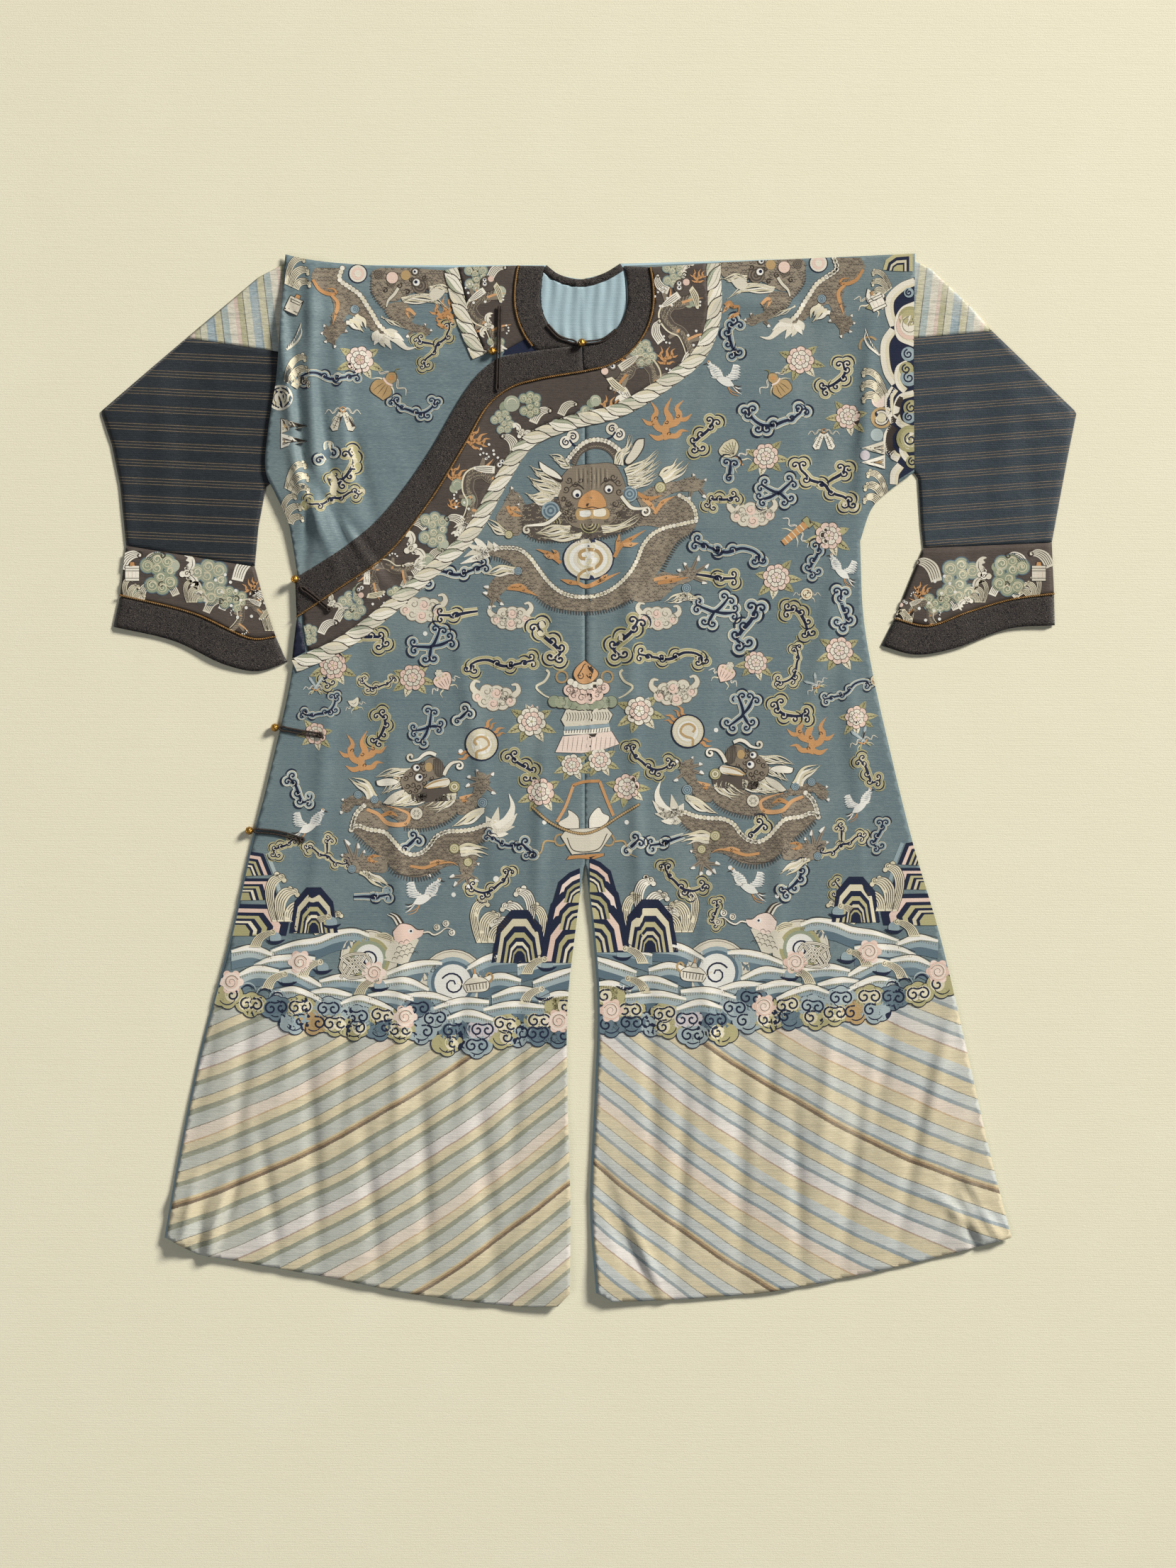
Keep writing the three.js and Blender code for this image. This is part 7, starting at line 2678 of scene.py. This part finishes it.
def folded_cloth(pen):
    """Ivory cloth folded to two points."""
    for y in (9, -11):
        boxed(pen, [(14, y + 11), (14, y - 9), (-20, y)], "ivory", 1)
        for share in (0.3, 0.6):
            pen.line([(12, y + 8 * share), (-14 + 20 * share, y)], 0.9, "line", 3, (1, 0.4))
            pen.line([(12, y - 7 * share), (-14 + 20 * share, y)], 0.9, "line", 3, (1, 0.4))
        pen.fill([(10, y + 3), (10, y - 2), (-2, y)], "tan", 3)


ARCH_LINES = ["1290 165 1200 205 1120 290 1112 380 1140 480",
              "1140 480 1090 560 1082 660 1105 780 1150 852", "1150 852 1112 910 1112 1000 1145 1090",
              "1145 1090 1105 1150 1108 1250 1150 1312 1188 1335", "1188 1335 1148 1390 1138 1470"]
INNER_ARCHES = ["1290 310 1210 350 1165 440 1185 560 1285 612",
                "1240 680 1180 720 1162 800 1185 870 1222 905",
                "1285 870 1190 905 1155 1000 1180 1100 1290 1160",
                "1290 1090 1215 1180 1195 1270 1240 1340 1290 1375"]


def sleeve_waves(pen):
    s = SHOULDER_VIEW
    edge = ("1290 165 1200 205 1120 290 1112 380 1140 480 1090 560 1082 660 1105 780 1150 852 1112 910 "
            "1112 1000 1145 1090")
    edge += " 1105 1150 1108 1250 1150 1312 1188 1335 1148 1390 1138 1470 1200 1440 1310 1370 1310 165"
    pen.fill(sketch(edge, s), "navy", 0, 0)
    for number, lines in enumerate((ARCH_LINES, INNER_ARCHES)):
        for text in lines:
            path = smooth(sketch(text, s), 3)
            inward = offset(path, 6.2)
            wide = 12.5 if number == 0 else 9.5
            pen.line(inward + [0.5, 0], wide + 1.4, "line", 1 + 2 * number, (0.9, 0.9), 0)
            pen.line(inward, wide, "ivory", 1.5 + 2 * number, (0.9, 0.9), 0)
            pen.line(offset(path, 9.8 if number == 0 else 8.6), 4.0, "cream", 2 + 2 * number, (0.8, 0.8),
                     0)
    for x, y, radius, colour, curled in ((1262, 262, 7, "grey_blue", 1), (1268, 420, 16, "olive", 0),
                                         (1272, 470, 20, "pink", 1), (1258, 650, 10, "grey_blue", 1),
                                         (1246, 745, 10, "olive", 1), (1262, 800, 12, "grey_blue", 1),
                                         (1276, 990, 11, "olive", 1), (1262, 1048, 9, "grey_blue", 1),
                                         (1268, 1185, 19, "olive", 0), (1272, 1190, 14, "ivory", 1),
                                         (1284, 1330, 9, "olive", 1)):
        pen.disc(x / s, -y / s, radius, colour, 6, 1)
        pen.disc(x / s, -y / s, radius * 0.72, "ivory" if colour == "pink" else colour, 7, 0)
        if curled:
            pen.curl(x / s, -y / s, radius * 0.66, 100, 1.3, 2.1 if colour != "pink" else 1.0,
                     "navy" if colour != "pink" else "scale", 8, (1, 1), 0)
    nested(pen.at((1215 / s, -118 / s)), [(-26, 0), (-22, 14), (-8, 24), (16, 26), (16, -2)],
           ("olive", "navy", "cream", "navy", "olive"), 2, 0.76)
    crest(pen.at((1150 / s, -235 / s), 40, 0.5, -1, 1))
    beaker(pen.at((1060 / s, -320 / s), 25, 0.9))
    feather(pen.at((1020 / s, -610 / s), -15, 0.85))
    pen.arc(1010 / s, -600 / s, 13, 40, 200, 3, "tan", 0, (1, 1))
    crest(pen.at((1120 / s, -905 / s), 38, 0.66, -1, 0))
    pen.disc(1075 / s, -940 / s, 11, "pink", 0)
    for radius, colour, level in ((15, "tan", 0), (11.5, "navy", 0.5), (10, "ivory", 1),
                                  (7.5, "line", 1.5), (6.8, "cream", 2)):
        pen.disc(1088 / s, -1052 / s, radius, colour, level, 0)
    pen.disc(1060 / s, -1160 / s, 9, "grey_blue", 0)
    folded_cloth(pen.at((1050 / s, -1285 / s), 0, 1.0))
    crest(pen.at((1130 / s, -1560 / s), 30, 0.66, -1, 0))
    pen.disc(985 / s, -1290 / s, 7, "lilac", 0)


right_place, left_place = np.array(spot(1000, 355)), np.array(spot(1000, 355)) * [-1, 1] + [9, -14]
shoulder_dragon(Pen(right_place, 0, PIXEL))
sleeve_waves(Pen(right_place, 0, PIXEL, 1, "front", 1))
shoulder_dragon(Pen(left_place, 0, PIXEL, -1, "shoulder"))
for px, py, turn, size, flip in ((404, 402, -25, 0.62, 1), (403, 540, -30, 0.62, 1),
                                 (404, 690, -30, 0.6, 1), (398, 735, -20, 0.55, 1)):
    crest(Pen(spot(px, py), turn, size, flip, "shoulder"))
beaker(Pen(spot(415, 432), -25, 0.85, 1, "shoulder"))
feather(Pen(spot(418, 484), 15, 0.8, -1, "shoulder"))
folded_cloth(Pen(spot(412, 612), 0, 1.0, -1, "shoulder"))
ring = Pen(spot(396, 562), 0, 1.0, 1, "shoulder")
for number, (radius, colour) in enumerate(((17, "ivory"), (14, "navy"), (12, "cream"), (9, "line"),
        (8, "ivory"))):
    ring.disc(0, 0, radius, colour, number * 0.5, 0)
for row in table("""
kind px py turn size flip
peony 508 508 0 0.95 1
gourd 548 538 -40 1.0 -1
castanets 484 592 0 0.85 -1
flame 628 440 10 0.7 1
"""):
    TREASURES[row.kind](Pen(spot(row.px, row.py), row.turn, row.size, int(row.flip), "shoulder"))

Pen((0, 0), 0, 1, 1, "shoulder").fill([spot(709, 502), spot(729, 464), spot(756, 495)], "navy", 0, 0)

# %% Centre emblem
centre = Pen(spot(735, 925), 0, PIXEL, 1, "front", 1)
s = CENTRE_VIEW
boxed(centre, sketch("303 585 480 570 655 548 712 640 600 680 440 706 250 700", s), "pink", 0)
for x in range(300, 700, 34):
    centre.line(sketch(f"{x + 12} 588 {x} 690", s), 0.7, "scale", 2, (0.6, 0.6))
boxed(centre, sketch("292 465 328 390 610 366 664 428 632 492 322 518", s), "ivory", 2)
for x in range(330, 640, 20):
    centre.line(sketch(f"{x} {545 - x * 0.03} {x - 4} {572 - x * 0.03}", s), 0.9, "line", 4)
    centre.line(sketch(f"{x} {420 - x * 0.02} {x + 10} {450 - x * 0.02} {x + 2} {480 - x * 0.02}", s),
                0.8, "line", 4)
centre.line(sketch("312 530 480 520 640 500", s), 6, "grey_blue", 3, (1, 1))
centre.line(sketch("310 560 480 552 645 532", s), 6, "ivory", 2, (1, 1))
for x in range(240, 700, 46):
    centre.disc(x / s, -(330 - abs(x - 460) * 0.12 + 30) / s, 9, "line", 3, 0)
    centre.disc(x / s, -(330 - abs(x - 460) * 0.12 + 28) / s, 8.2, "moss", 4)
for x, y, radius in ((350, 250, 8), (385, 290, 8), (440, 305, 9), (500, 305, 9), (555, 285, 8),
                     (600, 235, 8), (460, 260, 14), (400, 240, 10), (540, 240, 10)):
    centre.disc(x / s, -y / s, radius + 0.8, "line", 5, 0)
    centre.disc(x / s, -y / s, radius, "pink", 6)
    centre.curl(x / s, -y / s, radius * 0.6, 60, 1.1, 0.9, "line", 7)
for k in range(7):
    x, y = 360 + k * 35, 190 + 34 * math.sin(math.pi * k / 6)
    centre.disc(x / s, -y / s, 5.4, "line", 7, 0)
    centre.disc(x / s, -y / s, 4.6, "ivory", 8)
boxed(centre, smooth(sketch("460 35 400 90 382 140 420 195 465 205 520 185 560 130 520 85 460 35", s), 3),
      "orange", 9)
centre.line(sketch("410 150 440 100 465 60 500 95 520 130", s), 1.4, "line", 11)
centre.curl(430 / s, -150 / s, 5, 60, -1.1, 1.2, "line", 11)
centre.curl(500 / s, -140 / s, 5, 120, 1.1, 1.2, "line", 11)
for side in (1, -1):
    own = centre.at((460 / s, 0), 0, 1, side)
    own.arc(32, -30, 8, 0, 359, 2.6, "tan", 2, (1, 1))
    own.line([(48, -60), (58, -55), (68, -44), (56, -36), (50, -24), (54, -20)], 3.4, "cream", 1, (0.5, 1))
    own.arc(34, -70 - 190, 8, 0, 359, 2.6, "tan", 1, (1, 1))
    own.line([(42, -262), (56, -262), (62, -278), (74, -284)], 2.6, "tan", 1, (1, 0.3))
for text in ("380 940 320 1100 260 1205", "570 910 620 1040 670 1160", "375 940 450 915 570 908"):
    centre.line(sketch(text, s), 4.2, "orange", 1, (1, 1))
boxed(centre, smooth(sketch("420 1250 412 1170 340 1120 345 1160 270 1215 330 1250 420 1250", s), 3),
      "ivory", 1)
boxed(centre, smooth(sketch("495 1250 500 1170 565 1100 590 1140 640 1170 600 1230 495 1250", s), 3),
      "ivory", 1)
boxed(centre, sketch("290 1310 330 1260 620 1245 660 1290 570 1420 370 1440", s), "ivory", 2)
centre.line(sketch("335 1320 380 1410 560 1400 625 1290", s), 1.2, "line", 4)
boxed(centre, sketch("330 1478 350 1450 600 1432 600 1450 520 1475 420 1468", s), "orange", 1)
for x, y in respace(smooth(sketch("85 1100 200 1200 330 1265 450 1290 560 1260 700 1170 850 1080", s), 3),
                    3.4):
    centre.disc(x, y, 2.3, "line", 5, 0)
    centre.disc(x, y, 1.7, "tan", 6)
for px, py, size, turn, petal in ((807, 1079, 0.75, 0, "ivory"), (846, 1072, 0.8, 0, "ivory"),
                                  (763, 1117, 0.95, 0, "pink"), (884, 1110, 0.9, 20, "pink"),
                                  (750, 1018, 1.0, 0, "ivory"), (902, 1003, 1.0, 10, "ivory")):
    peony(Pen(spot(px, py), turn, size, 1, "front"), petal)
weave("shoulders_and_centre")

# %% [markdown]
# ## Small figures on the brown borders
#
# The brown border of the neck and the two bands above the cuffs are worked with small grey dragons,
# pale green clouds, ivory bats, flames and white dots, close together.


# %% Figures on the borders
def small_cloud(pen, colour="pale_green"):
    """Two curled heads joined by a short stem."""
    lobes = [(-9, -9, 7), (0, -13, 6.5), (8, -9, 7), (0, -3, 6), (-2, 6, 6), (-10, 10, 7), (0, 14, 6.5),
             (9, 10, 7), (10, 1, 5)]
    for level, (grow, tone) in enumerate(((1.0, "slate"), (0, colour), (-2.2, "cream"), (-3.0, colour))):
        for x, y, radius in lobes:
            pen.disc(x, y, radius + grow, tone, level * 0.6, 1)
    for x, y, _ in lobes:
        pen.curl(x, y, 3.6, 40 * x, 1.1, 0.9, "cream", 3)


def small_bat(pen):
    for side in (1, -1):
        own = pen.at((0, 0), 0, 1, side)
        own.fill(smooth([(1, 4), (8, 12), (17, 13), (24, 7), (24, 0), (20, 5), (17, 1), (14, 6), (10, 1),
                         (7, 5), (3, -3), (1, 4)], 2.5), "ivory", 1)
        own.line([(3, 4), (9, 9), (17, 10)], 0.9, "line", 2, (0.4, 0.4))
        own.curl(7, 0, 3.4, 20, 1.1, 1.4, "ivory", 1)
    for radius, y in ((5, 0), (4, -6), (3.4, 6)):
        pen.disc(0, y, radius + 0.6, "line", 2, 0)
        pen.disc(0, y, radius, "ivory", 3)
    pen.curl(0, 0, 3, 90, 1.2, 0.9, "line", 4)


def small_dragon(pen):
    """A little grey dragon: a bent speckled body, combed hair, a face and four feet."""
    path = smooth([(-40, -16), (-28, -10), (-16, 0), (-12, 14), (0, 24), (14, 18), (18, 6), (30, 4)], 3)
    pen.line(path, 15, "scale", 0, (0.4, 0.9), 0)
    pen.line(path, 13, "dark_scale", 0.6, (0.4, 0.9), 0)
    for number, (x, y) in enumerate(respace(path, 2.6)):
        for side in (-3.4, 0, 3.4):
            pen.at((x + side * 0.6, y + side), rng.uniform(-30, 30)).line([(-2, 0), (0, 1), (2, 0)], 0.9,
                ("scale", "pale_scale")[number % 2], 1.4)
    pen.line(offset(path, 6.6), 2.0, "cream", 1.5, (0.5, 0.8))
    for angle in (150, 170, 190, 210, 230, 250):
        way = math.radians(angle)
        pen.line([(-40, -16), (-40 + 10 * math.cos(way), -16 + 10 * math.sin(way)),
                  (-40 + 17 * math.cos(way), -19 + 17 * math.sin(way))], 4, "ivory", 2, (1, 0.1))
    pen.disc(36, 8, 11, "line", 2, 0)
    pen.disc(36, 8, 10.2, "dark_scale", 3, 0)
    pen.combed([(30, 14), (22, 22), (10, 30)], [(24, 8), (14, 18), (8, 28)], "ivory", 3, 4)
    pen.combed([(34, 0), (24, -6), (14, -12)], [(40, -3), (30, -12), (16, -15)], "cream", 3, 4)
    pen.disc(43, 5, 4, "pink", 4)
    eye(pen, 35, 12, 2.6, (0.6, 0), 4)
    eye(pen, 40, 13, 2.4, (0.6, 0), 4)
    for x, y, dx, dy in ((-14, 4, -12, 10), (-24, -8, 4, -16), (12, 20, 14, 10), (18, 6, 2, -16)):
        pen.line([(x, y), (x + dx * 0.6, y + dy * 0.6), (x + dx, y + dy)], 6, "scale", 1, (1, 0.6))
        for turn in (-60, -20, 20, 60):
            way = math.atan2(dy, dx) + math.radians(turn)
            pen.disc(x + dx + 6 * math.cos(way), y + dy + 6 * math.sin(way), 1.3, "white", 3)
        pen.line([(x, y), (x + dx * 0.7 + 5, y + dy * 0.5 - 4), (x + dx + 8, y + dy - 8)], 3, "orange", 2,
                 (1, 0.1))


def swirl(pen):
    """A white wave with combed lines."""
    pen.combed([(-14, -6), (-6, 8), (6, 12), (14, 8)], [(-4, -10), (2, 0), (8, 4), (14, 4)], "ivory", 4, 0)
    pen.curl(12, 7, 4.5, 120, -1.1, 1.6, "line", 2)


def white_dots(pen):
    for x, y in ((-9, 5), (-3, -6), (5, 3), (10, -5), (0, 10)):
        pen.disc(x, y, 1.5, "white", 2)


def clam(pen):
    pen.disc(0, 0, 6.5, "pale_green", 1)
    pen.disc(-5, -3, 5, "moss", 0)
    pen.arc(0, 0, 4, 0, 200, 0.9, "cream", 2)


SMALL_SCALE = 1.18
SMALL = {"dragon": small_dragon, "cloud": small_cloud, "bat": small_bat, "swirl": swirl,
         "dots": white_dots, "clam": clam, "flame": lambda pen: flame(pen.at((0, 0), 0, 0.55)),
         "moss": lambda pen: small_cloud(pen, "moss"), "crest": lambda pen: crest(pen.at((0, 0), 0,
            0.45)), "pot": beaker}
for row in table("""
kind px py turn size flip cloth
dragon 682 694 40 0.95 1 overlap_border
cloud 612 748 -5 1.0 1 overlap_border
bat 580 774 -60 0.85 1 overlap_border
swirl 614 784 0 0.7 1 overlap_border
clam 645 684 20 1.0 1 overlap_border
clam 663 705 0 1.0 1 overlap_border
flame 645 672 -50 0.8 1 overlap_border
swirl 646 738 10 0.9 -1 overlap_border
dots 655 722 0 1.0 1 overlap_border
bat 652 768 -40 0.7 1 overlap_border
swirl 590 742 20 0.8 -1 overlap_border
clam 604 790 0 1.1 1 overlap_border
swirl 720 628 -20 0.9 -1 overlap_border
cloud 710 596 30 0.7 1 overlap_border
dots 690 640 0 1.0 1 overlap_border
bat 735 612 -30 0.6 1 overlap_border
swirl 812 606 10 0.8 1 overlap_border
clam 840 566 0 1.0 1 overlap_border
swirl 876 556 0 0.9 -1 overlap_border
swirl 582 806 0 0.8 -1 overlap_border
clam 510 830 0 1.0 1 overlap_border
swirl 484 868 0 0.8 1 overlap_border
swirl 418 908 0 0.7 -1 overlap_border
swirl 950 540 0 0.9 1 overlap_border
swirl 962 400 40 0.7 1 overlap_border
bat 690 460 70 0.6 1 under_border
swirl 678 505 0 0.7 1 under_border
swirl 216 792 0 0.9 1 sleeve_left_band
swirl 240 832 0 0.8 -1 sleeve_left_band
bat 280 838 -60 0.6 1 sleeve_left_band
swirl 322 852 0 0.8 1 sleeve_left_band
swirl 368 846 0 0.9 -1 sleeve_left_band
clam 245 798 0 1.1 1 sleeve_left_band
swirl 1436 792 0 0.9 -1 sleeve_right_band
swirl 1408 832 0 0.8 1 sleeve_right_band
swirl 1340 852 0 0.8 -1 sleeve_right_band
clam 1412 796 0 1.1 1 sleeve_right_band
bat 1366 846 60 0.6 1 sleeve_right_band
dots 697 654 0 1.0 1 overlap_border
clam 626 768 20 0.9 1 overlap_border
swirl 700 668 30 0.7 1 overlap_border
flame 640 712 -40 0.5 1 overlap_border
swirl 575 822 0 0.6 1 overlap_border
flame 672 622 -50 0.9 1 overlap_border
moss 748 572 0 0.75 1 overlap_border
clam 722 570 0 1.4 1 overlap_border
swirl 762 588 0 0.9 1 overlap_border
dragon 545 815 42 0.8 -1 overlap_border
cloud 498 855 20 0.85 1 overlap_border
flame 522 800 -40 0.7 1 overlap_border
moss 560 842 10 0.6 1 overlap_border
dots 530 845 0 1.0 1 overlap_border
bat 468 852 -50 0.6 1 overlap_border
swirl 462 886 0 0.8 1 overlap_border
cloud 436 896 0 0.6 1 overlap_border
dragon 905 540 -10 1.0 -1 overlap_border
cloud 832 592 70 0.8 1 overlap_border
flame 860 575 -20 0.8 1 overlap_border
swirl 800 578 0 0.8 1 overlap_border
clam 785 600 0 1.0 1 overlap_border
dots 865 600 0 1.0 1 overlap_border
dots 930 575 0 1.0 1 overlap_border
bat 890 575 -20 0.8 1 overlap_border
cloud 908 500 30 0.8 1 overlap_border
dragon 965 450 80 0.95 1 overlap_border
flame 940 505 -10 0.8 1 overlap_border
swirl 975 505 0 0.8 1 overlap_border
swirl 930 470 60 0.9 1 overlap_border
dots 982 480 0 1.0 1 overlap_border
clam 978 425 0 1.0 1 overlap_border
cloud 950 388 0 0.75 1 overlap_border
flame 985 392 -10 0.6 1 overlap_border
bat 972 372 80 0.6 1 overlap_border
dots 935 425 0 1.0 1 overlap_border
swirl 935 402 90 0.8 1 overlap_border
dragon 690 440 80 0.85 1 under_border
cloud 672 392 0 0.8 1 under_border
swirl 700 385 0 0.8 1 under_border
flame 672 462 0 0.6 1 under_border
clam 706 412 0 1.0 1 under_border
dots 672 420 0 1.0 1 under_border
moss 700 490 0 0.6 1 under_border
pot 187 809 0 0.7 1 sleeve_left_band
swirl 182 792 0 1.0 1 sleeve_left_band
moss 226 810 10 1.2 1 sleeve_left_band
bat 264 809 -80 0.85 1 sleeve_left_band
cloud 296 822 5 1.3 1 sleeve_left_band
dots 318 826 0 1.2 1 sleeve_left_band
swirl 346 805 10 1.2 1 sleeve_left_band
flame 356 830 30 0.7 1 sleeve_left_band
moss 330 846 70 0.8 1 sleeve_left_band
clam 188 838 0 1.0 1 sleeve_left_band
crest 180 850 0 0.9 1 sleeve_left_band
swirl 205 836 20 0.8 1 sleeve_left_band
crest 265 850 0 0.8 1 sleeve_left_band
swirl 300 856 0 0.8 1 sleeve_left_band
dots 340 862 0 1.2 1 sleeve_left_band
dragon 352 868 20 0.6 1 sleeve_left_band
crest 376 890 0 0.9 1 sleeve_left_band
pot 1465 809 0 0.7 1 sleeve_right_band
swirl 1470 790 0 1.0 -1 sleeve_right_band
moss 1424 812 -10 1.2 -1 sleeve_right_band
bat 1388 812 80 0.85 1 sleeve_right_band
cloud 1354 820 -5 1.3 -1 sleeve_right_band
dots 1332 828 0 1.2 1 sleeve_right_band
swirl 1310 806 -10 1.2 -1 sleeve_right_band
flame 1300 836 -30 0.7 1 sleeve_right_band
moss 1322 850 -70 0.8 1 sleeve_right_band
crest 1462 846 0 0.9 -1 sleeve_right_band
swirl 1440 838 -20 0.8 1 sleeve_right_band
crest 1388 850 0 0.8 -1 sleeve_right_band
dots 1310 866 0 1.2 1 sleeve_right_band
dragon 1300 868 -20 0.6 -1 sleeve_right_band
crest 1282 886 0 0.9 -1 sleeve_right_band
"""):
    SMALL[row.kind](Pen(spot(row.px, row.py), row.turn, row.size * SMALL_SCALE, int(row.flip), row.cloth))
weave("border_figures", "tapestry_silk")

# %% [markdown]
# ## How every sheet was cut
#
# Each piece of cloth is declared with the size it was cut to. Panels are given by the rectangle
# they were cut from. Strips are given by their own width and length.

# %% Cut of every sheet
for name in ("back_left", "back_right"):
    declare(name, OUTLINES[name], panel=True)
declare("under_front", OUTLINES["under_front"],
        True)
for name, below in (("overlap_front", ["under_front"]), ("right_front", ["back_right", "under_front"])):
    declare(name, OUTLINES[name], True)
for name, (outline, top, slot, finish) in TRIM_PIECES.items():
    below = "under_front" if top is on_under else "overlap_front"
    declare(name, outline)
for name in ("neck_lining", "back_collar"):
    piece = PIECES[name]
    area = sum(face.area for face in piece.data.polygons) / 2
    width, length = sorted(float(side) for side in piece.dimensions[:2])
    width = max(0.01, area / length) if area < 0.35 * width * length else width
    CUTS.append((name, round(width * 1000), round(length * 1000), round(area, 4)))

# %% Cut sizes and triangle counts
for name, width, length, area in CUTS:
    print(f"cut {name}: {width} x {length} mm, {area} square metres")
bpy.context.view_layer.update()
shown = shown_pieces()
depsgraph = bpy.context.evaluated_depsgraph_get()
counts = {}
for piece in shown:
    mesh = piece.evaluated_get(depsgraph).to_mesh()
    mesh.calc_loop_triangles()
    counts[piece.name] = len(mesh.loop_triangles)
print("triangles:", sum(counts.values()), "largest:", sorted(counts.items(), key=lambda c: -c[1])[:6])
